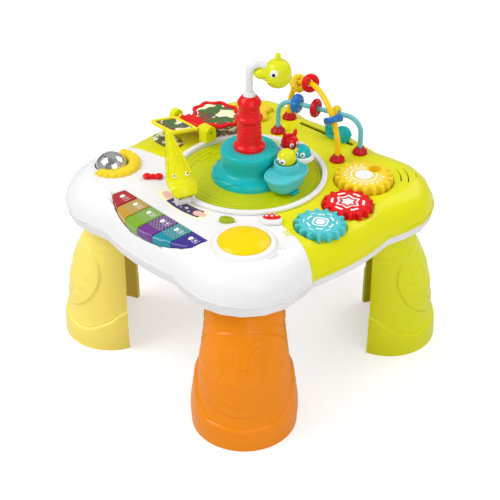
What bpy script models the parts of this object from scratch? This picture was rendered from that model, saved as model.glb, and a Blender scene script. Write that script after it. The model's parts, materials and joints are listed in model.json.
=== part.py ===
"""Activity table for small children: a lobed play top on four plug-in shell legs.

The table stands on the floor plane, +Z up, with its origin under the middle of the top.
The piano faces -Y. The four lobes and the four legs lie on the diagonals.
"""

import math

import bmesh
import bpy
from mathutils import Matrix, Vector

# Fits, walls and cutting allowances
GAP = 0.0003
RUNNING_GAP = 0.0004
CUT_OVERRUN = 0.004
WELD_DISTANCE = 0.00001
SHELL_WALL = 0.0026

# Plan of the table top
LOBE_REACH = 0.1596
LOBE_OFFSET = LOBE_REACH * math.cos(math.pi / 4)
LOBE_RADIUS = 0.0804
SIDE_REACH = 0.1925
SIDE_RADIUS = 0.2930
CORNER_BLEND = 0.006
OUTLINE_POINTS = 56

# Heights of the table top
LEG_HEIGHT = 0.1877
TRAY_BOTTOM_Z = LEG_HEIGHT + GAP
TRAY_DEPTH = 0.015
TOP_DEPTH = 0.04
SEAM_Z = TRAY_BOTTOM_Z + TRAY_DEPTH
SKIRT_HEIGHT = 0.002
DECK_Z = SEAM_Z + TOP_DEPTH
SHOULDER_WIDTH = 0.036
SHOULDER_STEPS = 5
INNER_SHOULDER_STEPS = 3
TRAY_EDGE_WIDTH = 0.009

# Line where the white half meets the lime half
SPLIT_Y = 0.050
SPLIT_SWEEP = 0.022
SPLIT_START_X = 0.080
SPLIT_END_X = 0.183
SPLIT_STEPS = 6

# Track ring, disc and the turning island
RING_INNER_RADIUS = 0.094
RING_WIDTH = 0.007
RING_OUTER_RADIUS = RING_INNER_RADIUS + RING_WIDTH
RING_HEIGHT = 0.0044
RING_FLANGE_DEPTH = 0.007
RING_LEDGE_WIDTH = 0.005
RING_LEDGE_THICKNESS = 0.0027
WELL_MARGIN = 0.0035
WELL_RADIUS = RING_INNER_RADIUS + WELL_MARGIN
DISC_THICKNESS = 0.003
ISLAND_RADIUS = 0.0493
ISLAND_TOP_RISE = 0.04
ISLAND_TOP_Z = DECK_Z + ISLAND_TOP_RISE
ISLAND_STEPS = 24
ISLAND_PROFILE_SHARES = (
    (0.650, 1.000), (0.730, 0.955), (0.755, 0.820), (0.700, 0.480),
    (0.700, 0.350), (0.760, 0.265), (0.920, 0.195), (0.980, 0.105), (1.000, 0.0),
)
ARM_REACH = 0.078
ARM_WIDTH = 0.014
ARM_THICKNESS = 0.0026
POST_RADIUS = 0.008
POST_FLANGE_RADIUS = 0.018
POST_FLANGE_THICKNESS = 0.003
POST_TOP_RISE = 0.057
POST_TOP_Z = DECK_Z + POST_TOP_RISE

# Lighthouse tower, gooseneck tube and bird head
TOWER_RADIUS = 0.0205
TOWER_TOP_RISE = 0.113
TOWER_TOP_Z = DECK_Z + TOWER_TOP_RISE
TOWER_PROFILE_SHARES = (
    (0.440, 1.000), (0.620, 0.930), (0.755, 0.870), (0.670, 0.800),
    (0.650, 0.750), (0.690, 0.620), (0.845, 0.600), (0.845, 0.560), (0.710, 0.530),
    (0.780, 0.130), (0.880, 0.085), (1.000, 0.050), (1.000, 0.0),
)
TOWER_CAVITY_RADIUS = 0.0105
TOWER_CAVITY_SHARES = (0.30, 0.68)
TUBE_RADIUS = 0.0046
TUBE_FOOT_RISE = 0.1
TUBE_FOOT_Z = DECK_Z + TUBE_FOOT_RISE
TUBE_BEND_RISE = 0.143
TUBE_BEND_Z = DECK_Z + TUBE_BEND_RISE
TUBE_BEND_RADIUS = 0.0125
TUBE_BEND_ANGLE = math.radians(120.0)
TUBE_TAIL = 0.006
TUBE_STEPS = 8
COLLAR_RADIUS = 0.0081
COLLAR_HEIGHT = 0.005
NECK_ANGLE = math.radians(45.0)
HEAD_OFFSET = 0.035
HEAD_RADIUS = 0.0172
HEAD_BASE_RISE = 0.1255
HEAD_BASE_Z = DECK_Z + HEAD_BASE_RISE
HEAD_HEIGHT = 0.037
HEAD_PROFILE_SHARES = (
    (0.340, 0.990), (0.680, 0.900), (0.930, 0.740), (1.000, 0.530), (0.960, 0.330),
    (0.760, 0.140), (0.460, 0.020),
)
PEG_RADIUS = 0.0038
PEG_HEIGHT = 0.008
BEAK_LENGTH = 0.0110
BEAK_WIDTH = 0.0080
BEAK_HEIGHT = 0.0066
BEAK_OFFSET = 0.0175
BEAK_RISE = 0.1425
BEAK_Z = DECK_Z + BEAK_RISE
EYE_RADIUS = 0.0055
EYE_THICKNESS = 0.0010
EYE_SETBACK = 0.004
EYE_RISE = 0.1425
EYE_Z = DECK_Z + EYE_RISE

# Boats and their passengers
HULL_HEIGHT = 0.0235
HULL_LEVEL_SHARES = (
    (0.00, 0.52), (0.30, 0.76), (0.78, 0.92), (0.80, 1.00), (1.00, 1.00),
)
HULL_POWER = 2.5
HULL_POINTS = 24
BOAT_ORBIT = 0.0605
TEAL_BOAT_ANGLE = math.radians(7.0)
TEAL_BOAT_LENGTH = 0.058
TEAL_BOAT_WIDTH = 0.043
WHITE_BOAT_ANGLE = math.radians(64.0)
WHITE_BOAT_LENGTH = 0.048
WHITE_BOAT_WIDTH = 0.042
CABIN_HEIGHT = 0.008
SEAT_DEPTH = 0.005
GREEN_HEAD_RADIUS = 0.0120
RED_HEAD_RADIUS = 0.0114
BLUE_HEAD_RADIUS = 0.0106
HEAD_FLAT_SHARE = 0.80
RED_SEAT_ANGLE = math.radians(70.0)
RED_SEAT_ORBIT = 0.0570
BLUE_SEAT_ANGLE = math.radians(50.0)
BLUE_SEAT_ORBIT = 0.0680
EAR_RADIUS = 0.0030
EAR_LENGTH = 0.0075
SEAT_CLEARANCE = 0.0006

# Crocodile-like flap
FLAP_X = -0.004
FLAP_Y = -0.1065
FLAP_RISE = 0.0115
FLAP_Z = DECK_Z + FLAP_RISE
FLAP_HEADING = math.radians(160.0)
FLAP_REST_PITCH = math.radians(48.0)
FLAP_LENGTH = 0.082
FLAP_WIDTH = 0.034
FLAP_THICKNESS = 0.0035
FLAP_CROWN = 0.006
FLAP_WIDTH_SHARES = ((0.09, 0.60), (0.18, 0.95), (0.30, 1.00), (0.50, 0.80), (0.72, 0.52), (0.90, 0.32),
                     (1.00, 0.16))
FLAP_SECTION_STEPS = 6
FLAP_BARREL_RADIUS = 0.0040
FLAP_BARREL_LENGTH = 0.018
FLAP_PIN_RADIUS = 0.0016
FLAP_EAR_THICKNESS = 0.003
FLAP_EAR_WIDTH = 0.009

# Flip book
BOOK_Y = 0.015
BOOK_RISE = 0.019
BOOK_Z = DECK_Z + BOOK_RISE
SPINDLE_START_X = -0.168
SPINDLE_END_X = -0.090
SPINDLE_RADIUS = 0.0018
STAND_HEIGHT_RADIUS = 0.0085
STAND_OUTER_LENGTH = 0.009
STAND_INNER_LENGTH = 0.016
BOOK_BASE_THICKNESS = 0.0015
PAGE_BARREL_RADIUS = 0.0042
PAGE_THICKNESS = 0.0045
RED_BARREL_START_X = -0.1505
RED_BARREL_END_X = -0.1130
RED_PAGE_X = -0.121
RED_PAGE_LENGTH = 0.060
RED_PAGE_WIDTH = 0.076
RED_PAGE_NEAR = 0.007
RED_PAGE_BUMP = 0.0016
RED_PAGE_BUMPS = 9
YELLOW_PAGE_START_X = -0.168
YELLOW_PAGE_END_X = -0.109
YELLOW_PAGE_NEAR = 0.006
YELLOW_PAGE_FAR = 0.044
YELLOW_PAGE_TAPER = 0.010
PAGE_CORNER = 0.008
LUG_LENGTH = 0.004
PAGE_REST_TILT = math.radians(4.0)

# Bead arches: where each stands on the deck
TEAL_ARCH_START_X = -0.0568
TEAL_ARCH_START_Y = 0.1071
TEAL_ARCH_END_X = 0.0597
TEAL_ARCH_END_Y = 0.1457
TEAL_ARCH_TOP_RISE = 0.05
TEAL_ARCH_TOP_Z = DECK_Z + TEAL_ARCH_TOP_RISE
TEAL_ARCH_CORNER = 0.021
TEAL_ROD_RADIUS = 0.0033
YELLOW_ARCH_START_X = -0.0754
YELLOW_ARCH_START_Y = 0.1476
YELLOW_ARCH_END_X = 0.0530
YELLOW_ARCH_END_Y = 0.1091
YELLOW_ARCH_SPRING_RISE = 0.012
YELLOW_ARCH_SPRING_Z = DECK_Z + YELLOW_ARCH_SPRING_RISE
YELLOW_ROD_RADIUS = 0.0038
ARCH_ARC_STEPS = 16
CORNER_STEPS = 5
FOOT_RADIUS = 0.0098
FOOT_HEIGHT = 0.0085
FOOT_NECK_SHARE = 0.52
FRAME_WIDTH = 0.009
FRAME_THICKNESS = 0.0025
FRAME_RIM = 0.0008

# Beads, placed along the teal arch or by angle on the yellow one
BEAD_CLEARANCE = 0.0006
FLOWER_BEAD_RADIUS = 0.0125
FLOWER_BEAD_THICKNESS = 0.0110
TORUS_BEAD_RADIUS = 0.0130
TORUS_BEAD_THICKNESS = 0.0095
DISC_BEAD_RADIUS = 0.0104
DISC_BEAD_THICKNESS = 0.0080
WAVE_BEAD_RADIUS = 0.0130
WAVE_BEAD_THICKNESS = 0.0080
WAVE_BEAD_SWING = 0.0012
BLUE_FLOWER_PLACE = 0.028
RED_LOWER_PLACE = 0.056
YELLOW_DISC_PLACE = 0.086
YELLOW_FLOWER_ANGLE = math.radians(-39.0)
RED_UPPER_ANGLE = math.radians(-9.0)
BLUE_WAVE_ANGLE = math.radians(52.0)

# Snail slider and its slot
SLOT_START_X = -0.0548
SLOT_START_Y = 0.1484
SLOT_END_X = 0.0389
SLOT_END_Y = 0.1548
SLOT_WIDTH = 0.007
SNAIL_X = 0.012
SNAIL_LENGTH = 0.038
SNAIL_WIDTH = 0.017
SNAIL_BASE_HEIGHT = 0.005
SNAIL_SHELL_RADIUS = 0.0125
SNAIL_SHELL_HEIGHT = 0.021
SNAIL_HEAD_RADIUS = 0.0085
SNAIL_HEAD_HEIGHT = 0.017
SNAIL_STEM_WIDTH = 0.0058
SNAIL_KEEPER_RADIUS = 0.006
SNAIL_KEEPER_THICKNESS = 0.002
SNAIL_KEEPER_DROP = 0.0014

# Gears: one tooth size for all three
GEAR_MODULE = 0.00391
YELLOW_TEETH = 18
RED_TEETH = 15
TEAL_TEETH = 15
ADDENDUM = 0.0025
DEDENDUM = 0.0033
GEAR_BACKLASH = 0.0006
YELLOW_GEAR_SHIFT_X = -0.0008542
YELLOW_GEAR_X = LOBE_OFFSET + YELLOW_GEAR_SHIFT_X
YELLOW_GEAR_SHIFT_Y = -0.0168542
YELLOW_GEAR_Y = LOBE_OFFSET + YELLOW_GEAR_SHIFT_Y
RED_GEAR_HEADING = math.radians(-65.5)
TEAL_GEAR_HEADING = math.radians(-81.3)
WELL_FLOOR_DROP = 0.0066
WELL_FLOOR_Z = DECK_Z - WELL_FLOOR_DROP
GEAR_BOTTOM_RISE = 0.0003
YELLOW_GEAR_TOP_RISE = 0.0085
YELLOW_GEAR_TOP_Z = DECK_Z + YELLOW_GEAR_TOP_RISE
SMALL_GEAR_TOP_RISE = 0.005
SMALL_GEAR_TOP_Z = DECK_Z + SMALL_GEAR_TOP_RISE
GEAR_WELL_MARGIN = 0.0018
GEAR_POST_RADIUS = 0.004
GEAR_POST_HEIGHT = 0.0075
FINGER_HOLE_RADIUS = 0.0085
FINGER_HOLE_OFFSET = 0.0207
FINGER_HOLE_DEPTH = 0.009
PAN_WALL = 0.0022

# Speaker and its slots
SPEAKER_SHIFT_X = 0.0251458
SPEAKER_X = LOBE_OFFSET + SPEAKER_SHIFT_X
SPEAKER_SHIFT_Y = 0.0351458
SPEAKER_Y = LOBE_OFFSET + SPEAKER_SHIFT_Y
SPEAKER_RADIUS = 0.0175
SPEAKER_HEIGHT = 0.020
SPEAKER_TOP_DROP = 0.011
SPEAKER_TOP_Z = DECK_Z - SPEAKER_TOP_DROP
SPEAKER_MAGNET_RADIUS = 0.0095
SPEAKER_COLLAR_WALL = 0.003
GRILLE_SHIFT_X = -0.0078542
GRILLE_X = LOBE_OFFSET + GRILLE_SHIFT_X
GRILLE_SHIFT_Y = -0.0128542
GRILLE_Y = LOBE_OFFSET + GRILLE_SHIFT_Y
GRILLE_RADII = (0.0505, 0.0600)
GRILLE_START = math.radians(36.0)
GRILLE_END = math.radians(70.0)
GRILLE_SLOT_WIDTH = 0.0016
GRILLE_STEPS = 6

# Petal spinner on the back lobe
SPINNER_SHIFT_X = -0.0091458
SPINNER_X = -LOBE_OFFSET + SPINNER_SHIFT_X
SPINNER_SHIFT_Y = 0.0061458
SPINNER_Y = LOBE_OFFSET + SPINNER_SHIFT_Y
SPINNER_RADIUS = 0.030
SPINNER_WAIST_SHARE = 0.66
SPINNER_PETALS = 5
SPINNER_THICKNESS = 0.0075
SPINNER_WELL_DEPTH = 0.0024
SPINNER_WELL_MARGIN = 0.003
SPINNER_STEM_RADIUS = 0.003
SPINNER_STEM_LENGTH = 0.006

# Roller ball in its yellow crescent on the left lobe
BALL_SHIFT_X = -0.0291458
BALL_X = -LOBE_OFFSET + BALL_SHIFT_X
BALL_SHIFT_Y = -0.0016458
BALL_Y = -LOBE_OFFSET + BALL_SHIFT_Y
BALL_DROP = 0.005
BALL_Z = DECK_Z - BALL_DROP
BALL_RADIUS = 0.0215
BALL_CLEARANCE = 0.0010
BALL_AXIS_HEADING = math.radians(113.0)
BALL_PIN_RADIUS = 0.0020
BALL_PIN_REACH = 0.0275
BALL_LUG_THICKNESS = 0.004
BALL_LUG_WIDTH = 0.011
BALL_LUG_BOTTOM_DROP = 0.011
BALL_LUG_BOTTOM_Z = DECK_Z - BALL_LUG_BOTTOM_DROP
CRESCENT_THICKNESS = 0.0055
CRESCENT_WIDTH = 0.0165
CRESCENT_START = math.radians(-80.0)
CRESCENT_END = math.radians(122.0)
CRESCENT_STEPS = 22
CRESCENT_SCALLOP = 0.0010
CRESCENT_SCALLOPS = 13

# Piano keys
KEY_COUNT = 6
KEY_START_X = -0.0777
KEY_PITCH = 0.0263
KEY_INNER_Y = -0.1425
KEY_FRONT_Y = -0.1840
KEY_FRONT_RADIUS = 0.1526
KEY_FRONT_SHIFT = 0.004
KEY_SPACING = 0.0007
KEY_BOTTOM_DROP = 0.013
KEY_BOTTOM_Z = DECK_Z - KEY_BOTTOM_DROP
KEY_BACK_TOP_RISE = 0.0012
KEY_BACK_TOP_Z = DECK_Z + KEY_BACK_TOP_RISE
KEY_FRONT_TOP_DROP = 0.0025
KEY_FRONT_TOP_Z = DECK_Z - KEY_FRONT_TOP_DROP
KEY_CHAMFER = 0.0028
KEY_WALL = 0.0018
KEY_FLOOR_DROP = 0.0162
KEY_FLOOR_Z = DECK_Z - KEY_FLOOR_DROP
KEY_POCKET_MARGIN = 0.0006
KEY_ARC_STEPS = 2
KEY_AXLE_Y = -0.1465
KEY_AXLE_DROP = 0.006
KEY_AXLE_Z = DECK_Z - KEY_AXLE_DROP
KEY_AXLE_RADIUS = 0.0015
KEY_AXLE_OVERHANG = 0.0015

# Dome button on the front lobe
DOME_SHIFT_X = 0.0011458
DOME_X = LOBE_OFFSET + DOME_SHIFT_X
DOME_SHIFT_Y = -0.0021458
DOME_Y = -LOBE_OFFSET + DOME_SHIFT_Y
DOME_RADIUS = 0.0316
DOME_HEIGHT = 0.0085
DOME_RIM_RISE = 0.0035
DOME_RIM_Z = DECK_Z + DOME_RIM_RISE
DOME_SKIRT_BOTTOM_DROP = 0.0085
DOME_SKIRT_BOTTOM_Z = DECK_Z - DOME_SKIRT_BOTTOM_DROP
DOME_WALL = 0.0022
DOME_WELL_FLOOR_DROP = 0.0185
DOME_WELL_FLOOR_Z = DECK_Z - DOME_WELL_FLOOR_DROP
DOME_MOUND_RADIUS = 0.0400
DOME_MOUND_HEIGHT = 0.0040
SPRING_RADIUS = 0.0100
SPRING_WIRE_RADIUS = 0.0007
SPRING_TURNS = 3
SPRING_POINTS_PER_TURN = 9

# Small switches on the white half
BOW_X = -0.0770
BOW_Y = -0.0975
BOW_HEADING = math.radians(46.0)
BOW_LENGTH = 0.026
BOW_WIDTH = 0.012
BOW_HEIGHT = 0.006
LEAF_X = 0.0640
LEAF_Y = -0.0970
LEAF_HEADING = math.radians(38.0)
LEAF_LENGTH = 0.019
LEAF_WIDTH = 0.0115
LEAF_TOP_RISE = 0.0045
LEAF_TOP_Z = DECK_Z + LEAF_TOP_RISE
LEAF_BOTTOM_DROP = 0.0058
LEAF_BOTTOM_Z = DECK_Z - LEAF_BOTTOM_DROP
TOADSTOOL_X = 0.1030
TOADSTOOL_Y = -0.0590
TOADSTOOL_HEADING = math.radians(46.0)
TOADSTOOL_LENGTH = 0.026
TOADSTOOL_WIDTH = 0.017
TOADSTOOL_HEIGHT = 0.0065
SWITCH_STEM_RADIUS = 0.0022
SWITCH_STEM_DEPTH = 0.0055
SWITCH_TRAVEL = 0.004

# Legs, one mould: sections as shares of the leg's height, foot reach and foot radius
FOOT_SPREAD = 0.0309
FOOT_REACH = LOBE_REACH + FOOT_SPREAD
FOOT_LEG_RADIUS = 0.0635
LEG_SECTION_SHARES = (
    (0.000, 1.000, 1.000), (0.133, 0.987, 1.020), (0.266, 0.976, 0.976), (0.400, 0.978, 0.921),
    (0.522, 0.976, 0.866), (0.740, 0.925, 0.785), (1.000, 0.835, 0.732),
)
LEG_OPENING_SETBACK = 0.0285
LEG_OPENING_REACH = FOOT_REACH - LEG_OPENING_SETBACK
TOE_BAND_WIDTH = 0.0030
TOE_BAND_FRONT_Z = 0.030
TOE_BAND_SIDE_Z = 0.072
TOE_BAND_STEP = 0.0020
LEG_WALL = 0.0028
LEG_ARC_STEPS = 10
LEG_PLATE_THICKNESS = 0.0030
LEG_PLUG_SETBACK = 0.007
LEG_PLUG_REACH = FOOT_REACH - LEG_PLUG_SETBACK
LEG_PLUG_RADIUS = 0.0175
LEG_PLUG_HEIGHT = 0.0130
LEG_PLUG_WALL = 0.0030
SOCKET_WALL = 0.0026
SOCKET_HEIGHT = 0.0120

# Parts inside the tray
BATTERY_X = 0.0
BATTERY_Y = -0.075
CELL_RADIUS = 0.0071
CELL_LENGTH = 0.0500
CELL_COUNT = 3
CELL_OVERLAP = 0.0004
BATTERY_MARGIN = 0.0020
BATTERY_LEDGE = 0.0050
COVER_THICKNESS = 0.0020
BOARD_X = 0.0
BOARD_Y = 0.062
BOARD_LENGTH = 0.090
BOARD_WIDTH = 0.050
BOARD_THICKNESS = 0.0016
STANDOFF_RADIUS = 0.003
STANDOFF_HEIGHT = 0.005
STANDOFF_INSET = 0.006
SCREW_PLACES_X = (-0.107, 0.093, 0.107, -0.112)
SCREW_PLACES_Y = (-0.160, -0.158, 0.005, 0.060)
BOSS_RADIUS = 0.0040
SCREW_RADIUS = 0.0012
SCREW_HEAD_RADIUS = 0.0032
SCREW_HEAD_HEIGHT = 0.0014
SCREW_LENGTH = 0.0150

WELL_SEGMENTS = 48
FINE_SEGMENTS = 28
SEGMENTS = 20
SMALL_SEGMENTS = 10
PLUG_SEGMENTS = 16

TEAL_AXIS = Vector((TEAL_ARCH_END_X - TEAL_ARCH_START_X, TEAL_ARCH_END_Y - TEAL_ARCH_START_Y, 0))
YELLOW_AXIS = Vector((YELLOW_ARCH_END_X - YELLOW_ARCH_START_X, YELLOW_ARCH_END_Y - YELLOW_ARCH_START_Y, 0))
DISC_TOP_Z = DECK_Z + GAP - RING_FLANGE_DEPTH + RING_LEDGE_THICKNESS + GAP + DISC_THICKNESS

COLOURS = {
    "white": (0.88, 0.88, 0.90),
    "lime": (0.62, 0.68, 0.03),
    "disc_lime": (0.55, 0.66, 0.01),
    "yellow": (0.95, 0.62, 0.04),
    "orange": (0.92, 0.26, 0.01),
    "red": (0.75, 0.02, 0.03),
    "teal": (0.02, 0.40, 0.42),
    "blue": (0.03, 0.20, 0.60),
    "amber": (0.60, 0.33, 0.04),
    "green": (0.25, 0.42, 0.03),
    "purple": (0.18, 0.03, 0.30),
    "sea": (0.00, 0.27, 0.36),
    "indigo": (0.06, 0.04, 0.32),
    "steel": (0.60, 0.61, 0.63),
    "silver": (0.75, 0.76, 0.78),
    "board": (0.02, 0.20, 0.08),
    "black": (0.03, 0.03, 0.03),
}
METALS = ("steel", "silver")


def clear_scene():
    for item in list(bpy.data.objects):
        bpy.data.objects.remove(item, do_unlink=True)


def new_collection(name):
    made = bpy.data.collections.new(name)
    bpy.context.scene.collection.children.link(made)
    return made


clear_scene()
TABLE = new_collection("activity_table")
CUTTERS = new_collection("cutters")


def finish(colour):
    """Return the plastic or metal material of a colour name."""
    name = f"{colour}_finish"
    found = bpy.data.materials.get(name)
    if found:
        return found
    made = bpy.data.materials.new(name)
    made.use_nodes = True
    shader = made.node_tree.nodes["Principled BSDF"]
    shader.inputs["Base Color"].default_value = (*COLOURS[colour], 1)
    shader.inputs["Roughness"].default_value = 0.3 if colour in METALS else 0.25
    shader.inputs["Metallic"].default_value = 1 if colour in METALS else 0
    return made


def add_object(name, mesh, colour=None):
    """Link a mesh as a part when it has a colour, otherwise as a cutter."""
    made = bpy.data.objects.new(name, mesh)
    if colour:
        TABLE.objects.link(made)
        mesh.materials.clear()
        mesh.materials.append(finish(colour))
    else:
        CUTTERS.objects.link(made)
        made.hide_render = True
        made.display_type = "WIRE"
    return made


def from_bmesh(name, shape, colour=None):
    mesh = bpy.data.meshes.new(name)
    shape.to_mesh(mesh)
    shape.free()
    return add_object(name, mesh, colour)


def set_origin(item, point):
    """Move an object's origin to a world point, and leave its shape where it is."""
    point = Vector(point)
    item.data.transform(Matrix.Translation(item.location - point))
    item.location = point
    return item


def smooth(item, angle=math.radians(35.0)):
    item.data.shade_smooth()
    item.data.set_sharp_from_angle(angle=angle)
    return item


def cut(target, tool, operation="DIFFERENCE"):
    change = target.modifiers.new(tool.name, "BOOLEAN")
    change.operation = operation
    change.solver = "EXACT"
    change.object = tool
    return target


def join(target, tool):
    return cut(target, tool, "UNION")


def box(name, centre, size, colour=None, heading=0.0):
    shape = bmesh.new()
    bmesh.ops.create_cube(shape, size=1)
    bmesh.ops.scale(shape, vec=size, verts=shape.verts)
    made = from_bmesh(name, shape, colour)
    made.location = centre
    made.rotation_euler = (0, 0, heading)
    return made


def cylinder(name, centre, radius, bottom, top, colour=None, segments=SEGMENTS, top_radius=None):
    """Stand a cylinder or cone on an XY point, from one height to another."""
    shape = bmesh.new()
    end_radius = radius if top_radius is None else top_radius
    bmesh.ops.create_cone(shape, cap_ends=True, segments=segments, radius1=radius,
                          radius2=end_radius, depth=top - bottom)
    made = from_bmesh(name, shape, colour)
    made.location = (centre[0], centre[1], (bottom + top) / 2)
    return made


def rod(name, start, end, radius, colour=None, segments=SMALL_SEGMENTS):
    """Make a straight round rod between two points."""
    start, end = Vector(start), Vector(end)
    shape = bmesh.new()
    bmesh.ops.create_cone(shape, cap_ends=True, segments=segments, radius1=radius,
                          radius2=radius, depth=(end - start).length)
    made = from_bmesh(name, shape, colour)
    made.location = (start + end) / 2
    made.rotation_euler = (end - start).to_track_quat("Z", "Y").to_euler()
    return made


def ellipsoid(name, centre, radii, colour=None, rotation=(0, 0, 0), across=16, around=10):
    shape = bmesh.new()
    bmesh.ops.create_uvsphere(shape, u_segments=across, v_segments=around, radius=1)
    bmesh.ops.scale(shape, vec=radii, verts=shape.verts)
    made = from_bmesh(name, shape, colour)
    made.location = centre
    made.rotation_euler = rotation
    return smooth(made)


def turned(name, profile, colour=None, centre=(0, 0), steps=SEGMENTS, closed=False):
    """Turn a profile of (radius, height) pairs, listed down its outer side, about a vertical axis."""
    mesh = bpy.data.meshes.new(name)
    count = len(profile)
    links = [(i, i + 1) for i in range(count - 1)]
    if closed:
        links.append((count - 1, 0))
    mesh.from_pydata([(radius, 0, height) for radius, height in profile], links, [])
    made = add_object(name, mesh, colour)
    made.location = (centre[0], centre[1], 0)
    screw = made.modifiers.new("turn", "SCREW")
    screw.steps = steps
    screw.render_steps = steps
    screw.use_merge_vertices = True
    screw.merge_threshold = WELD_DISTANCE
    screw.use_smooth_shade = True
    return made


def curve_to_mesh(name, curve, colour, location=(0, 0, 0)):
    """Turn a curve with filled caps into a welded mesh object."""
    source = bpy.data.objects.new(name + "_curve", curve)
    CUTTERS.objects.link(source)
    source.location = location
    bpy.context.view_layer.update()
    graph = bpy.context.evaluated_depsgraph_get()
    mesh = bpy.data.meshes.new_from_object(source.evaluated_get(graph))
    shape = bmesh.new()
    shape.from_mesh(mesh)
    bmesh.ops.remove_doubles(shape, verts=shape.verts, dist=WELD_DISTANCE)
    bmesh.ops.recalc_face_normals(shape, faces=shape.faces)
    shape.to_mesh(mesh)
    shape.free()
    mesh.name = name
    made = add_object(name, mesh, colour)
    made.matrix_world = source.matrix_world
    bpy.data.objects.remove(source, do_unlink=True)
    return made


def slab(name, outline, bottom, top, colour=None):
    """Extrude a flat outline from one height to another."""
    curve = bpy.data.curves.new(name, "CURVE")
    curve.dimensions = "2D"
    curve.fill_mode = "BOTH"
    curve.extrude = (top - bottom) / 2
    line = curve.splines.new("POLY")
    line.points.add(len(outline) - 1)
    for point, place in zip(line.points, outline):
        point.co = (place[0], place[1], 0, 1)
    line.use_cyclic_u = True
    return curve_to_mesh(name, curve, colour, (0, 0, (bottom + top) / 2))


def tube(name, points, radius, colour=None, resolution=2):
    """Sweep a round tube with filled ends along points."""
    curve = bpy.data.curves.new(name, "CURVE")
    curve.dimensions = "3D"
    curve.bevel_depth = radius
    curve.bevel_resolution = resolution
    curve.use_fill_caps = True
    line = curve.splines.new("POLY")
    line.points.add(len(points) - 1)
    for point, place in zip(line.points, points):
        point.co = (*place, 1)
    return smooth(curve_to_mesh(name, curve, colour), math.radians(50.0))


def loft(name, rings, colour=None):
    """Bridge closed rings, each with as many points, and cap the first and the last."""
    mesh = bpy.data.meshes.new(name)
    count = len(rings[0])
    points = [tuple(point) for ring in rings for point in ring]
    faces = []
    for level in range(len(rings) - 1):
        low, high = level * count, (level + 1) * count
        for i in range(count):
            j = (i + 1) % count
            faces.append((low + i, low + j, high + j, high + i))
    faces.append(tuple(reversed(range(count))))
    faces.append(tuple(range((len(rings) - 1) * count, len(rings) * count)))
    mesh.from_pydata(points, [], faces)
    shape = bmesh.new()
    shape.from_mesh(mesh)
    bmesh.ops.recalc_face_normals(shape, faces=shape.faces)
    shape.to_mesh(mesh)
    shape.free()
    return add_object(name, mesh, colour)


def ring_at(outline, height):
    return [(x, y, height) for x, y in outline]


def placed(outline, centre, heading):
    """Turn an outline about its own origin and move it to a point."""
    cosine, sine = math.cos(heading), math.sin(heading)
    return [(centre[0] + x * cosine - y * sine, centre[1] + x * sine + y * cosine) for x, y in outline]


def superellipse(length, width, power, count):
    points = []
    for i in range(count):
        angle = 2 * math.pi * i / count
        cosine, sine = math.cos(angle), math.sin(angle)
        points.append((
            math.copysign(abs(cosine) ** (2 / power), cosine) * length / 2,
            math.copysign(abs(sine) ** (2 / power), sine) * width / 2,
        ))
    return points


def polar(radius, angle):
    return (radius * math.cos(angle), radius * math.sin(angle))


# Table top and tray

def outline_radius(angle):
    """Distance of the table's edge from its centre: lobes and bulged sides, with filled corners."""
    quarter = math.pi / 2
    lobe_angle = angle % quarter - quarter / 2
    side_angle = (angle + quarter / 2) % quarter - quarter / 2
    reach = LOBE_REACH * math.cos(lobe_angle)
    inside = LOBE_RADIUS ** 2 - (LOBE_REACH * math.sin(lobe_angle)) ** 2
    lobe = reach + math.sqrt(inside) if inside > 0 else reach
    centre = SIDE_REACH - SIDE_RADIUS
    side = centre * math.cos(side_angle) + math.sqrt(SIDE_RADIUS ** 2 - (centre * math.sin(side_angle)) ** 2)
    return (lobe + side + math.sqrt((lobe - side) ** 2 + CORNER_BLEND ** 2)) / 2


def table_outline(inset):
    """Edge of the table in plan, drawn in by an even distance."""
    step = 2 * math.pi / OUTLINE_POINTS
    edge = [Vector(polar(outline_radius(step * i), step * i)) for i in range(OUTLINE_POINTS)]
    inner = []
    for i, point in enumerate(edge):
        along = edge[(i + 1) % OUTLINE_POINTS] - edge[i - 1]
        normal = Vector((-along.y, along.x)).normalized()
        inner.append(tuple(point + normal * inset))
    return inner


def shoulder_levels(wall, steps=SHOULDER_STEPS):
    """Rings of the rounded shoulder, from the seam up to the deck, drawn in by a wall."""
    start = SEAM_Z + SKIRT_HEIGHT
    rise = DECK_Z - start
    levels = []
    for step in range(steps + 1):
        angle = math.pi / 2 * step / steps
        inset = SHOULDER_WIDTH * (1 - math.cos(angle)) + wall * math.cos(angle)
        levels.append((inset, start + rise * math.sin(angle) - wall * math.sin(angle)))
    return levels


def top_volume(name, colour=None):
    levels = [(0, SEAM_Z + GAP / 2)] + shoulder_levels(0)
    return loft(name, [ring_at(table_outline(inset), height) for inset, height in levels], colour)


def top_cavity(name):
    levels = [(SHELL_WALL, SEAM_Z - CUT_OVERRUN)] + shoulder_levels(SHELL_WALL, INNER_SHOULDER_STEPS)
    return loft(name, [ring_at(table_outline(inset), height) for inset, height in levels])


def split_line(offset):
    """Line between the two halves, from -X to +X, moved across by an offset."""
    right = []
    far = LOBE_REACH + LOBE_RADIUS
    for step in range(SPLIT_STEPS + 1):
        x = SPLIT_START_X + (far - SPLIT_START_X) * step / SPLIT_STEPS
        share = (x - SPLIT_START_X) / (SPLIT_END_X - SPLIT_START_X)
        right.append((x, -SPLIT_Y - SPLIT_SWEEP * share ** 1.5 + offset))
    return [(-x, y) for x, y in reversed(right)] + right


def half_region(name, side):
    """Block that holds one half of the top: side -1 is the white front, 1 the lime back."""
    line = split_line(side * GAP / 2)
    far = LOBE_REACH + LOBE_RADIUS
    outline = line + [(line[-1][0], side * far), (line[0][0], side * far)]
    return slab(name, outline, TRAY_BOTTOM_Z, DECK_Z + DOME_MOUND_HEIGHT + CUT_OVERRUN)


def screw_places():
    return list(zip(SCREW_PLACES_X, SCREW_PLACES_Y))


def in_front(place):
    """Tell whether a place lies on the white front half."""
    return place[1] < -SPLIT_Y


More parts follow.
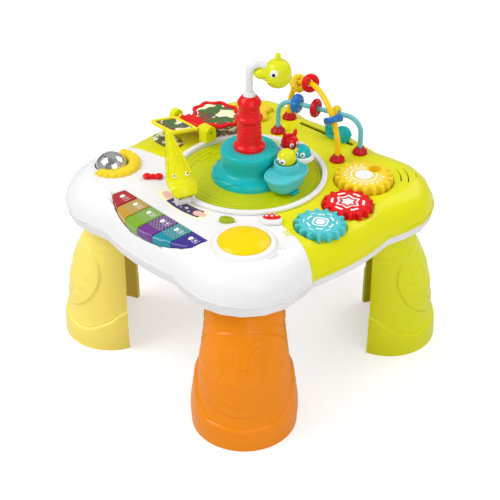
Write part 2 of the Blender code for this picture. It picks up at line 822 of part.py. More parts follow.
def keep_block(cavity, block):
    """Leave a block of plastic standing in the hollow of a half."""
    return cut(cavity, block)


def boss_feet(cavity, front):
    """Reach of the bosses below the seam, joined to the half's own volume."""
    feet = []
    for number, place in enumerate(screw_places()):
        if in_front(place) == front:
            foot = TRAY_BOTTOM_Z + SHELL_WALL + GAP
            feet.append(cylinder(f"boss_foot_{number}", place, BOSS_RADIUS, foot, DECK_Z - SHELL_WALL / 2,
                                 segments=SMALL_SEGMENTS))
    return feet


def top_half(name, colour, front):
    """One half of the play top, as a hollow shell with its bosses."""
    shell = top_volume(name, colour)
    cavity = top_cavity(name + "_cavity")
    cut(shell, half_region(name + "_region", -1 if front else 1), "INTERSECT")
    return shell, cavity


def gear_places():
    """Centre, tooth count and top height of each gear, from the yellow one onward."""
    yellow = Vector((YELLOW_GEAR_X, YELLOW_GEAR_Y))
    red = yellow + Vector(polar(GEAR_MODULE * (YELLOW_TEETH + RED_TEETH) / 2, RED_GEAR_HEADING))
    teal = red + Vector(polar(GEAR_MODULE * (RED_TEETH + TEAL_TEETH) / 2, TEAL_GEAR_HEADING))
    return {
        "yellow": (yellow, YELLOW_TEETH, YELLOW_GEAR_TOP_Z),
        "red": (red, RED_TEETH, SMALL_GEAR_TOP_Z),
        "teal": (teal, TEAL_TEETH, SMALL_GEAR_TOP_Z),
    }


def gear_tip_radius(teeth):
    return GEAR_MODULE * teeth / 2 + ADDENDUM


def key_front_y(x):
    """Front edge of the keyboard at an x: an arc that bulges with the table's side."""
    centre = KEY_FRONT_Y + KEY_FRONT_RADIUS
    return centre - math.sqrt(KEY_FRONT_RADIUS ** 2 - x ** 2)


def key_outline(start, end, margin, steps=KEY_ARC_STEPS):
    """Outline of a stretch of the keyboard between two boundaries, grown by a margin."""
    left = start - margin
    right = end + margin
    points = [(left, KEY_INNER_Y + margin), (right, KEY_INNER_Y + margin)]
    front = []
    for step in range(steps + 1):
        x = right - KEY_FRONT_SHIFT + (left - right) * step / steps
        front.append((x, key_front_y(x) - margin))
    return points + front


def build_white_half():
    shell, cavity = top_half("top_shell_white", "white", True)
    key_end = KEY_START_X + KEY_PITCH * KEY_COUNT
    margin = KEY_POCKET_MARGIN
    keyboard = key_outline(KEY_START_X, key_end, margin, KEY_COUNT * KEY_ARC_STEPS)
    pan = key_outline(KEY_START_X, key_end, margin + PAN_WALL, KEY_COUNT * KEY_ARC_STEPS)
    keep_block(cavity, slab("key_pan", pan, KEY_FLOOR_Z - PAN_WALL, DECK_Z - SHELL_WALL / 2))
    keep_block(cavity, cylinder("dome_pan", (DOME_X, DOME_Y), DOME_RADIUS + RUNNING_GAP + PAN_WALL,
                                DOME_WELL_FLOOR_Z - PAN_WALL, DECK_Z - SHELL_WALL / 2,
                                segments=FINE_SEGMENTS))
    keep_block(cavity,
               slab("leaf_pan", leaf_outline(PAN_WALL + RUNNING_GAP),
                    LEAF_BOTTOM_Z - GAP - PAN_WALL - SWITCH_TRAVEL,
                            DECK_Z - SHELL_WALL / 2))
    axis = Vector(polar(1, BALL_AXIS_HEADING)).to_3d()
    for number, side in enumerate((-1, 1)):
        centre = Vector((BALL_X, BALL_Y, 0)) + axis * side * (BALL_PIN_REACH - BALL_LUG_THICKNESS / 2)
        centre.z = (BALL_LUG_BOTTOM_Z + DECK_Z - SHELL_WALL / 2) / 2
        size = (BALL_LUG_THICKNESS, BALL_LUG_WIDTH, DECK_Z - SHELL_WALL / 2 - BALL_LUG_BOTTOM_Z)
        keep_block(cavity, box(f"ball_lug_{number}", centre, size, heading=BALL_AXIS_HEADING))
    cut(shell, cavity)
    for foot in boss_feet(cavity, True):
        join(shell, foot)
    join(shell, turned("dome_mound", [
        (DOME_RADIUS - DOME_MOUND_HEIGHT, DECK_Z + DOME_MOUND_HEIGHT),
        (DOME_RADIUS + DOME_MOUND_HEIGHT, DECK_Z + DOME_MOUND_HEIGHT),
        (DOME_MOUND_RADIUS - DOME_MOUND_HEIGHT / 2, DECK_Z + DOME_MOUND_HEIGHT * 0.7),
        (DOME_MOUND_RADIUS, DECK_Z - SHELL_WALL / 2),
        (DOME_RADIUS - DOME_MOUND_HEIGHT, DECK_Z - SHELL_WALL / 2),
    ], centre=(DOME_X, DOME_Y), steps=FINE_SEGMENTS, closed=True))
    deck_cut = DECK_Z + DOME_MOUND_HEIGHT + CUT_OVERRUN
    cut(shell,
        cylinder("white_well", (0, 0), WELL_RADIUS, DECK_Z - RING_FLANGE_DEPTH - CUT_OVERRUN * 3, deck_cut,
                        segments=WELL_SEGMENTS))
    cut(shell, slab("key_pocket", keyboard, KEY_FLOOR_Z, deck_cut))
    cut(shell,
        cylinder("dome_well", (DOME_X, DOME_Y), DOME_RADIUS + RUNNING_GAP, DOME_WELL_FLOOR_Z, deck_cut,
                        segments=FINE_SEGMENTS))
    cut(shell,
        cylinder("ball_well", (BALL_X, BALL_Y), BALL_RADIUS + BALL_CLEARANCE, SEAM_Z + CUT_OVERRUN,
                 deck_cut,
                        segments=SEGMENTS))
    ball = Vector((BALL_X, BALL_Y, BALL_Z))
    cut(shell, rod("ball_pin_bore", ball - axis * BALL_PIN_REACH * 1.2, ball + axis * BALL_PIN_REACH * 1.2,
                   BALL_PIN_RADIUS + RUNNING_GAP))
    cut(shell, slab("leaf_well", leaf_outline(RUNNING_GAP), LEAF_BOTTOM_Z - GAP - SWITCH_TRAVEL, deck_cut))
    for name, x, y, heading in (("bow", BOW_X, BOW_Y, BOW_HEADING),
                                ("toadstool", TOADSTOOL_X, TOADSTOOL_Y, TOADSTOOL_HEADING)):
        radius = SWITCH_STEM_RADIUS + RUNNING_GAP
        slot = superellipse(2 * (SWITCH_TRAVEL + radius), 2 * radius, 4, 12)
        cut(shell,
            slab(name + "_slot", placed(slot, (x, y), heading), DECK_Z - SHELL_WALL - CUT_OVERRUN / 2,
                 deck_cut))
    key_axle_ends = (KEY_START_X - margin - KEY_AXLE_OVERHANG - GAP,
                     key_end + margin + KEY_AXLE_OVERHANG + GAP)
    cut(shell, rod("key_axle_bore", (key_axle_ends[0], KEY_AXLE_Y, KEY_AXLE_Z),
                   (key_axle_ends[1], KEY_AXLE_Y, KEY_AXLE_Z), KEY_AXLE_RADIUS + GAP))
    bore_screws(shell, True)


def bore_screws(shell, front):
    foot = TRAY_BOTTOM_Z + SHELL_WALL + GAP
    for number, place in enumerate(screw_places()):
        if in_front(place) == front:
            cut(shell,
                cylinder(f"screw_bore_{number}", place, SCREW_RADIUS + RUNNING_GAP, foot - CUT_OVERRUN,
                                TRAY_BOTTOM_Z + SCREW_LENGTH + CUT_OVERRUN / 2, segments=SMALL_SEGMENTS))


def build_lime_half():
    shell, cavity = top_half("top_shell_lime", "lime", False)
    deck_cut = DECK_Z + CUT_OVERRUN
    under_deck = DECK_Z - SHELL_WALL / 2
    for name, (centre, teeth, _) in gear_places().items():
        radius = gear_tip_radius(teeth) + GEAR_WELL_MARGIN
        keep_block(cavity,
                   cylinder(name + "_gear_pan", centre, radius + PAN_WALL, WELL_FLOOR_Z - PAN_WALL,
                            under_deck,
                                    segments=FINE_SEGMENTS))
    keep_block(cavity,
               cylinder("spinner_pan", (SPINNER_X, SPINNER_Y),
                        SPINNER_RADIUS + SPINNER_WELL_MARGIN + PAN_WALL,
                                DECK_Z - SPINNER_WELL_DEPTH - PAN_WALL, under_deck, segments=SEGMENTS))
    keep_block(cavity,
               cylinder("speaker_collar", (SPEAKER_X, SPEAKER_Y), SPEAKER_RADIUS, SPEAKER_TOP_Z + GAP,
                        under_deck))
    cut(shell, cavity)
    for foot in boss_feet(cavity, False):
        join(shell, foot)
    cut(shell,
        cylinder("lime_well", (0, 0), WELL_RADIUS, DECK_Z - RING_FLANGE_DEPTH - CUT_OVERRUN * 3, deck_cut,
                        segments=WELL_SEGMENTS))
    for name, (centre, teeth, _) in gear_places().items():
        radius = gear_tip_radius(teeth) + GEAR_WELL_MARGIN
        cut(shell,
            cylinder(name + "_gear_well", centre, radius, WELL_FLOOR_Z, deck_cut, segments=FINE_SEGMENTS))
        join(shell, cylinder(name + "_gear_post", centre, GEAR_POST_RADIUS, WELL_FLOOR_Z - PAN_WALL / 2,
                             WELL_FLOOR_Z + GEAR_POST_HEIGHT, segments=16))
    cut(shell, cylinder("spinner_well", (SPINNER_X, SPINNER_Y), SPINNER_RADIUS + SPINNER_WELL_MARGIN,
                        DECK_Z - SPINNER_WELL_DEPTH, deck_cut, segments=SEGMENTS))
    cut(shell, cylinder("spinner_bore", (SPINNER_X, SPINNER_Y), SPINNER_STEM_RADIUS + GAP,
                        DECK_Z - SPINNER_WELL_DEPTH - PAN_WALL - CUT_OVERRUN, deck_cut,
                        segments=SMALL_SEGMENTS))
    cut(shell, cylinder("speaker_hollow", (SPEAKER_X, SPEAKER_Y), SPEAKER_RADIUS - SPEAKER_COLLAR_WALL,
                        SPEAKER_TOP_Z - CUT_OVERRUN, DECK_Z - SHELL_WALL))
    for number, (x, y, _) in enumerate(foot_places()):
        cut(shell,
            cylinder(f"foot_hole_{number}", (x, y), FOOT_RADIUS + 2 * GAP,
                     DECK_Z - SHELL_WALL - CUT_OVERRUN / 2,
                            deck_cut, segments=12))
    for number, radius in enumerate(GRILLE_RADII):
        cut(shell, slab(f"grille_slot_{number}", arc_band((GRILLE_X, GRILLE_Y), radius, GRILLE_SLOT_WIDTH,
                                                          GRILLE_START, GRILLE_END, GRILLE_STEPS),
                        SPEAKER_TOP_Z + CUT_OVERRUN, deck_cut))
    start = Vector((SLOT_START_X, SLOT_START_Y))
    end = Vector((SLOT_END_X, SLOT_END_Y))
    cut(shell,
        box("snail_slot", (*((start + end) / 2), DECK_Z),
            ((end - start).length, SLOT_WIDTH, 2 * CUT_OVERRUN),
                   heading=math.atan2(end.y - start.y, end.x - start.x)))
    bore_screws(shell, False)


def arc_band(centre, radius, width, start, end, steps):
    outer = []
    inner = []
    for step in range(steps + 1):
        angle = start + (end - start) * step / steps
        direction = Vector(polar(1, angle))
        outer.append(tuple(Vector(centre) + direction * (radius + width / 2)))
        inner.append(tuple(Vector(centre) + direction * (radius - width / 2)))
    return outer + inner[::-1]


def battery_size():
    length = CELL_LENGTH + 2 * BATTERY_MARGIN
    width = CELL_COUNT * 2 * CELL_RADIUS - (CELL_COUNT - 1) * CELL_OVERLAP + 2 * BATTERY_MARGIN
    height = 2 * CELL_RADIUS + RUNNING_GAP
    return length, width, height


def leg_headings():
    return {"front": -math.pi / 4, "left": -3 * math.pi / 4, "right": math.pi / 4, "back": 3 * math.pi / 4}


def build_tray():
    outer_levels = [(TRAY_EDGE_WIDTH, TRAY_BOTTOM_Z),
                    (TRAY_EDGE_WIDTH / 3, TRAY_BOTTOM_Z + 1.5 * SKIRT_HEIGHT),
                    (0, SEAM_Z - GAP / 2)]
    tray = loft("bottom_tray", [ring_at(table_outline(inset), height) for inset, height in outer_levels],
                "white")
    inner_levels = [(TRAY_EDGE_WIDTH + SHELL_WALL, TRAY_BOTTOM_Z + SHELL_WALL),
                    (TRAY_EDGE_WIDTH / 3 + SHELL_WALL, TRAY_BOTTOM_Z + SHELL_WALL + SKIRT_HEIGHT),
                    (SHELL_WALL, SEAM_Z + CUT_OVERRUN)]
    cavity = loft("tray_cavity", [ring_at(table_outline(inset), height) for inset, height in inner_levels])
    floor = TRAY_BOTTOM_Z + SHELL_WALL
    below = TRAY_BOTTOM_Z - CUT_OVERRUN
    root = TRAY_BOTTOM_Z + SHELL_WALL / 2
    for name, heading in leg_headings().items():
        place = polar(LEG_PLUG_REACH, heading)
        keep_block(cavity, cylinder(name + "_socket", place, LEG_PLUG_RADIUS + GAP + SOCKET_WALL, root,
                                    floor + SOCKET_HEIGHT, segments=PLUG_SEGMENTS))
    length, width, height = battery_size()
    centre = (BATTERY_X, BATTERY_Y)
    box_top = TRAY_BOTTOM_Z + COVER_THICKNESS + GAP + height + GAP
    wall = 2 * SHELL_WALL
    keep_block(cavity, box("battery_box", (*centre, (root + box_top + SHELL_WALL) / 2),
                           (length + wall, width + wall, box_top + SHELL_WALL - root)))
    for number, (side_x, side_y) in enumerate(((-1, -1), (1, -1), (-1, 1), (1, 1))):
        place = (BOARD_X + side_x * (BOARD_LENGTH / 2 - STANDOFF_INSET),
                 BOARD_Y + side_y * (BOARD_WIDTH / 2 - STANDOFF_INSET))
        keep_block(cavity,
                   cylinder(f"standoff_{number}", place, STANDOFF_RADIUS, root, floor + STANDOFF_HEIGHT,
                                    segments=SMALL_SEGMENTS))
    cut(tray, cavity)
    for name, heading in leg_headings().items():
        cut(tray,
            cylinder(name + "_socket_bore", polar(LEG_PLUG_REACH, heading), LEG_PLUG_RADIUS + GAP, below,
                           SEAM_Z + CUT_OVERRUN, segments=PLUG_SEGMENTS))
    cut(tray,
        box("battery_space", (*centre, (TRAY_BOTTOM_Z + box_top) / 2),
            (length, width, box_top - TRAY_BOTTOM_Z)))
    ledge = 2 * (BATTERY_LEDGE + GAP)
    cover_top = TRAY_BOTTOM_Z + COVER_THICKNESS + GAP
    cut(tray, box("cover_recess", (*centre, (below + cover_top) / 2),
                  (length + ledge, width, cover_top - below)))
    for number, place in enumerate(screw_places()):
        cut(tray,
            cylinder(f"screw_hole_{number}", place, SCREW_RADIUS + RUNNING_GAP, below, floor + CUT_OVERRUN,
                           segments=SMALL_SEGMENTS))
        cut(tray, cylinder(f"screw_recess_{number}", place, SCREW_HEAD_RADIUS + RUNNING_GAP, below,
                           TRAY_BOTTOM_Z + SCREW_HEAD_HEIGHT + GAP, segments=SMALL_SEGMENTS))


def build_battery_parts():
    length, width, _ = battery_size()
    centre_z = TRAY_BOTTOM_Z + COVER_THICKNESS / 2
    box("battery_cover", (BATTERY_X, BATTERY_Y, centre_z),
        (length + 2 * BATTERY_LEDGE, width - 2 * GAP, COVER_THICKNESS), "white")
    pitch = 2 * CELL_RADIUS - CELL_OVERLAP
    height = TRAY_BOTTOM_Z + COVER_THICKNESS + GAP + CELL_RADIUS
    half = CELL_LENGTH / 2
    cells = []
    for number in range(CELL_COUNT):
        y = BATTERY_Y + (number - (CELL_COUNT - 1) / 2) * pitch
        cells.append(rod("battery_pack" if number == 0 else f"cell_{number}", (BATTERY_X - half, y, height),
                         (BATTERY_X + half, y, height), CELL_RADIUS, None if number else "black",
                         segments=14))
    for cell in cells[1:]:
        join(cells[0], cell)


def build_screws():
    for number, place in enumerate(screw_places(), start=1):
        top = TRAY_BOTTOM_Z + SCREW_LENGTH
        neck = TRAY_BOTTOM_Z + SCREW_HEAD_HEIGHT
        turned(f"tray_screw_{number}", [
            (0, top), (SCREW_RADIUS, top), (SCREW_RADIUS, neck), (SCREW_HEAD_RADIUS, neck),
            (SCREW_HEAD_RADIUS, TRAY_BOTTOM_Z), (0, TRAY_BOTTOM_Z)], "steel", place, SMALL_SEGMENTS)


def build_electronics():
    floor = TRAY_BOTTOM_Z + SHELL_WALL + STANDOFF_HEIGHT + GAP
    box("circuit_board", (BOARD_X, BOARD_Y, floor + BOARD_THICKNESS / 2),
        (BOARD_LENGTH, BOARD_WIDTH, BOARD_THICKNESS), "board")
    bottom = SPEAKER_TOP_Z - SPEAKER_HEIGHT
    flange = 2 * GAP + SHELL_WALL
    turned("speaker", [
        (0, SPEAKER_TOP_Z - flange), (SPEAKER_RADIUS - SPEAKER_COLLAR_WALL,
                                      SPEAKER_TOP_Z), (SPEAKER_RADIUS, SPEAKER_TOP_Z),
        (SPEAKER_RADIUS, SPEAKER_TOP_Z - flange), (SPEAKER_MAGNET_RADIUS,
                                                   SPEAKER_TOP_Z - SPEAKER_HEIGHT / 2),
        (SPEAKER_MAGNET_RADIUS, bottom), (0, bottom),
    ], "black", (SPEAKER_X, SPEAKER_Y), SEGMENTS // 2)


# Legs

def leg_section(share):
    """Centre distance and radius of a leg's horseshoe at a share of its height."""
    for low, high in zip(LEG_SECTION_SHARES, LEG_SECTION_SHARES[1:]):
        if share <= high[0]:
            mix = (share - low[0]) / (high[0] - low[0])
            return ((low[1] + (high[1] - low[1]) * mix) * FOOT_REACH,
                    (low[2] + (high[2] - low[2]) * mix) * FOOT_LEG_RADIUS)
    return LEG_SECTION_SHARES[-1][1] * FOOT_REACH, LEG_SECTION_SHARES[-1][2] * FOOT_LEG_RADIUS


def horseshoe_angle(centre, radius):
    return math.acos(max(-1, min(1, (LEG_OPENING_REACH - centre) / radius)))


def leg_ring(height_at, band):
    """One closed ring of a leg's wall: down its outer side and back along its inner side."""
    outer = []
    inner = []
    for step in range(LEG_ARC_STEPS + 1):
        turn = step / LEG_ARC_STEPS * 2 - 1
        height = height_at(turn)
        centre, radius = leg_section(height / LEG_HEIGHT)
        angle = turn * horseshoe_angle(centre, radius)
        direction = Vector(polar(1, angle))
        middle = Vector((centre, 0))
        outer.append((*(middle + direction * (radius + band)), height))
        inner.append((*(middle + direction * (radius - LEG_WALL)), height))
    return outer + inner[::-1]


def band_height(turn):
    """Top of the toe band: low in front and high at the sides, as a U seen from the front."""
    lift = min(1, 1 - math.cos(turn * math.pi * 0.62))
    return TOE_BAND_FRONT_Z + (TOE_BAND_SIDE_Z - TOE_BAND_FRONT_Z) * lift


def build_leg(name, colour, heading):
    levels = [leg_ring(lambda turn: 0.0, TOE_BAND_WIDTH),
              leg_ring(lambda turn: LEG_SECTION_SHARES[1][0] * LEG_HEIGHT, TOE_BAND_WIDTH),
              leg_ring(band_height, TOE_BAND_WIDTH),
              leg_ring(lambda turn: band_height(turn) + TOE_BAND_STEP, 0)]
    for share, _, _ in LEG_SECTION_SHARES[4:]:
        levels.append(leg_ring(lambda turn, share=share: share * LEG_HEIGHT, 0))
    leg = loft(f"leg_{name}", levels, colour)
    top = levels[-1][:LEG_ARC_STEPS + 1]
    middle = Vector((LEG_PLUG_REACH, 0))
    shrink = 1 - LEG_WALL / 2 / FOOT_LEG_RADIUS
    plate = [tuple(middle + (Vector(point[:2]) - middle) * shrink) for point in top]
    join(leg, slab(f"leg_plate_{name}", plate, LEG_HEIGHT - LEG_PLATE_THICKNESS, LEG_HEIGHT))
    join(leg, turned(f"leg_plug_{name}", [
        (LEG_PLUG_RADIUS - LEG_PLUG_WALL, LEG_HEIGHT + LEG_PLUG_HEIGHT), (LEG_PLUG_RADIUS,
                                                                          LEG_HEIGHT + LEG_PLUG_HEIGHT),
        (LEG_PLUG_RADIUS, LEG_HEIGHT - LEG_PLATE_THICKNESS / 2),
        (LEG_PLUG_RADIUS - LEG_PLUG_WALL, LEG_HEIGHT - LEG_PLATE_THICKNESS / 2),
    ], centre=middle, steps=PLUG_SEGMENTS, closed=True))
    turn = Matrix.Rotation(heading, 4, "Z")
    for item in [leg] + [change.object for change in leg.modifiers]:
        item.matrix_world = turn @ Matrix.Translation(item.location)
    smooth(leg)


# Track, island, tower and bird

def build_track():
    top = DECK_Z + GAP + RING_HEIGHT
    seat = DECK_Z + GAP
    bottom = seat - RING_FLANGE_DEPTH
    skirt = WELL_RADIUS - 2 * GAP
    ledge = RING_INNER_RADIUS - RING_LEDGE_WIDTH
    turned("track_ring", [
        (RING_INNER_RADIUS, top), (RING_OUTER_RADIUS - RING_HEIGHT / 4, top), (RING_OUTER_RADIUS,
                                                                               seat), (skirt, seat),
                                                                               (skirt, bottom),
        (ledge, bottom), (ledge, bottom + RING_LEDGE_THICKNESS), (RING_INNER_RADIUS,
                                                                  bottom + RING_LEDGE_THICKNESS),
    ], "white", steps=WELL_SEGMENTS, closed=True)
    radius = RING_INNER_RADIUS - 2 * RUNNING_GAP
    step = DISC_TOP_Z + GAP + POST_FLANGE_THICKNESS
    turned("track_disc", [
        (0, POST_TOP_Z), (POST_RADIUS, POST_TOP_Z), (POST_RADIUS, step), (POST_FLANGE_RADIUS, step),
        (POST_FLANGE_RADIUS, DISC_TOP_Z), (radius, DISC_TOP_Z), (radius, DISC_TOP_Z - DISC_THICKNESS),
        (0, DISC_TOP_Z - DISC_THICKNESS)], "disc_lime", steps=WELL_SEGMENTS)


def build_island():
    base = DISC_TOP_Z + GAP
    height = ISLAND_TOP_Z - base
    outer = [(share * ISLAND_RADIUS, base + rise * height) for share, rise in ISLAND_PROFILE_SHARES]
    hole = POST_RADIUS + RUNNING_GAP
    wall = SHELL_WALL
    inner = [(radius - wall, max(base, z - (wall if z > base + height / 2 else 0))) for radius,
             z in outer[::2]]
    profile = [(hole, ISLAND_TOP_Z)] + outer + inner[::-1] + [(hole, ISLAND_TOP_Z - wall)]
    island = turned("island", profile, "teal", closed=True, steps=ISLAND_STEPS)
    arm_bottom = base + GAP
    for name, angle in (("teal", TEAL_BOAT_ANGLE), ("white", WHITE_BOAT_ANGLE)):
        inside = ISLAND_RADIUS - SHELL_WALL - GAP
        centre = polar((inside + ARM_REACH) / 2, angle)
        join(island, box(f"{name}_arm", (*centre, arm_bottom + ARM_THICKNESS / 2),
                         (ARM_REACH - inside, ARM_WIDTH, ARM_THICKNESS), heading=angle))


def hull_base():
    return DISC_TOP_Z + 2 * GAP + ARM_THICKNESS + GAP


def build_boat(name, colour, angle, length, width, seats):
    """Small round boat on its arm: a hull, and a cabin with a recess for each passenger."""
    centre = polar(BOAT_ORBIT, angle)
    base = hull_base()
    rings = []
    for rise, share in HULL_LEVEL_SHARES:
        plan = superellipse(length * share, width * share, HULL_POWER, HULL_POINTS)
        rings.append(ring_at(placed(plan, centre, angle + math.pi / 2), base + rise * HULL_HEIGHT))
    boat = loft(name, rings, colour)
    deck = base + HULL_HEIGHT
    for number, (place, radius, lift) in enumerate(seats):
        wall = radius + SEAT_CLEARANCE + SHELL_WALL
        top = deck + lift
        if lift:
            join(boat, turned(f"{name}_cabin_{number}", [
                (0, top), (wall - SHELL_WALL / 3, top), (wall, top - SHELL_WALL / 3),
                (wall + SHELL_WALL / 3, deck - SHELL_WALL),
                (0, deck - SHELL_WALL)], centre=place, steps=16))
        cut(boat,
            cylinder(f"{name}_seat_{number}", place, radius + SEAT_CLEARANCE, top - SEAT_DEPTH,
                     top + CUT_OVERRUN,
                           segments=16))
    return set_origin(smooth(boat), (0, 0, 0))


def build_head(name, colour, place, radius, floor):
    """Passenger's head: a ball with a flat foot that stands in its seat."""
    profile = [(0, floor + radius * (1 + HEAD_FLAT_SHARE))]
    steps = 7
    low = math.acos(-HEAD_FLAT_SHARE)
    for step in range(1, steps + 1):
        angle = low * step / steps
        profile.append((radius * math.sin(angle), floor + radius * (HEAD_FLAT_SHARE + math.cos(angle))))
    profile.append((0, floor))
    return turned(name, profile, colour, place, 14)


def build_passengers():
    deck = hull_base() + HULL_HEIGHT
    green_place = Vector(polar(BOAT_ORBIT - GREEN_HEAD_RADIUS / 3,
                               TEAL_BOAT_ANGLE + GREEN_HEAD_RADIUS / BOAT_ORBIT / 2))
    red_place = Vector(polar(RED_SEAT_ORBIT, RED_SEAT_ANGLE))
    blue_place = Vector(polar(BLUE_SEAT_ORBIT, BLUE_SEAT_ANGLE))
    build_boat("boat_teal", "teal", TEAL_BOAT_ANGLE, TEAL_BOAT_LENGTH, TEAL_BOAT_WIDTH,
               [(green_place, GREEN_HEAD_RADIUS, CABIN_HEIGHT)])
    build_boat("boat_white", "white", WHITE_BOAT_ANGLE, WHITE_BOAT_LENGTH, WHITE_BOAT_WIDTH,
               [(red_place, RED_HEAD_RADIUS, CABIN_HEIGHT / 2), (blue_place, BLUE_HEAD_RADIUS, 0)])
    build_head("head_green", "lime", green_place, GREEN_HEAD_RADIUS, deck + CABIN_HEIGHT - SEAT_DEPTH + GAP)
    red_floor = deck + CABIN_HEIGHT / 2 - SEAT_DEPTH + GAP
    red = build_head("head_red", "red", red_place, RED_HEAD_RADIUS, red_floor)
    for number, side in enumerate((-1, 1)):
        heading = RED_SEAT_ANGLE + math.pi / 2
        offset = Vector(polar(side * RED_HEAD_RADIUS / 2, heading))
        centre = (*(red_place + offset),
                  red_floor + RED_HEAD_RADIUS * (1 + HEAD_FLAT_SHARE) + EAR_LENGTH / 4)
        join(red,
             ellipsoid(f"red_ear_{number}", centre, (EAR_RADIUS, EAR_RADIUS, EAR_LENGTH), across=8,
                       around=5))
    build_head("head_blue", "blue", blue_place, BLUE_HEAD_RADIUS, deck - SEAT_DEPTH + GAP)


def build_tower():
    base = ISLAND_TOP_Z + GAP
    height = TOWER_TOP_Z - base
    outer = [(share * TOWER_RADIUS, base + rise * height) for share, rise in TOWER_PROFILE_SHARES]
    socket = POST_RADIUS + 2 * GAP
    throat = TUBE_RADIUS + GAP
    low, high = (base + share * height for share in TOWER_CAVITY_SHARES)
    inner = [(socket, base), (socket, low), (TOWER_CAVITY_RADIUS, low + SHELL_WALL / 2),
             (TOWER_CAVITY_RADIUS, high),
             (throat, high + SHELL_WALL), (throat, TOWER_TOP_Z)]
    turned("tower", outer + inner, "red", closed=True, steps=16)


def neck_direction():
    return Vector(polar(1, NECK_ANGLE)).to_3d()


def neck_points():
    """Centre line of the gooseneck: straight up, round a bend, and a short straight end."""
    out = neck_direction()
    up = Vector((0, 0, 1))
    points = [up * TUBE_FOOT_Z]
    centre = out * TUBE_BEND_RADIUS + up * TUBE_BEND_Z
    for step in range(TUBE_STEPS + 1):
        angle = math.pi - TUBE_BEND_ANGLE * step / TUBE_STEPS
        points.append(centre + (out * math.cos(angle) + up * math.sin(angle)) * TUBE_BEND_RADIUS)
    points.append(points[-1] + neck_end_direction() * TUBE_TAIL)
    return points


def neck_end_direction():
    angle = math.pi - TUBE_BEND_ANGLE
    return neck_direction() * math.sin(angle) - Vector((0, 0, 1)) * math.cos(angle)


def build_neck():
    neck = tube("neck_tube", neck_points(), TUBE_RADIUS, "white")
    base = TOWER_TOP_Z + GAP
    join(neck, turned("neck_collar", [
        (0, base + COLLAR_HEIGHT), (TUBE_RADIUS + GAP, base + COLLAR_HEIGHT), (COLLAR_RADIUS,
                                                                               base + GAP),
                                                                               (COLLAR_RADIUS, base),
        (0, base)], steps=SEGMENTS // 2))


def build_bird():
    out = neck_direction()
    centre = out * HEAD_OFFSET
    place = centre.xy
    profile = [(0, HEAD_BASE_Z + HEAD_HEIGHT)]
    profile += [(share * HEAD_RADIUS, HEAD_BASE_Z + rise * HEAD_HEIGHT) for share,
                rise in HEAD_PROFILE_SHARES]
    profile.append((0, HEAD_BASE_Z))
    head = turned("bird_head", profile, "lime", place, 16)
    peg_root = HEAD_BASE_Z + HEAD_HEIGHT * 0.9
    join(head, cylinder("head_peg", place, PEG_RADIUS, peg_root, HEAD_BASE_Z + HEAD_HEIGHT + PEG_HEIGHT,
                        segments=SMALL_SEGMENTS, top_radius=PEG_RADIUS * 0.9))
    beak = out * BEAK_OFFSET + Vector((0, 0, BEAK_Z))
    join(head,
         ellipsoid("head_beak", beak, (BEAK_LENGTH, BEAK_WIDTH, BEAK_HEIGHT), rotation=(0, 0, NECK_ANGLE),
                   across=12, around=8))
    end = neck_points()[-1]
    direction = neck_end_direction()
    cut(head, rod("head_bore", end - direction * TUBE_BEND_RADIUS, end + direction * GAP, TUBE_RADIUS + GAP,
                  segments=16))
    side = Vector((-out.y, out.x, 0))
    middle = centre - out * EYE_SETBACK + Vector((0, 0, EYE_Z))
    reach = math.sqrt(HEAD_RADIUS ** 2 - EYE_SETBACK ** 2)
    for number, sign in enumerate((-1, 1)):
        face = middle + side * sign * (reach + EYE_THICKNESS)
        join(head,
             rod(f"head_eye_{number}", face - side * sign * EYE_RADIUS, face, EYE_RADIUS, segments=14))


# Flap and flip book

def flap_matrix(pitch):
    """Place of the flap: local X runs along it, local Y along its hinge."""
    return (Matrix.Translation((FLAP_X, FLAP_Y, FLAP_Z)) @ Matrix.Rotation(FLAP_HEADING, 4, "Z")
            @ Matrix.Rotation(-pitch, 4, "Y"))


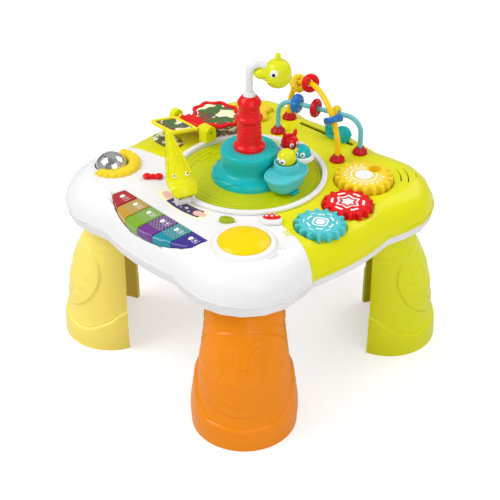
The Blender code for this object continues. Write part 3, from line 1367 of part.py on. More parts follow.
def build_flap():
    rings = []
    for share, width_share in FLAP_WIDTH_SHARES:
        x = share * FLAP_LENGTH
        half = width_share * FLAP_WIDTH / 2
        upper = []
        lower = []
        for step in range(FLAP_SECTION_STEPS + 1):
            across = step / FLAP_SECTION_STEPS * 2 - 1
            crown = FLAP_CROWN * width_share * (1 - across ** 2)
            upper.append((x, across * half, crown + FLAP_THICKNESS / 2))
            lower.append((x, across * half, crown * 0.6 - FLAP_THICKNESS / 2))
        rings.append(upper + lower[::-1])
    flap = loft("crocodile_flap", rings, "lime")
    barrel = rod("flap_barrel", (0, -FLAP_BARREL_LENGTH / 2, 0), (0, FLAP_BARREL_LENGTH / 2, 0),
                 FLAP_BARREL_RADIUS,
                 segments=16)
    reach = FLAP_WIDTH_SHARES[1][0] * FLAP_LENGTH
    web = box("flap_web", (reach / 2, 0, 0), (reach, FLAP_BARREL_LENGTH * 0.9, FLAP_THICKNESS))
    bore = rod("flap_bore", (0, -FLAP_BARREL_LENGTH, 0), (0, FLAP_BARREL_LENGTH, 0),
               FLAP_PIN_RADIUS + RUNNING_GAP)
    join(flap, barrel)
    join(flap, web)
    cut(flap, bore)
    bpy.context.view_layer.update()
    for item in (flap, barrel, web, bore):
        item.matrix_world = flap_matrix(FLAP_REST_PITCH) @ item.matrix_world
    smooth(flap)
    ear_y = FLAP_BARREL_LENGTH / 2 + GAP + FLAP_EAR_THICKNESS / 2
    floor = DECK_Z + GAP - FLAP_Z
    plate_top = -FLAP_BARREL_RADIUS - GAP
    width = 2 * (ear_y + FLAP_EAR_THICKNESS / 2)
    bracket = box("flap_bracket", (0, 0, (floor + plate_top) / 2),
                  (FLAP_EAR_WIDTH, width, plate_top - floor), "lime")
    pieces = [bracket]
    for number, side in enumerate((-1, 1)):
        top = FLAP_BARREL_RADIUS * 0.9
        ear = box(f"flap_ear_{number}", (0, side * ear_y, (floor + top) / 2),
                  (FLAP_EAR_WIDTH * 0.9, FLAP_EAR_THICKNESS, top - floor))
        join(bracket, ear)
        pieces.append(ear)
    pin = rod("flap_pin", (0, -ear_y, 0), (0, ear_y, 0), FLAP_PIN_RADIUS)
    join(bracket, pin)
    pieces.append(pin)
    bpy.context.view_layer.update()
    for item in pieces:
        item.matrix_world = flap_matrix(0) @ item.matrix_world
    cut(bracket, ring_notch("flap_notch"))


def ring_notch(name):
    """Cutter that clears the track ring where a bracket reaches over it."""
    return cylinder(name, (0, 0), RING_OUTER_RADIUS + 2 * GAP, DECK_Z - CUT_OVERRUN,
                    DECK_Z + RING_HEIGHT + 3 * GAP,
                    segments=WELL_SEGMENTS)


def rounded_outline(corners, radius, steps=3):
    """Round each corner of a convex outline that is listed counter-clockwise."""
    points = []
    count = len(corners)
    for i in range(count):
        corner = Vector(corners[i])
        before = (Vector(corners[i - 1]) - corner).normalized()
        after = (Vector(corners[(i + 1) % count]) - corner).normalized()
        start = corner + before * radius
        end = corner + after * radius
        for step in range(steps + 1):
            mix = step / steps
            points.append(tuple(start * (1 - mix) ** 2 + corner * 2 * mix * (1 - mix) + end * mix ** 2))
    return points


def build_book():
    spindle_ends = ((SPINDLE_START_X, BOOK_Y, BOOK_Z), (SPINDLE_END_X, BOOK_Y, BOOK_Z))
    rod("book_spindle", *spindle_ends, SPINDLE_RADIUS, "steel")
    floor = DECK_Z + GAP
    uprights = []
    for name, start, length in (("book_bracket", SPINDLE_START_X + GAP, STAND_OUTER_LENGTH),
                                ("inner_upright", SPINDLE_END_X - GAP - STAND_INNER_LENGTH,
                                 STAND_INNER_LENGTH)):
        half = STAND_HEIGHT_RADIUS
        arch = [(-half, floor - BOOK_Z),
                (half, floor - BOOK_Z)] + [polar(half, math.pi * step / 8) for step in range(9)]
        rings = [[(start + side * length, BOOK_Y + y, BOOK_Z + z) for y, z in arch] for side in (0, 1)]
        uprights.append(loft(name, rings, None if uprights else "lime"))
    bracket = join(uprights[0], uprights[1])
    join(bracket,
         box("book_base", ((SPINDLE_START_X + SPINDLE_END_X) / 2, BOOK_Y, floor + BOOK_BASE_THICKNESS / 2),
                      (SPINDLE_END_X - SPINDLE_START_X - STAND_OUTER_LENGTH, STAND_HEIGHT_RADIUS,
                       BOOK_BASE_THICKNESS)))
    cut(bracket, ring_notch("book_notch"))
    cut(bracket, rod("spindle_bore", (SPINDLE_START_X - CUT_OVERRUN, BOOK_Y, BOOK_Z),
                     (SPINDLE_END_X + CUT_OVERRUN, BOOK_Y, BOOK_Z), SPINDLE_RADIUS + GAP))

    red_outline = []
    count = 36
    for i in range(count):
        angle = 2 * math.pi * i / count
        bump = 1 + RED_PAGE_BUMP / RED_PAGE_LENGTH * 2 * math.cos(RED_PAGE_BUMPS * angle)
        x, y = math.cos(angle) * RED_PAGE_WIDTH / 2 * bump, math.sin(angle) * RED_PAGE_LENGTH / 2 * bump
        red_outline.append((RED_PAGE_X + x, BOOK_Y + RED_PAGE_NEAR + RED_PAGE_LENGTH / 2 + y))
    half = PAGE_THICKNESS / 2
    red = slab("page_red", red_outline, BOOK_Z - half, BOOK_Z + half, "red")
    red_tools = [
        rod("red_barrel", (RED_BARREL_START_X, BOOK_Y, BOOK_Z), (RED_BARREL_END_X, BOOK_Y, BOOK_Z),
            PAGE_BARREL_RADIUS, segments=12),
        box("red_web",
            ((RED_BARREL_START_X + RED_BARREL_END_X) / 2, BOOK_Y + PAGE_BARREL_RADIUS * 1.4, BOOK_Z),
            ((RED_BARREL_END_X - RED_BARREL_START_X) * 0.94, PAGE_BARREL_RADIUS * 2.8,
             PAGE_THICKNESS * 0.9)),
    ]
    near = BOOK_Y - YELLOW_PAGE_NEAR
    far = BOOK_Y - YELLOW_PAGE_FAR
    corners = [(YELLOW_PAGE_START_X + YELLOW_PAGE_TAPER, near), (YELLOW_PAGE_START_X, far),
               (YELLOW_PAGE_END_X - YELLOW_PAGE_TAPER, far), (YELLOW_PAGE_END_X, near)]
    yellow = slab("page_yellow", rounded_outline(corners, PAGE_CORNER), BOOK_Z - half, BOOK_Z + half,
                  "yellow")
    yellow_tools = []
    for number, edge in enumerate((RED_BARREL_START_X - GAP - LUG_LENGTH, RED_BARREL_END_X + GAP)):
        middle = edge + LUG_LENGTH / 2
        yellow_tools.append(rod(f"yellow_barrel_{number}", (edge, BOOK_Y, BOOK_Z),
                                (edge + LUG_LENGTH, BOOK_Y, BOOK_Z),
                                PAGE_BARREL_RADIUS, segments=12))
        yellow_tools.append(box(f"yellow_web_{number}", (middle, BOOK_Y - YELLOW_PAGE_NEAR, BOOK_Z),
                                (LUG_LENGTH * 0.9, YELLOW_PAGE_NEAR * 2, PAGE_THICKNESS * 0.9)))
    for page, tools, tilt in ((red, red_tools, PAGE_REST_TILT), (yellow, yellow_tools, -PAGE_REST_TILT)):
        set_origin(page, ((RED_BARREL_START_X + RED_BARREL_END_X) / 2, BOOK_Y, BOOK_Z))
        bore = rod(page.name + "_bore", (SPINDLE_START_X, BOOK_Y, BOOK_Z), (SPINDLE_END_X, BOOK_Y, BOOK_Z),
                   SPINDLE_RADIUS + RUNNING_GAP)
        for tool in tools:
            join(page, tool)
        cut(page, bore)
        axis = Matrix.Translation((0, BOOK_Y, BOOK_Z))
        turn = axis @ Matrix.Rotation(tilt, 4, "X") @ axis.inverted()
        bpy.context.view_layer.update()
        for item in [page, bore] + tools:
            item.matrix_world = turn @ item.matrix_world


# Bead arches

def teal_point(along, height):
    start = Vector((TEAL_ARCH_START_X, TEAL_ARCH_START_Y, 0))
    return start + TEAL_AXIS.normalized() * along + Vector((0, 0, height))


def yellow_point(angle, radius):
    """Point on or about the round yellow arch, by its angle from straight up."""
    start = Vector((YELLOW_ARCH_START_X, YELLOW_ARCH_START_Y, YELLOW_ARCH_SPRING_Z))
    middle = start + YELLOW_AXIS / 2
    return middle + YELLOW_AXIS.normalized() * math.sin(angle) * radius + Vector((0, 0,
                                                                                  math.cos(angle) * radius))


def yellow_radius():
    return YELLOW_AXIS.length / 2


def build_arches():
    foot = DECK_Z - SHELL_WALL
    span = TEAL_AXIS.length
    corner = TEAL_ARCH_CORNER
    spring = TEAL_ARCH_TOP_Z - corner
    points = [teal_point(0, foot)]
    for step in range(CORNER_STEPS + 1):
        angle = math.pi / 2 * step / CORNER_STEPS
        points.append(teal_point(corner - corner * math.cos(angle), spring + corner * math.sin(angle)))
    for step in range(CORNER_STEPS + 1):
        angle = math.pi / 2 * step / CORNER_STEPS
        points.append(teal_point(span - corner + corner * math.sin(angle),
                                 spring + corner * math.cos(angle)))
    points.append(teal_point(span, foot))
    tube("arch_teal", points, TEAL_ROD_RADIUS, "teal")
    start = Vector((YELLOW_ARCH_START_X, YELLOW_ARCH_START_Y, foot))
    points = [start]
    for step in range(ARCH_ARC_STEPS + 1):
        points.append(yellow_point(math.pi * (step / ARCH_ARC_STEPS - 0.5), yellow_radius()))
    points.append(start + YELLOW_AXIS)
    tube("arch_yellow", points, YELLOW_ROD_RADIUS, "yellow")
    build_arch_feet()


def foot_places():
    """Where the four feet stand, each with the radius of its rod: the teal pair, then the yellow pair."""
    return (
        (TEAL_ARCH_START_X, TEAL_ARCH_START_Y, TEAL_ROD_RADIUS), (TEAL_ARCH_END_X, TEAL_ARCH_END_Y,
                                                                  TEAL_ROD_RADIUS),
        (YELLOW_ARCH_END_X, YELLOW_ARCH_END_Y, YELLOW_ROD_RADIUS),
        (YELLOW_ARCH_START_X, YELLOW_ARCH_START_Y, YELLOW_ROD_RADIUS),
    )


def build_arch_feet():
    """One frame under the deck, with four flared feet that come up through it."""
    deck = DECK_Z + GAP
    top = DECK_Z - SHELL_WALL - GAP
    bottom = top - FRAME_THICKNESS
    places = [Vector(place[:2]) for place in foot_places()]
    bars = [(places[0], places[2]), (places[2], places[1]), (places[0], places[3])]
    frame = None
    for number, (start, end) in enumerate(bars):
        middle = (start + end) / 2
        along = end - start
        bar = box(f"foot_bar_{number}" if frame else "arch_feet", (*middle, (bottom + top) / 2),
                  (along.length, FRAME_WIDTH, FRAME_THICKNESS), None if frame else "red",
                  math.atan2(along.y, along.x))
        frame = join(frame, bar) if frame else bar
    neck = FOOT_RADIUS * FOOT_NECK_SHARE
    for number, place in enumerate(places):
        join(frame, turned(f"foot_{number}", [
            (0, deck + FOOT_HEIGHT), (neck, deck + FOOT_HEIGHT),
            (FOOT_RADIUS, deck + FOOT_HEIGHT / 4), (FOOT_RADIUS, bottom - FRAME_RIM),
            (0, bottom - FRAME_RIM)], centre=place, steps=12))
    for number, (x, y, radius) in enumerate(foot_places()):
        cut(frame,
            cylinder(f"foot_bore_{number}", (x, y), radius + 2 * GAP, top - GAP,
                     deck + FOOT_HEIGHT + CUT_OVERRUN,
                            segments=SMALL_SEGMENTS))


def turned_ring(profile, segments):
    """Spin a closed profile clear of the axis into a closed bmesh."""
    shape = bmesh.new()
    points = [shape.verts.new((radius, 0, height)) for radius, height in profile]
    edges = [shape.edges.new((points[i], points[(i + 1) % len(points)])) for i in range(len(points))]
    bmesh.ops.spin(shape, geom=points + edges, axis=(0, 0, 1), cent=(0, 0, 0), steps=segments,
                   angle=2 * math.pi, use_merge=True)
    bmesh.ops.remove_doubles(shape, verts=shape.verts, dist=WELD_DISTANCE)
    bmesh.ops.recalc_face_normals(shape, faces=shape.faces)
    return shape


def bead_bmesh(kind, bore):
    """Bead about the local Z axis: a flower, a torus, a plain disc or a wavy disc."""
    if kind == "torus":
        half = TORUS_BEAD_THICKNESS / 2
        middle = (bore + TORUS_BEAD_RADIUS) / 2
        reach = (TORUS_BEAD_RADIUS - bore) / 2
        turns = [2 * math.pi * i / 8 for i in range(8)]
        return turned_ring([(middle + reach * math.cos(turn), half * math.sin(turn)) for turn in turns], 18)
    if kind == "disc":
        half = DISC_BEAD_THICKNESS / 2
        edge = DISC_BEAD_THICKNESS / 4
        return turned_ring([(bore, half), (DISC_BEAD_RADIUS - edge, half), (DISC_BEAD_RADIUS, half - edge),
                            (DISC_BEAD_RADIUS, edge - half), (DISC_BEAD_RADIUS - edge, -half),
                            (bore, -half)], 16)
    lobes = 8 if kind == "flower" else 6
    thickness = FLOWER_BEAD_THICKNESS if kind == "flower" else WAVE_BEAD_THICKNESS
    radius = FLOWER_BEAD_RADIUS if kind == "flower" else WAVE_BEAD_RADIUS
    shape = turned_ring([(bore, thickness / 2), (radius * 0.8, thickness / 2), (radius, thickness / 4),
                         (radius, -thickness / 4), (radius * 0.8, -thickness / 2),
                         (bore, -thickness / 2)], 20 if kind == "wave" else 24)
    for point in shape.verts:
        out = point.co.xy.length
        angle = math.atan2(point.co.y, point.co.x)
        if kind == "flower" and out > radius * 0.7:
            point.co.xy *= 1 - 0.07 * (1 - math.cos(lobes * angle))
        if kind == "wave" and out > radius * 0.7:
            point.co.z += WAVE_BEAD_SWING * math.cos(lobes / 2 * angle)
    return shape


def place_bead(name, kind, colour, point, direction, rod_radius, pivot):
    shape = bead_bmesh(kind, rod_radius + BEAD_CLEARANCE)
    bead = from_bmesh(name, shape, colour)
    turn = direction.to_track_quat("Z", "Y").to_matrix().to_4x4()
    bead.data.transform(Matrix.Translation(point) @ turn)
    set_origin(bead, pivot)
    return smooth(bead)


def build_beads():
    along = TEAL_AXIS.normalized()
    for name, kind, colour, place in (
            ("bead_blue_flower", "flower", "blue", BLUE_FLOWER_PLACE),
            ("bead_red_lower", "torus", "red", RED_LOWER_PLACE),
            ("bead_yellow_disc", "disc", "yellow", YELLOW_DISC_PLACE)):
        point = teal_point(place, TEAL_ARCH_TOP_Z)
        place_bead(name, kind, colour, point, along, TEAL_ROD_RADIUS, point)
    centre = yellow_point(0, 0)
    for name, kind, colour, angle in (
            ("bead_yellow_flower", "flower", "yellow", YELLOW_FLOWER_ANGLE),
            ("bead_red_upper", "torus", "red", RED_UPPER_ANGLE),
            ("bead_blue_wave", "wave", "blue", BLUE_WAVE_ANGLE)):
        point = yellow_point(angle, yellow_radius())
        direction = YELLOW_AXIS.normalized() * math.cos(angle) - Vector((0, 0, math.sin(angle)))
        place_bead(name, kind, colour, point, direction, YELLOW_ROD_RADIUS, centre)


def slot_direction():
    return Vector((SLOT_END_X - SLOT_START_X, SLOT_END_Y - SLOT_START_Y)).normalized()


def snail_centre():
    share = (SNAIL_X - SLOT_START_X) / (SLOT_END_X - SLOT_START_X)
    return Vector((SNAIL_X, SLOT_START_Y + (SLOT_END_Y - SLOT_START_Y) * share))


def build_snail():
    centre = snail_centre()
    along = slot_direction()
    heading = math.atan2(along.y, along.x)
    base = DECK_Z + GAP
    plan = placed(superellipse(SNAIL_LENGTH, SNAIL_WIDTH, 3, 16), centre, heading)
    snail = slab("snail_slider", plan, base, base + SNAIL_BASE_HEIGHT, "teal")
    set_origin(snail, (*centre, base))
    shell_place = centre + along * (SNAIL_LENGTH / 2 - SNAIL_SHELL_RADIUS * 0.8)
    head_place = centre - along * (SNAIL_LENGTH / 2 - SNAIL_HEAD_RADIUS * 0.8)
    rise = base + SNAIL_BASE_HEIGHT / 2
    join(snail, turned("snail_shell", [
        (0, base + SNAIL_SHELL_HEIGHT), (SNAIL_SHELL_RADIUS * 0.6, base + SNAIL_SHELL_HEIGHT * 0.96),
        (SNAIL_SHELL_RADIUS * 0.92, base + SNAIL_SHELL_HEIGHT * 0.8), (SNAIL_SHELL_RADIUS,
                                                                       base + SNAIL_SHELL_HEIGHT * 0.6),
        (SNAIL_SHELL_RADIUS * 0.9, rise), (0, rise)], centre=shell_place, steps=16))
    join(snail, turned("snail_head", [
        (0, base + SNAIL_HEAD_HEIGHT), (SNAIL_HEAD_RADIUS * 0.8, base + SNAIL_HEAD_HEIGHT * 0.95),
        (SNAIL_HEAD_RADIUS, base + SNAIL_HEAD_HEIGHT * 0.8), (SNAIL_HEAD_RADIUS, rise), (0, rise)],
        centre=head_place, steps=12))
    keeper_top = DECK_Z - SHELL_WALL - SNAIL_KEEPER_DROP
    join(snail,
         box("snail_stem",
             (*centre, (keeper_top + base + SNAIL_BASE_HEIGHT / 2) / 2 - SNAIL_KEEPER_THICKNESS / 4),
                    (SNAIL_STEM_WIDTH, SNAIL_STEM_WIDTH,
                     base + SNAIL_BASE_HEIGHT / 2 - keeper_top + SNAIL_KEEPER_THICKNESS / 2),
                    heading=heading))
    join(snail,
         cylinder("snail_keeper", centre, SNAIL_KEEPER_RADIUS, keeper_top - SNAIL_KEEPER_THICKNESS,
                  keeper_top,
                         segments=16))


# Gears, spinner, roller ball

def gear_outline(teeth, phase):
    """Gear outline with tapered teeth, turned by a phase."""
    pitch = GEAR_MODULE * teeth / 2
    tooth = 2 * math.pi / teeth
    root_half = tooth / 4 + 0.28 * ADDENDUM / pitch - GEAR_BACKLASH / pitch / 2
    tip_half = tooth / 4 - 0.42 * ADDENDUM / pitch - GEAR_BACKLASH / pitch / 2
    points = []
    for number in range(teeth):
        middle = number * tooth + phase
        for radius, angle in ((pitch - DEDENDUM, -root_half), (pitch + ADDENDUM, -tip_half),
                              (pitch + ADDENDUM, tip_half), (pitch - DEDENDUM, root_half)):
            points.append(polar(radius, middle + angle))
    return points


def gear_phases():
    """Phases that put a tooth of one gear in the gap of the next at their meeting line."""
    half = math.pi
    yellow = RED_GEAR_HEADING
    red = RED_GEAR_HEADING + half + math.pi / RED_TEETH
    turned_by = (TEAL_GEAR_HEADING - red) / (2 * math.pi / RED_TEETH)
    teal_shift = (turned_by - round(turned_by)) * 2 * math.pi / RED_TEETH
    teal = TEAL_GEAR_HEADING + half + teal_shift + math.pi / TEAL_TEETH
    return {"yellow": yellow, "red": red, "teal": teal}


def build_gears():
    phases = gear_phases()
    bottom = WELL_FLOOR_Z + GEAR_BOTTOM_RISE
    for name, (centre, teeth, top) in gear_places().items():
        outline = [tuple(centre + Vector(point)) for point in gear_outline(teeth, phases[name])]
        gear = slab(f"gear_{name}", outline, bottom, top, name)
        set_origin(gear, (*centre, bottom))
        cut(gear,
            cylinder(f"{name}_gear_bore", centre, GEAR_POST_RADIUS + RUNNING_GAP, bottom - CUT_OVERRUN,
                           WELL_FLOOR_Z + GEAR_POST_HEIGHT + GAP, segments=16))
        if name == "yellow":
            hole = centre + Vector((0, FINGER_HOLE_OFFSET))
            cut(gear,
                cylinder("finger_hole", hole, FINGER_HOLE_RADIUS, top - FINGER_HOLE_DEPTH,
                         top + CUT_OVERRUN,
                               segments=20))


def build_spinner():
    base = DECK_Z - SPINNER_WELL_DEPTH + GAP
    outline = []
    count = SPINNER_PETALS * 8
    waist = (1 - SPINNER_WAIST_SHARE) / 2
    for i in range(count):
        angle = 2 * math.pi * i / count
        radius = SPINNER_RADIUS * (1 - waist * (1 - math.cos(SPINNER_PETALS * angle)))
        outline.append((SPINNER_X + radius * math.cos(angle), SPINNER_Y + radius * math.sin(angle)))
    spinner = slab("petal_spinner", outline, base, base + SPINNER_THICKNESS, "yellow")
    set_origin(spinner, (SPINNER_X, SPINNER_Y, base))
    join(spinner,
         cylinder("spinner_stem", (SPINNER_X, SPINNER_Y), SPINNER_STEM_RADIUS, base - SPINNER_STEM_LENGTH,
                           base + SPINNER_THICKNESS / 2, segments=SMALL_SEGMENTS))


def build_roller():
    centre = Vector((BALL_X, BALL_Y, BALL_Z))
    axis = Vector(polar(1, BALL_AXIS_HEADING)).to_3d()
    ball = ellipsoid("roller_ball", centre, (BALL_RADIUS, BALL_RADIUS, BALL_RADIUS), "silver",
                     rotation=axis.to_track_quat("Z", "Y").to_euler(), across=14, around=8)
    join(ball,
         rod("ball_pin", centre - axis * (BALL_PIN_REACH - GAP), centre + axis * (BALL_PIN_REACH - GAP),
                   BALL_PIN_RADIUS))
    outer = []
    inner = []
    reach = BALL_RADIUS + BALL_CLEARANCE
    for step in range(CRESCENT_STEPS + 1):
        share = step / CRESCENT_STEPS
        angle = CRESCENT_START + (CRESCENT_END - CRESCENT_START) * share
        width = CRESCENT_WIDTH * (0.35 + 0.65 * math.sin(math.pi * (0.12 + 0.76 * share)))
        width += CRESCENT_SCALLOP * math.cos(2 * math.pi * CRESCENT_SCALLOPS * share)
        outer.append((BALL_X + (reach + width) * math.cos(angle),
                      BALL_Y + (reach + width) * math.sin(angle)))
        inner.append((BALL_X + reach * math.cos(angle), BALL_Y + reach * math.sin(angle)))
    slab("roller_surround", outer + inner[::-1], DECK_Z + GAP, DECK_Z + GAP + CRESCENT_THICKNESS, "yellow")


# Keys, dome button and switches

def key_top(y):
    """Height of a key's sloping top at a y."""
    share = (KEY_INNER_Y - y) / (KEY_INNER_Y - KEY_FRONT_Y)
    return KEY_BACK_TOP_Z + (KEY_FRONT_TOP_Z - KEY_BACK_TOP_Z) * share


def build_keys():
    names = ("red", "amber", "green", "purple", "sea", "indigo")
    for number, colour in enumerate(names):
        start = KEY_START_X + KEY_PITCH * number
        outline = key_outline(start, start + KEY_PITCH, -KEY_SPACING / 2)
        small = key_outline(start, start + KEY_PITCH, -KEY_SPACING / 2 - KEY_CHAMFER / 3)
        top = [(x, max(y, key_front_y(x) + KEY_CHAMFER), key_top(y)) for x, y in small]
        shoulder = [(x, y, key_top(y) - KEY_CHAMFER) for x, y in outline]
        name = "teal" if colour == "sea" else colour
        key = loft(f"key_{name}", [ring_at(outline, KEY_BOTTOM_Z), shoulder, top], colour)
        hollow = key_outline(start, start + KEY_PITCH, -KEY_SPACING / 2 - KEY_WALL)
        cut(key, loft(f"{name}_hollow", [ring_at(hollow, KEY_BOTTOM_Z - CUT_OVERRUN),
                                         [(x, y, key_top(y) - KEY_CHAMFER - KEY_WALL / 2) for x,
                                          y in hollow]]))
        cut(key, rod(f"{name}_key_bore", (start - KEY_PITCH, KEY_AXLE_Y, KEY_AXLE_Z),
                     (start + 2 * KEY_PITCH, KEY_AXLE_Y, KEY_AXLE_Z), KEY_AXLE_RADIUS + GAP))
        set_origin(key, (start + KEY_PITCH / 2, KEY_AXLE_Y, KEY_AXLE_Z))
    overhang = KEY_POCKET_MARGIN + KEY_AXLE_OVERHANG
    rod("key_axle", (KEY_START_X - overhang, KEY_AXLE_Y, KEY_AXLE_Z),
        (KEY_START_X + KEY_PITCH * KEY_COUNT + overhang, KEY_AXLE_Y, KEY_AXLE_Z), KEY_AXLE_RADIUS, "steel")


def build_dome():
    rim = DOME_RIM_Z
    steps = 5
    outer = [(0, rim + DOME_HEIGHT)]
    for step in range(1, steps + 1):
        angle = math.pi / 2 * step / steps
        outer.append((DOME_RADIUS * math.sin(angle), rim + DOME_HEIGHT * math.cos(angle)))
    outer.append((DOME_RADIUS, DOME_SKIRT_BOTTOM_Z))
    outer.append((DOME_RADIUS - DOME_WALL, DOME_SKIRT_BOTTOM_Z))
    outer.append((DOME_RADIUS - DOME_WALL, rim - DOME_WALL))
    outer.append((0, rim - DOME_WALL + DOME_HEIGHT / 3))
    turned("dome_button", outer, "yellow", (DOME_X, DOME_Y), FINE_SEGMENTS)
    floor = DOME_WELL_FLOOR_Z + GAP + SPRING_WIRE_RADIUS
    ceiling = rim - DOME_WALL - GAP - SPRING_WIRE_RADIUS
    points = []
    count = SPRING_TURNS * SPRING_POINTS_PER_TURN
    for i in range(count + 1):
        x, y = polar(SPRING_RADIUS * 2, 2 * math.pi * i / SPRING_POINTS_PER_TURN)
        points.append((DOME_X + x, DOME_Y + y, floor + (ceiling - floor) * i / count))
    tube("button_spring", points, SPRING_WIRE_RADIUS, "steel", 1)


def leaf_outline(margin):
    """Pointed leaf in plan, grown by a margin."""
    points = []
    count = 16
    for i in range(count):
        angle = 2 * math.pi * i / count
        x = (LEAF_LENGTH / 2 + margin) * math.cos(angle)
        y = (LEAF_WIDTH / 2 + margin) * math.sin(angle) * (1 - 0.25 * math.cos(angle))
        points.append((x, y))
    return placed(points, (LEAF_X, LEAF_Y), LEAF_HEADING)


def build_switches():
    base = DECK_Z + GAP
    bow_plan = []
    count = 24
    for i in range(count):
        angle = 2 * math.pi * i / count
        pinch = 0.52 + 0.48 * math.cos(angle) ** 2
        bow_plan.append((BOW_LENGTH / 2 * math.cos(angle), BOW_WIDTH / 2 * 1.3 * math.sin(angle) * pinch))
    bow = slab("bow_switch", placed(bow_plan, (BOW_X, BOW_Y), BOW_HEADING), base, base + BOW_HEIGHT, "red")
    toadstool_plan = rounded_outline([(-TOADSTOOL_LENGTH / 2, TOADSTOOL_WIDTH / 2),
                                      (-TOADSTOOL_LENGTH / 2, -TOADSTOOL_WIDTH / 2),
                                      (TOADSTOOL_LENGTH / 2, -TOADSTOOL_WIDTH / 2),
                                      (TOADSTOOL_LENGTH / 2, TOADSTOOL_WIDTH / 2)],
                                     TOADSTOOL_WIDTH * 0.42, 4)
    toadstool = slab("toadstool_switch",
                     placed(toadstool_plan, (TOADSTOOL_X, TOADSTOOL_Y), TOADSTOOL_HEADING), base,
                     base + TOADSTOOL_HEIGHT, "white")
    for knob, x, y in ((bow, BOW_X, BOW_Y), (toadstool, TOADSTOOL_X, TOADSTOOL_Y)):
        set_origin(knob, (x, y, base))
        join(knob, cylinder(knob.name + "_stem", (x, y), SWITCH_STEM_RADIUS, base - SWITCH_STEM_DEPTH,
                            base + BOW_HEIGHT / 2, segments=SMALL_SEGMENTS))
    leaf = slab("leaf_button", leaf_outline(0), LEAF_BOTTOM_Z, LEAF_TOP_Z, "lime")
    set_origin(leaf, (LEAF_X, LEAF_Y, LEAF_BOTTOM_Z))


def hang_on(parent_name, names):
    """Parent pieces to the one that carries them, where they stand."""
    parent = bpy.data.objects[parent_name]
    bpy.context.view_layer.update()
    for name in names:
        child = bpy.data.objects[name]
        child.parent = parent
        child.matrix_parent_inverse = parent.matrix_world.inverted()


def build_table():
    build_white_half()
    build_lime_half()
    build_tray()
    build_battery_parts()
    build_screws()
    build_electronics()
    for name, colour in (("front", "orange"), ("left", "yellow"), ("right", "lime"), ("back", "red")):
        build_leg(name, colour, leg_headings()[name])
    build_track()
    build_island()
    build_passengers()
    build_tower()
    build_neck()
    build_bird()
    build_flap()
    build_book()
    build_arches()
    build_beads()
    build_snail()
    build_gears()
    build_spinner()
    build_roller()
    build_keys()
    build_dome()
    build_switches()
    hang_on("island", ("boat_teal", "boat_white", "head_green", "head_red", "head_blue"))
    hang_on("neck_tube", ("bird_head",))


build_table()
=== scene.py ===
"""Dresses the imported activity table: finished mouldings, prints, floor, studio light and camera."""

import json
import logging
import math
from collections.abc import Callable, Iterable, Sequence
from dataclasses import dataclass, field
from enum import Enum

import bpy
from mathutils import Matrix, Vector


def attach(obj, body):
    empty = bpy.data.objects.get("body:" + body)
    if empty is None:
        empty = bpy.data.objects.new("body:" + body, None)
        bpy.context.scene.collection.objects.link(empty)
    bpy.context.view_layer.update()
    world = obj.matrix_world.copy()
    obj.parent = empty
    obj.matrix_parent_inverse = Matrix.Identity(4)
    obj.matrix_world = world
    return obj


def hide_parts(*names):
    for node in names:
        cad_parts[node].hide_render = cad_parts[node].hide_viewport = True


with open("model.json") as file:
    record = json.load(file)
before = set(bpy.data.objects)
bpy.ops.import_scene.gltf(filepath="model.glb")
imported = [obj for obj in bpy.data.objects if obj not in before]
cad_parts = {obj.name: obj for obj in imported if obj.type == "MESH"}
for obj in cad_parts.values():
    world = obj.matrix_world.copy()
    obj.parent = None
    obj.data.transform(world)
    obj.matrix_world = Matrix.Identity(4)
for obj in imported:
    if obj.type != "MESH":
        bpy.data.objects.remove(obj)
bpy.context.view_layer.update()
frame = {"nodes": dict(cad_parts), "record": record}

log = logging.getLogger("activity_table")
Place = tuple[float, float, float]
Plan = list[tuple[float, float]]

DECK = 0.243
GAP = 0.0003
SHELL = 0.0026
DISC_TOP = DECK + GAP - 0.007 + 0.0027 + GAP + 0.003
BODY_OF = {node: body for body, nodes in frame["record"]["behaviour"]["bodies"].items() for node in nodes}


# ---------------------------------------------------------------- finishes

class Shade(Enum):
    """Moulding colours, as sRGB."""

    WHITE = (0.945, 0.943, 0.945)
    LIME = (0.905, 0.895, 0.040)
    DISC_LIME = (0.780, 0.810, 0.000)
    YELLOW = (0.975, 0.845, 0.150)
    LEG_YELLOW = (1.000, 0.915, 0.430)
    PAGE_YELLOW = (0.950, 0.900, 0.160)
    DOME = (0.990, 0.840, 0.000)
    ORANGE = (0.960, 0.555, 0.010)
    RED = (0.910, 0.070, 0.100)
    DARK_RED = (0.780, 0.060, 0.130)
    TEAL = (0.090, 0.720, 0.730)
    BOAT_TEAL = (0.330, 0.790, 0.810)
    ROD_TEAL = (0.460, 0.780, 0.810)
    BLUE = (0.150, 0.460, 0.780)
    ROD_YELLOW = (0.995, 0.810, 0.060)
    LEG_LIME = (0.880, 0.890, 0.090)
    LEAF_LIME = (0.640, 0.710, 0.120)
    HEAD_LIME = (0.880, 0.890, 0.100)
    CREAM = (0.985, 0.970, 0.800)
    PINK = (0.960, 0.760, 0.700)
    PURPLE = (0.290, 0.230, 0.450)
    BLACK = (0.060, 0.060, 0.070)
    PRINT_WHITE = (0.970, 0.970, 0.970)
    PRINT_GREEN = (0.300, 0.450, 0.200)
    PRINT_BROWN = (0.520, 0.330, 0.200)
    PRINT_GREY = (0.350, 0.350, 0.330)
    KEY_RED = (0.700, 0.150, 0.180)
    KEY_AMBER = (0.780, 0.600, 0.150)
    KEY_GREEN = (0.500, 0.680, 0.140)
    KEY_PURPLE = (0.440, 0.200, 0.560)
    KEY_TEAL = (0.000, 0.560, 0.620)
    KEY_INDIGO = (0.230, 0.180, 0.560)
    STEEL = (0.720, 0.730, 0.740)
    SILVER = (0.780, 0.785, 0.790)
    BOARD = (0.080, 0.330, 0.180)
    SLEEVE = (0.150, 0.150, 0.160)
    FROST = (0.955, 0.960, 0.965)


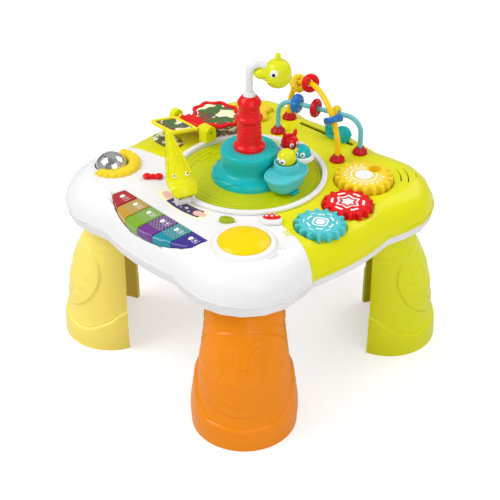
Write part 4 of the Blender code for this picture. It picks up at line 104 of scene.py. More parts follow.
def to_linear(shade: Shade) -> tuple[float, float, float, float]:
    """Turn an sRGB shade into the linear colour that a shader socket takes.

    Args:
        shade: The colour as it looks.

    Returns:
        Linear red, green, blue and an alpha of 1.
    """
    steps = [c / 12.92 if c <= 0.04045 else ((c + 0.055) / 1.055) ** 2.4 for c in shade.value]
    return (*steps, 1.0)


class NodeBook:
    """Shader node groups that several finishes share, each built once."""

    groups: dict[str, bpy.types.NodeTree] = {}

    @classmethod
    def new(cls, name: str, inputs: dict[str, tuple[str, object]], outputs: dict[str, str]) -> bpy.types.NodeTree:
        """Start a group with named sockets.

        Args:
            name: Name of the group.
            inputs: Each input's socket type and default.
            outputs: Each output's socket type.

        Returns:
            The empty group.
        """
        group = bpy.data.node_groups.new(name, "ShaderNodeTree")
        for label, (kind, value) in inputs.items():
            socket = group.interface.new_socket(name=label, in_out="INPUT", socket_type=kind)
            socket.default_value = value
        for label, kind in outputs.items():
            group.interface.new_socket(name=label, in_out="OUTPUT", socket_type=kind)
        cls.groups[name] = group
        return group

    @staticmethod
    def ends(group: bpy.types.NodeTree) -> tuple[object, object, object]:
        """Add a group's input and output nodes and its object coordinates, and give back their sockets."""
        entry = group.nodes.new("NodeGroupInput").outputs
        leave = group.nodes.new("NodeGroupOutput").inputs
        return entry, leave, group.nodes.new("ShaderNodeTexCoord").outputs["Object"]

    @staticmethod
    def link(tree: bpy.types.NodeTree, source: object, target: object) -> None:
        """Join two sockets."""
        tree.links.new(source, target)

    @staticmethod
    def fill(node: bpy.types.Node, values: dict[str, object]) -> None:
        """Set several inputs of a node by their names."""
        for label, value in values.items():
            node.inputs[label].default_value = value

    @staticmethod
    def place(tree: bpy.types.NodeTree, group: bpy.types.NodeTree) -> bpy.types.Node:
        """Place a group in a material."""
        node = tree.nodes.new("ShaderNodeGroup")
        node.node_tree = group
        return node

    @classmethod
    def math(cls, tree: bpy.types.NodeTree, operation: str, first: object, second: object = None) -> object:
        """Add a math node fed by sockets or numbers, and give back its output."""
        node = tree.nodes.new("ShaderNodeMath")
        node.operation = operation
        for socket, value in zip(node.inputs, (first, second)):
            if value is None:
                continue
            if isinstance(value, (int, float)):
                socket.default_value = value
            else:
                cls.link(tree, value, socket)
        return node.outputs[0]

    @classmethod
    def noise(cls, tree: bpy.types.NodeTree, vector: object, scale: object, detail: float) -> object:
        """Add a noise texture on a vector, and give back its grey value."""
        node = tree.nodes.new("ShaderNodeTexNoise")
        node.inputs["Detail"].default_value = detail
        cls.link(tree, vector, node.inputs["Vector"])
        if isinstance(scale, (int, float)):
            node.inputs["Scale"].default_value = scale
        else:
            cls.link(tree, scale, node.inputs["Scale"])
        return node.outputs["Fac"]

    @classmethod
    def mix(cls, tree: bpy.types.NodeTree, share: object, first: object, second: object,
            blend: str = "MIX") -> object:
        """Mix two colours by a mask, and give back the colour."""
        node = tree.nodes.new("ShaderNodeMix")
        node.data_type = "RGBA"
        node.blend_type = blend
        for socket, value in ((node.inputs[0], share), (node.inputs[6], first), (node.inputs[7], second)):
            if isinstance(value, (int, float, tuple)):
                socket.default_value = value
            else:
                cls.link(tree, value, socket)
        return node.outputs[2]

    @classmethod
    def moulded_skin(cls) -> bpy.types.NodeTree:
        """Group for injection-moulded plastic: faint flow marks in colour and gloss, and a fine ripple."""
        if "moulded_skin" in cls.groups:
            return cls.groups["moulded_skin"]
        group = cls.new("moulded_skin", {
            "Colour": ("NodeSocketColor", (1, 1, 1, 1)), "Flow": ("NodeSocketFloat", 0.03),
            "Gloss": ("NodeSocketFloat", 0.25), "Smudge": ("NodeSocketFloat", 0.06),
            "Grain": ("NodeSocketFloat", 900.0),
        }, {"Colour": "NodeSocketColor", "Roughness": "NodeSocketFloat", "Height": "NodeSocketFloat"})
        entry, leave, where = cls.ends(group)
        broad = cls.noise(group, where, 28.0, 3.0)
        swing = cls.math(group, "SUBTRACT", broad, 0.5)
        shift = cls.math(group, "MULTIPLY", swing, entry["Flow"])
        level = cls.math(group, "ADD", shift, 1.0)
        tone = group.nodes.new("ShaderNodeHueSaturation")
        cls.link(group, level, tone.inputs["Value"])
        cls.link(group, entry["Colour"], tone.inputs["Color"])
        cls.link(group, tone.outputs["Color"], leave["Colour"])
        patch = cls.noise(group, where, 75.0, 4.0)
        smear = cls.math(group, "MULTIPLY", cls.math(group, "SUBTRACT", patch, 0.5), entry["Smudge"])
        cls.link(group, cls.math(group, "ADD", entry["Gloss"], smear), leave["Roughness"])
        cls.link(group, cls.noise(group, where, entry["Grain"], 2.0), leave["Height"])
        return group

    @classmethod
    def diamond_hatch(cls) -> bpy.types.NodeTree:
        """Group for the diamond relief inside a clear key: a mask of crossing lines, kept behind a line in Y."""
        if "diamond_hatch" in cls.groups:
            return cls.groups["diamond_hatch"]
        group = cls.new("diamond_hatch", {
            "Pitch": ("NodeSocketFloat", 190.0), "Width": ("NodeSocketFloat", 0.16),
            "Front": ("NodeSocketFloat", -0.1695),
        }, {"Mask": "NodeSocketFloat", "Facet": "NodeSocketFloat"})
        entry, leave, where = cls.ends(group)
        parts = group.nodes.new("ShaderNodeSeparateXYZ")
        cls.link(group, where, parts.inputs[0])
        lines = []
        for sign in ("ADD", "SUBTRACT"):
            run = cls.math(group, sign, parts.outputs[0], parts.outputs[1])
            turn = cls.math(group, "FRACT", cls.math(group, "MULTIPLY", run, entry["Pitch"]))
            far = cls.math(group, "ABSOLUTE", cls.math(group, "SUBTRACT", turn, 0.5))
            lines.append(far)
        edge = cls.math(group, "MAXIMUM", lines[0], lines[1])
        limit = cls.math(group, "SUBTRACT", 0.5, entry["Width"])
        mask = cls.math(group, "GREATER_THAN", edge, limit)
        inside = cls.math(group, "GREATER_THAN", parts.outputs[1], entry["Front"])
        cls.link(group, cls.math(group, "MULTIPLY", mask, inside), leave["Mask"])
        cls.link(group, cls.math(group, "MULTIPLY", cls.math(group, "ADD", lines[0], lines[1]), inside),
                 leave["Facet"])
        return group

    @classmethod
    def printed_scene(cls) -> bpy.types.NodeTree:
        """Group for a small printed landscape in soft patches: cream, green, brown and grey."""
        if "printed_scene" in cls.groups:
            return cls.groups["printed_scene"]
        group = cls.new("printed_scene", {
            "Base": ("NodeSocketColor", (1, 1, 1, 1)), "First": ("NodeSocketColor", (0, 1, 0, 1)),
            "Second": ("NodeSocketColor", (0.5, 0.3, 0.1, 1)), "Third": ("NodeSocketColor", (0.1, 0.1, 0.1, 1)),
            "Scale": ("NodeSocketFloat", 60.0),
        }, {"Colour": "NodeSocketColor"})
        entry, leave, where = cls.ends(group)
        colour = entry["Base"]
        for label, shift, limit in (("First", 0.31, 0.50), ("Second", 0.77, 0.56), ("Third", 1.93, 0.60)):
            move = group.nodes.new("ShaderNodeMapping")
            move.inputs["Location"].default_value = (shift, shift * 2, 0)
            cls.link(group, where, move.inputs["Vector"])
            blot = cls.noise(group, move.outputs["Vector"], entry["Scale"], 2.5)
            mask = cls.math(group, "GREATER_THAN", blot, limit)
            colour = cls.mix(group, mask, colour, entry[label])
        cls.link(group, colour, leave["Colour"])
        return group

    @classmethod
    def foil_facets(cls) -> bpy.types.NodeTree:
        """Group for the silvered lining seen through a clear roller: broad facets in painted bright and dark
        reflections.
        """
        if "foil_facets" in cls.groups:
            return cls.groups["foil_facets"]
        group = cls.new("foil_facets", {
            "Bright": ("NodeSocketColor", (1, 1, 1, 1)), "Dark": ("NodeSocketColor", (0.2, 0.2, 0.2, 1)),
            "Scale": ("NodeSocketFloat", 90.0),
        }, {"Colour": "NodeSocketColor", "Height": "NodeSocketFloat"})
        entry, leave, where = cls.ends(group)
        cells = group.nodes.new("ShaderNodeTexVoronoi")
        cls.link(group, where, cells.inputs["Vector"])
        cls.link(group, entry["Scale"], cells.inputs["Scale"])
        parts = group.nodes.new("ShaderNodeSeparateXYZ")
        cls.link(group, cells.outputs["Color"], parts.inputs[0])
        # Each facet takes a painted reflection between the bright and the dark colour.
        cls.link(group, cls.mix(group, parts.outputs[0], entry["Dark"], entry["Bright"]),
                 leave["Colour"])
        cls.link(group, cells.outputs["Distance"], leave["Height"])
        return group


@dataclass(frozen=True)
class Moulded:
    """Injection-moulded plastic in one shade."""

    name: str
    shade: Shade
    gloss: float = 0.22
    flow: float = 0.035
    smudge: float = 0.07
    grain: float = 900.0
    ripple: float = 0.00002
    coat: float = 0.08
    shine: float = 0.26
    metallic: float = 0.0
    see_through: float = 0.0

    def material(self) -> bpy.types.Material:
        """Build the material once, or give back the one already built."""
        label = "finish_" + self.name
        if label in bpy.data.materials:
            return bpy.data.materials[label]
        material = bpy.data.materials.new(label)
        material.use_nodes = True
        tree = material.node_tree
        shader = tree.nodes["Principled BSDF"]
        NodeBook.fill(shader, {"Coat Weight": self.coat, "Coat Roughness": 0.08, "Specular IOR Level": self.shine,
                               "Metallic": self.metallic, "Transmission Weight": self.see_through, "IOR": 1.48})
        skin = NodeBook.place(tree, NodeBook.moulded_skin())
        NodeBook.fill(skin, {"Colour": to_linear(self.shade), "Flow": self.flow, "Gloss": self.gloss,
                             "Smudge": self.smudge, "Grain": self.grain})
        bump = tree.nodes.new("ShaderNodeBump")
        NodeBook.fill(bump, {"Strength": 0.35, "Distance": self.ripple})
        NodeBook.link(tree, self.paint(tree, skin.outputs["Colour"]), shader.inputs["Base Color"])
        NodeBook.link(tree, skin.outputs["Roughness"], shader.inputs["Roughness"])
        NodeBook.link(tree, self.relief(tree, skin.outputs["Height"]), bump.inputs["Height"])
        NodeBook.link(tree, bump.outputs["Normal"], shader.inputs["Normal"])
        return material

    def paint(self, tree: bpy.types.NodeTree, colour: object) -> object:
        """Colour over the skin; a plain moulding keeps the skin's own."""
        return colour

    def relief(self, tree: bpy.types.NodeTree, height: object) -> object:
        """Height for the bump; a plain moulding keeps the skin's own."""
        return height


@dataclass(frozen=True)
class ClearKey(Moulded):
    """Tinted clear key with a diamond relief moulded inside it, shown as painted highlights and painted shade in its
    colour.
    """

    gloss: float = 0.12
    coat: float = 0.6
    hatched: bool = True

    def paint(self, tree: bpy.types.NodeTree, colour: object) -> object:
        """Lighten the lines of the hatch with a painted highlight and deepen its cells with painted shade."""
        if not self.hatched:
            return colour
        hatch = NodeBook.place(tree, NodeBook.diamond_hatch())
        # Painted shade in the hatch's cells, mixed into the key's colour.
        painted_hatch_shade = NodeBook.mix(tree, hatch.outputs["Facet"], colour, (0.0, 0.0, 0.0, 1.0), "MIX")
        dim = NodeBook.mix(tree, 0.35, colour, painted_hatch_shade)
        # Painted highlight: the hatch's lines are lightened towards a pale tint.
        return NodeBook.mix(tree, NodeBook.math(tree, "MULTIPLY", hatch.outputs["Mask"], 0.20), dim,
                            (0.8, 0.9, 0.7, 1.0))


@dataclass(frozen=True)
class PrintedPicture(Moulded):
    """Card or film with a generic landscape in soft patches."""

    scale: float = 46.0
    coat: float = 0.4

    def paint(self, tree: bpy.types.NodeTree, colour: object) -> object:
        """Lay the patches of the picture over the card."""
        scene = NodeBook.place(tree, NodeBook.printed_scene())
        NodeBook.link(tree, colour, scene.inputs["Base"])
        NodeBook.fill(scene, {"First": to_linear(Shade.PRINT_GREEN), "Second": to_linear(Shade.PRINT_BROWN),
                              "Third": to_linear(Shade.PRINT_GREY), "Scale": self.scale})
        return scene.outputs["Colour"]


@dataclass(frozen=True)
class SilveredFoil(Moulded):
    """Clear roller over a silvered lining."""

    gloss: float = 0.10
    coat: float = 1.0
    metallic: float = 0.85

    def paint(self, tree: bpy.types.NodeTree, colour: object) -> object:
        """Break the silver into facets of painted bright and dark reflections."""
        foil = NodeBook.place(tree, NodeBook.foil_facets())
        # Painted reflections: a bright and a dark tone for the facets.
        NodeBook.fill(foil, {"Bright": (0.92, 0.93, 0.94, 1.0), "Dark": (0.18, 0.19, 0.20, 1.0)})
        return foil.outputs["Colour"]


WHITE = Moulded("white_plastic", Shade.WHITE, gloss=0.24)
LIME = Moulded("lime_plastic", Shade.LIME, gloss=0.24)
DISC_LIME = Moulded("disc_lime_plastic", Shade.DISC_LIME, gloss=0.28)
YELLOW = Moulded("yellow_plastic", Shade.YELLOW)
DOME_YELLOW = Moulded("palm_button_yellow", Shade.DOME, gloss=0.18)
ORANGE = Moulded("orange_plastic", Shade.ORANGE)
RED = Moulded("red_plastic", Shade.RED)
DARK_RED = Moulded("deep_red_plastic", Shade.DARK_RED)
TEAL = Moulded("teal_plastic", Shade.TEAL)
BOAT_TEAL = Moulded("pale_teal_plastic", Shade.BOAT_TEAL)
BLUE = Moulded("blue_plastic", Shade.BLUE)
ROD_YELLOW = Moulded("rod_yellow_plastic", Shade.ROD_YELLOW)
ROD_TEAL = Moulded("rod_teal_plastic", Shade.ROD_TEAL)
PAGE_YELLOW = Moulded("page_yellow_plastic", Shade.PAGE_YELLOW)
LEG_YELLOW = Moulded("leg_yellow_plastic", Shade.LEG_YELLOW)
LEG_LIME = Moulded("leg_lime_plastic", Shade.LEG_LIME)
LEAF_LIME = Moulded("leaf_lime_plastic", Shade.LEAF_LIME)
HEAD_LIME = Moulded("head_lime_plastic", Shade.HEAD_LIME)
FROST = Moulded("frosted_tube", Shade.FROST, gloss=0.15, coat=0.4, see_through=0.15)
FOIL = SilveredFoil("silvered_roller", Shade.SILVER)
STEEL = Moulded("plated_steel", Shade.STEEL, gloss=0.3, coat=0.0, metallic=1.0)
BOARD = Moulded("circuit_board_green", Shade.BOARD, gloss=0.5, coat=0.0)
SLEEVE = Moulded("cell_sleeve_black", Shade.SLEEVE, gloss=0.4)
BLACK_INK = Moulded("black_paint", Shade.BLACK, gloss=0.15)
WHITE_INK = Moulded("white_paint", Shade.PRINT_WHITE, gloss=0.3, flow=0.01)
CREAM_INK = Moulded("cream_print", Shade.CREAM, gloss=0.3)
PINK_INK = Moulded("pink_print", Shade.PINK, gloss=0.3)
PURPLE_INK = Moulded("purple_print", Shade.PURPLE, gloss=0.3)
PICTURE = PrintedPicture("page_picture", Shade.CREAM, gloss=0.25)
DECK_PICTURE = PrintedPicture("deck_picture", Shade.CREAM, gloss=0.3, scale=95.0)


# ---------------------------------------------------------------- bench tools

def deselect() -> None:
    """Clear the selection."""
    bpy.ops.object.select_all(action="DESELECT")


def pick(*pieces: bpy.types.Object) -> None:
    """Select these pieces alone, with the first as the active one."""
    deselect()
    for piece in pieces:
        piece.select_set(True)
    bpy.context.view_layer.objects.active = pieces[0]


class Editing:
    """Edit mode on one piece, for the length of a with block."""

    def __init__(self, piece: bpy.types.Object, kind: str = "VERT") -> None:
        """Remember the piece and the kind of element to select."""
        self.piece = piece
        self.kind = kind

    def __enter__(self) -> bpy.types.Object:
        """Enter edit mode with everything selected."""
        pick(self.piece)
        bpy.ops.object.mode_set(mode="EDIT")
        bpy.ops.mesh.select_mode(type=self.kind)
        bpy.ops.mesh.select_all(action="SELECT")
        return self.piece

    def __exit__(self, *_: object) -> None:
        """Go back to object mode."""
        bpy.ops.object.mode_set(mode="OBJECT")


def settle(piece: bpy.types.Object) -> bpy.types.Object:
    """Put a piece's place, turn and size into its mesh."""
    pick(piece)
    bpy.ops.object.transform_apply(location=True, rotation=True, scale=True)
    return piece


def tidy(piece: bpy.types.Object, gap: float = 0.00001) -> bpy.types.Object:
    """Merge doubled points, close open loops and turn every face outwards."""
    with Editing(piece):
        bpy.ops.mesh.remove_doubles(threshold=gap)
        bpy.ops.mesh.select_all(action="SELECT")
        bpy.ops.mesh.fill_holes(sides=0)
        bpy.ops.mesh.select_all(action="SELECT")
        bpy.ops.mesh.normals_make_consistent(inside=False)
    return piece


def smooth(piece: bpy.types.Object, angle: float = 38.0) -> bpy.types.Object:
    """Shade smooth up to an angle in degrees."""
    pick(piece)
    bpy.ops.object.shade_smooth_by_angle(angle=math.radians(angle))
    return piece


def modify(piece: bpy.types.Object, kind: str, **settings: object) -> bpy.types.Object:
    """Add one modifier with its settings and apply it."""
    pick(piece)
    change = piece.modifiers.new(kind.title(), kind)
    for label, value in settings.items():
        setattr(change, label, value)
    bpy.ops.object.modifier_apply(modifier=change.name)
    return piece


def round_edges(piece: bpy.types.Object, width: float, segments: int = 3, angle: float = 40.0) -> bpy.types.Object:
    """Round every edge sharper than an angle."""
    return modify(piece, "BEVEL", width=width, segments=segments, limit_method="ANGLE",
                  angle_limit=math.radians(angle), use_clamp_overlap=True, miter_outer="MITER_ARC")


def carve(piece: bpy.types.Object, tool: bpy.types.Object, operation: str = "DIFFERENCE") -> bpy.types.Object:
    """Cut a tool out of a piece, or add it, and remove the tool."""
    modify(piece, "BOOLEAN", object=tool, operation=operation, solver="EXACT")
    bpy.data.objects.remove(tool)
    return piece


def unite(name: str, pieces: Sequence[bpy.types.Object]) -> bpy.types.Object:
    """Join pieces into one object with a name."""
    pick(*pieces)
    if len(pieces) > 1:
        bpy.ops.object.join()
    pieces[0].name = name
    pieces[0].data.name = name
    return pieces[0]


def twin(piece: bpy.types.Object, name: str, change: Matrix) -> bpy.types.Object:
    """Copy a piece with its own mesh, moved by a matrix."""
    pick(piece)
    bpy.ops.object.duplicate(linked=False)
    copy = bpy.context.object
    copy.name = name
    copy.data.transform(change)
    copy.data.update()
    return copy


def sheet(name: str, columns: int, rows: int, where: Callable[[float, float], Sequence[float]],
          weld: bool = True) -> bpy.types.Object:
    """Shape a grid primitive by moving each of its points to its place on a surface.

    Args:
        name: Name of the piece.
        columns: Steps across.
        rows: Steps up.
        where: Gives a place from two shares between 0 and 1.
        weld: Whether edges that meet are merged, holes closed and faces turned outwards.

    Returns:
        The shaped piece.
    """
    deselect()
    bpy.ops.mesh.primitive_grid_add(x_subdivisions=columns, y_subdivisions=rows, size=2)
    piece = bpy.context.object
    piece.name = name
    for vertex in piece.data.vertices:
        u, v = (vertex.co.x + 1) / 2, (vertex.co.y + 1) / 2
        vertex.co = where(min(max(u, 0.0), 1.0), min(max(v, 0.0), 1.0))
    piece.data.update()
    return tidy(piece) if weld else piece


def fillet(points: Sequence[tuple[float, float]], radius: float, steps: int = 4, closed: bool = False) -> Plan:
    """Round the corners of a line or outline.

    Args:
        points: Corners in order.
        radius: Distance from each corner at which its curve starts.
        steps: Steps in each curve.
        closed: Whether the last corner joins the first.

    Returns:
        The rounded points.
    """
    done: Plan = []
    count = len(points)
    for i, raw in enumerate(points):
        if not closed and i in (0, count - 1):
            done.append(tuple(raw))
            continue
        corner = Vector(raw)
        before = Vector(points[i - 1]) - corner
        after = Vector(points[(i + 1) % count]) - corner
        start = corner + before.normalized() * min(radius, before.length * 0.49)
        end = corner + after.normalized() * min(radius, after.length * 0.49)
        for step in range(steps + 1):
            mix = step / steps
            done.append(tuple(start * (1 - mix) ** 2 + corner * 2 * mix * (1 - mix) + end * mix ** 2))
    return done


def turned(name: str, profile: Sequence[tuple[float, float]], centre: tuple[float, float] = (0, 0),
           steps: int = 64, closed: bool = False) -> bpy.types.Object:
    """Draw half a section by extruding a point, then spin it about a standing axis.

    Args:
        name: Name of the piece.
        profile: Radius and height of each point.
        centre: Place of the axis.
        steps: Steps round the axis.
        closed: Whether the last point joins the first, as on a ring.

    Returns:
        The turned piece.
    """
    deselect()
    bpy.ops.mesh.primitive_plane_add(size=0.001, location=(0, 0, 0))
    piece = bpy.context.object
    piece.name = name
    with Editing(piece):
        bpy.ops.mesh.merge(type="CENTER")
        bpy.ops.transform.translate(value=(profile[0][0], 0, profile[0][1]))
        line = list(profile) + ([profile[0]] if closed else [])
        for (r0, z0), (r1, z1) in zip(line, line[1:]):
            bpy.ops.mesh.extrude_region_move(TRANSFORM_OT_translate={"value": (r1 - r0, 0, z1 - z0)})
        bpy.ops.mesh.select_all(action="SELECT")
        bpy.ops.mesh.remove_doubles(threshold=0.000001)
        bpy.ops.mesh.select_all(action="SELECT")
        bpy.ops.mesh.spin(steps=steps, angle=math.tau, center=(0, 0, 0), axis=(0, 0, 1))
    tidy(piece, 0.000002)
    piece.data.transform(Matrix.Translation((*centre, 0)))
    return smooth(piece)


def plate(name: str, outline: Sequence[tuple[float, float]], bottom: float, top: float,
          edge: float = 0.0, segments: int = 3) -> bpy.types.Object:
    """Raise a flat outline into a plate and round its edges.

    Args:
        name: Name of the piece.
        outline: Points in plan.
        bottom: Height of the underside.
        top: Height of the upper side.
        edge: Width of the rounding, or zero for none.
        segments: Steps in the rounding.

    Returns:
        The finished plate.
    """
    deselect()
    bpy.ops.mesh.primitive_circle_add(vertices=len(outline), radius=1, fill_type="NGON")
    piece = bpy.context.object
    piece.name = name
    for vertex, (x, y) in zip(piece.data.vertices, outline):
        vertex.co = (x, y, bottom)
    piece.data.update()
    with Editing(piece):
        bpy.ops.mesh.extrude_region_move(TRANSFORM_OT_translate={"value": (0, 0, top - bottom)})
        bpy.ops.mesh.select_all(action="SELECT")
        bpy.ops.mesh.normals_make_consistent(inside=False)
    if edge:
        round_edges(piece, edge, segments, 30.0)
    return smooth(piece, 32.0)


def wire(name: str, points: Sequence[Sequence[float]], radius: float, resolution: int = 3,
         closed: bool = False, curved: bool = False) -> bpy.types.Object:
    """Lay a round bar along a line of points and make it a mesh.

    Args:
        name: Name of the piece.
        points: Places along the middle of the bar.
        radius: Radius of the bar.
        resolution: Roundness of the bar.
        closed: Whether the bar joins its own start.
        curved: Whether the line is smoothed between its points.

    Returns:
        The bar as a mesh.
    """
    curve = bpy.data.curves.new(name, "CURVE")
    curve.dimensions = "3D"
    curve.bevel_depth = radius
    curve.bevel_resolution = resolution
    curve.use_fill_caps = not closed
    line = curve.splines.new("NURBS" if curved else "POLY")
    line.points.add(len(points) - 1)
    for knot, place in zip(line.points, points):
        knot.co = (*place, 1)
    line.use_cyclic_u = closed
    if curved:
        line.order_u = 4
        line.use_endpoint_u = not closed
        line.resolution_u = 4
    piece = bpy.data.objects.new(name, curve)
    bpy.context.scene.collection.objects.link(piece)
    pick(piece)
    bpy.ops.object.convert(target="MESH")
    piece = bpy.context.object
    tidy(piece, 0.000005)
    return smooth(piece, 50.0)


def hoop(name: str, centre: Sequence[float], height: float, radius: float, bar: float, steps: int,
         resolution: int = 2) -> bpy.types.Object:
    """Lay a round bar in a level circle about a place in plan."""
    points = [(centre[0] + radius * math.cos(a), centre[1] + radius * math.sin(a), height) for a in turns(steps)]
    return wire(name, points, bar, resolution, closed=True)


def ball(name: str, centre: Sequence[float], radii: Sequence[float], turn: Matrix | None = None,
         segments: int = 48, rings: int = 28) -> bpy.types.Object:
    """Make a ball or egg by stretching a sphere, turning it and putting it in place."""
    deselect()
    bpy.ops.mesh.primitive_uv_sphere_add(segments=segments, ring_count=rings, radius=1)
    piece = bpy.context.object
    piece.name = name
    with Editing(piece):
        bpy.ops.transform.resize(value=tuple(radii))
    piece.data.transform(Matrix.Translation(centre) @ (turn.to_4x4() if turn else Matrix()))
    return smooth(piece, 60.0)


def drum(name: str, start: Sequence[float], end: Sequence[float], radius: float, far_radius: float | None = None,
         vertices: int = 40, edge: float = 0.0) -> bpy.types.Object:
    """Make a round bar or cone between two places, with rounded rims."""
    first, last = Vector(start), Vector(end)
    along = last - first
    deselect()
    bpy.ops.mesh.primitive_cone_add(vertices=vertices, radius1=radius,
                                    radius2=radius if far_radius is None else far_radius, depth=along.length)
    piece = bpy.context.object
    piece.name = name
    if edge:
        round_edges(piece, edge, 3, 30.0)
    turn = along.to_track_quat("Z", "Y").to_matrix().to_4x4()
    piece.data.transform(Matrix.Translation((first + last) / 2) @ turn)
    return smooth(piece, 40.0)


def brick(name: str, centre: Sequence[float], size: Sequence[float], heading: float = 0.0,
          edge: float = 0.0006) -> bpy.types.Object:
    """Make a block with rounded edges, turned about the vertical."""
    deselect()
    bpy.ops.mesh.primitive_cube_add(size=1)
    piece = bpy.context.object
    piece.name = name
    with Editing(piece):
        bpy.ops.transform.resize(value=tuple(size))
    if edge:
        round_edges(piece, edge, 3)
    piece.data.transform(Matrix.Translation(centre) @ Matrix.Rotation(heading, 4, "Z"))
    return smooth(piece, 40.0)


def turns(count: int) -> list[float]:
    """Give the angles of so many equal steps round a full turn."""
    return [math.tau * k / count for k in range(count)]


def switch_stem(centre: tuple[float, float], base: float) -> bpy.types.Object:
    """Make the short stem that a sliding switch sends down through its slot."""
    return drum("stem", (*centre, base - 0.0055), (*centre, base + 0.002), 0.0022)


def polar(radius: float, angle: float) -> tuple[float, float]:
    """Give the plan point at a radius and an angle."""
    return (radius * math.cos(angle), radius * math.sin(angle))


def placed(outline: Iterable[tuple[float, float]], centre: Sequence[float], heading: float) -> Plan:
    """Turn an outline about its own origin and move it to a place."""
    cosine, sine = math.cos(heading), math.sin(heading)
    return [(centre[0] + x * cosine - y * sine, centre[1] + x * sine + y * cosine) for x, y in outline]


def oval(length: float, width: float, power: float = 2.0, count: int = 64) -> Plan:
    """Give a rounded outline between an ellipse and a rectangle."""
    points = []
    for i in range(count):
        c, s = math.cos(math.tau * i / count), math.sin(math.tau * i / count)
        points.append((math.copysign(abs(c) ** (2 / power), c) * length / 2,
                       math.copysign(abs(s) ** (2 / power), s) * width / 2))
    return points


def node_copy(node: str, name: str, edge: float = 0.0) -> bpy.types.Object:
    """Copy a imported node, merge its loose triangles and shade it as one moulding.

    Args:
        node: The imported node.
        name: Name of the copy.
        edge: Width of the rounding on its sharp edges, or zero for none.

    Returns:
        The copy, in the node's place.
    """
    copy = frame["nodes"][node].copy()
    copy.data = frame["nodes"][node].data.copy()
    copy.parent = None
    bpy.context.scene.collection.objects.link(copy)
    copy.name = name
    copy.matrix_world = frame["nodes"][node].matrix_world
    settle(copy)
    copy.data.materials.clear()
    with Editing(copy):
        bpy.ops.mesh.remove_doubles(threshold=0.00001)
        bpy.ops.mesh.select_all(action="SELECT")
        bpy.ops.mesh.dissolve_limited(angle_limit=math.radians(0.6))
    if edge:
        round_edges(copy, edge, 2, 50.0)
    smooth(copy, 34.0)
    return modify(copy, "WEIGHTED_NORMAL", keep_sharp=True, weight=80)


def dress(piece: bpy.types.Object, finish: Moulded, node: str, stands_for: bool = False) -> bpy.types.Object:
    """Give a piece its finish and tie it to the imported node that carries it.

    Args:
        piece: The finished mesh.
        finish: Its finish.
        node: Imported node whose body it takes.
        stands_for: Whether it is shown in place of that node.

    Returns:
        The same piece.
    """
    piece.data.materials.clear()
    piece.data.materials.append(finish.material())
    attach(piece, BODY_OF[node])
    if stands_for:
        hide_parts(node)
    log.info("%s: %d faces, %s, on %s", piece.name, len(piece.data.polygons), finish.name, BODY_OF[node])
    return piece


def dress_eyes(name: str, node: str, whites: Sequence[bpy.types.Object], pupils: Sequence[bpy.types.Object]) -> None:
    """Join painted eyes and pupils and tie them to their node."""
    dress(unite(name + "_eyes", whites), WHITE_INK, node)
    dress(unite(name + "_pupils", pupils), BLACK_INK, node)


# ---------------------------------------------------------------- table top and legs

LOBE_REACH, LOBE_RADIUS = 0.1596, 0.0804
SIDE_REACH, SIDE_RADIUS = 0.1925, 0.2930


def table_edge(angle: float, inset: float = 0.0) -> tuple[float, float]:
    """Give the plan point of the table's edge at an angle, drawn in by an inset."""
    quarter = math.pi / 2
    lobe_angle = angle % quarter - quarter / 2
    side_angle = (angle + quarter / 2) % quarter - quarter / 2
    reach = LOBE_REACH * math.cos(lobe_angle)
    inside = LOBE_RADIUS ** 2 - (LOBE_REACH * math.sin(lobe_angle)) ** 2
    lobe = reach + math.sqrt(inside) if inside > 0 else reach
    centre = SIDE_REACH - SIDE_RADIUS
    side = centre * math.cos(side_angle) + math.sqrt(SIDE_RADIUS ** 2 - (centre * math.sin(side_angle)) ** 2)
    radius = (lobe + side + math.sqrt((lobe - side) ** 2 + 0.006 ** 2)) / 2
    return polar(radius - inset, angle)


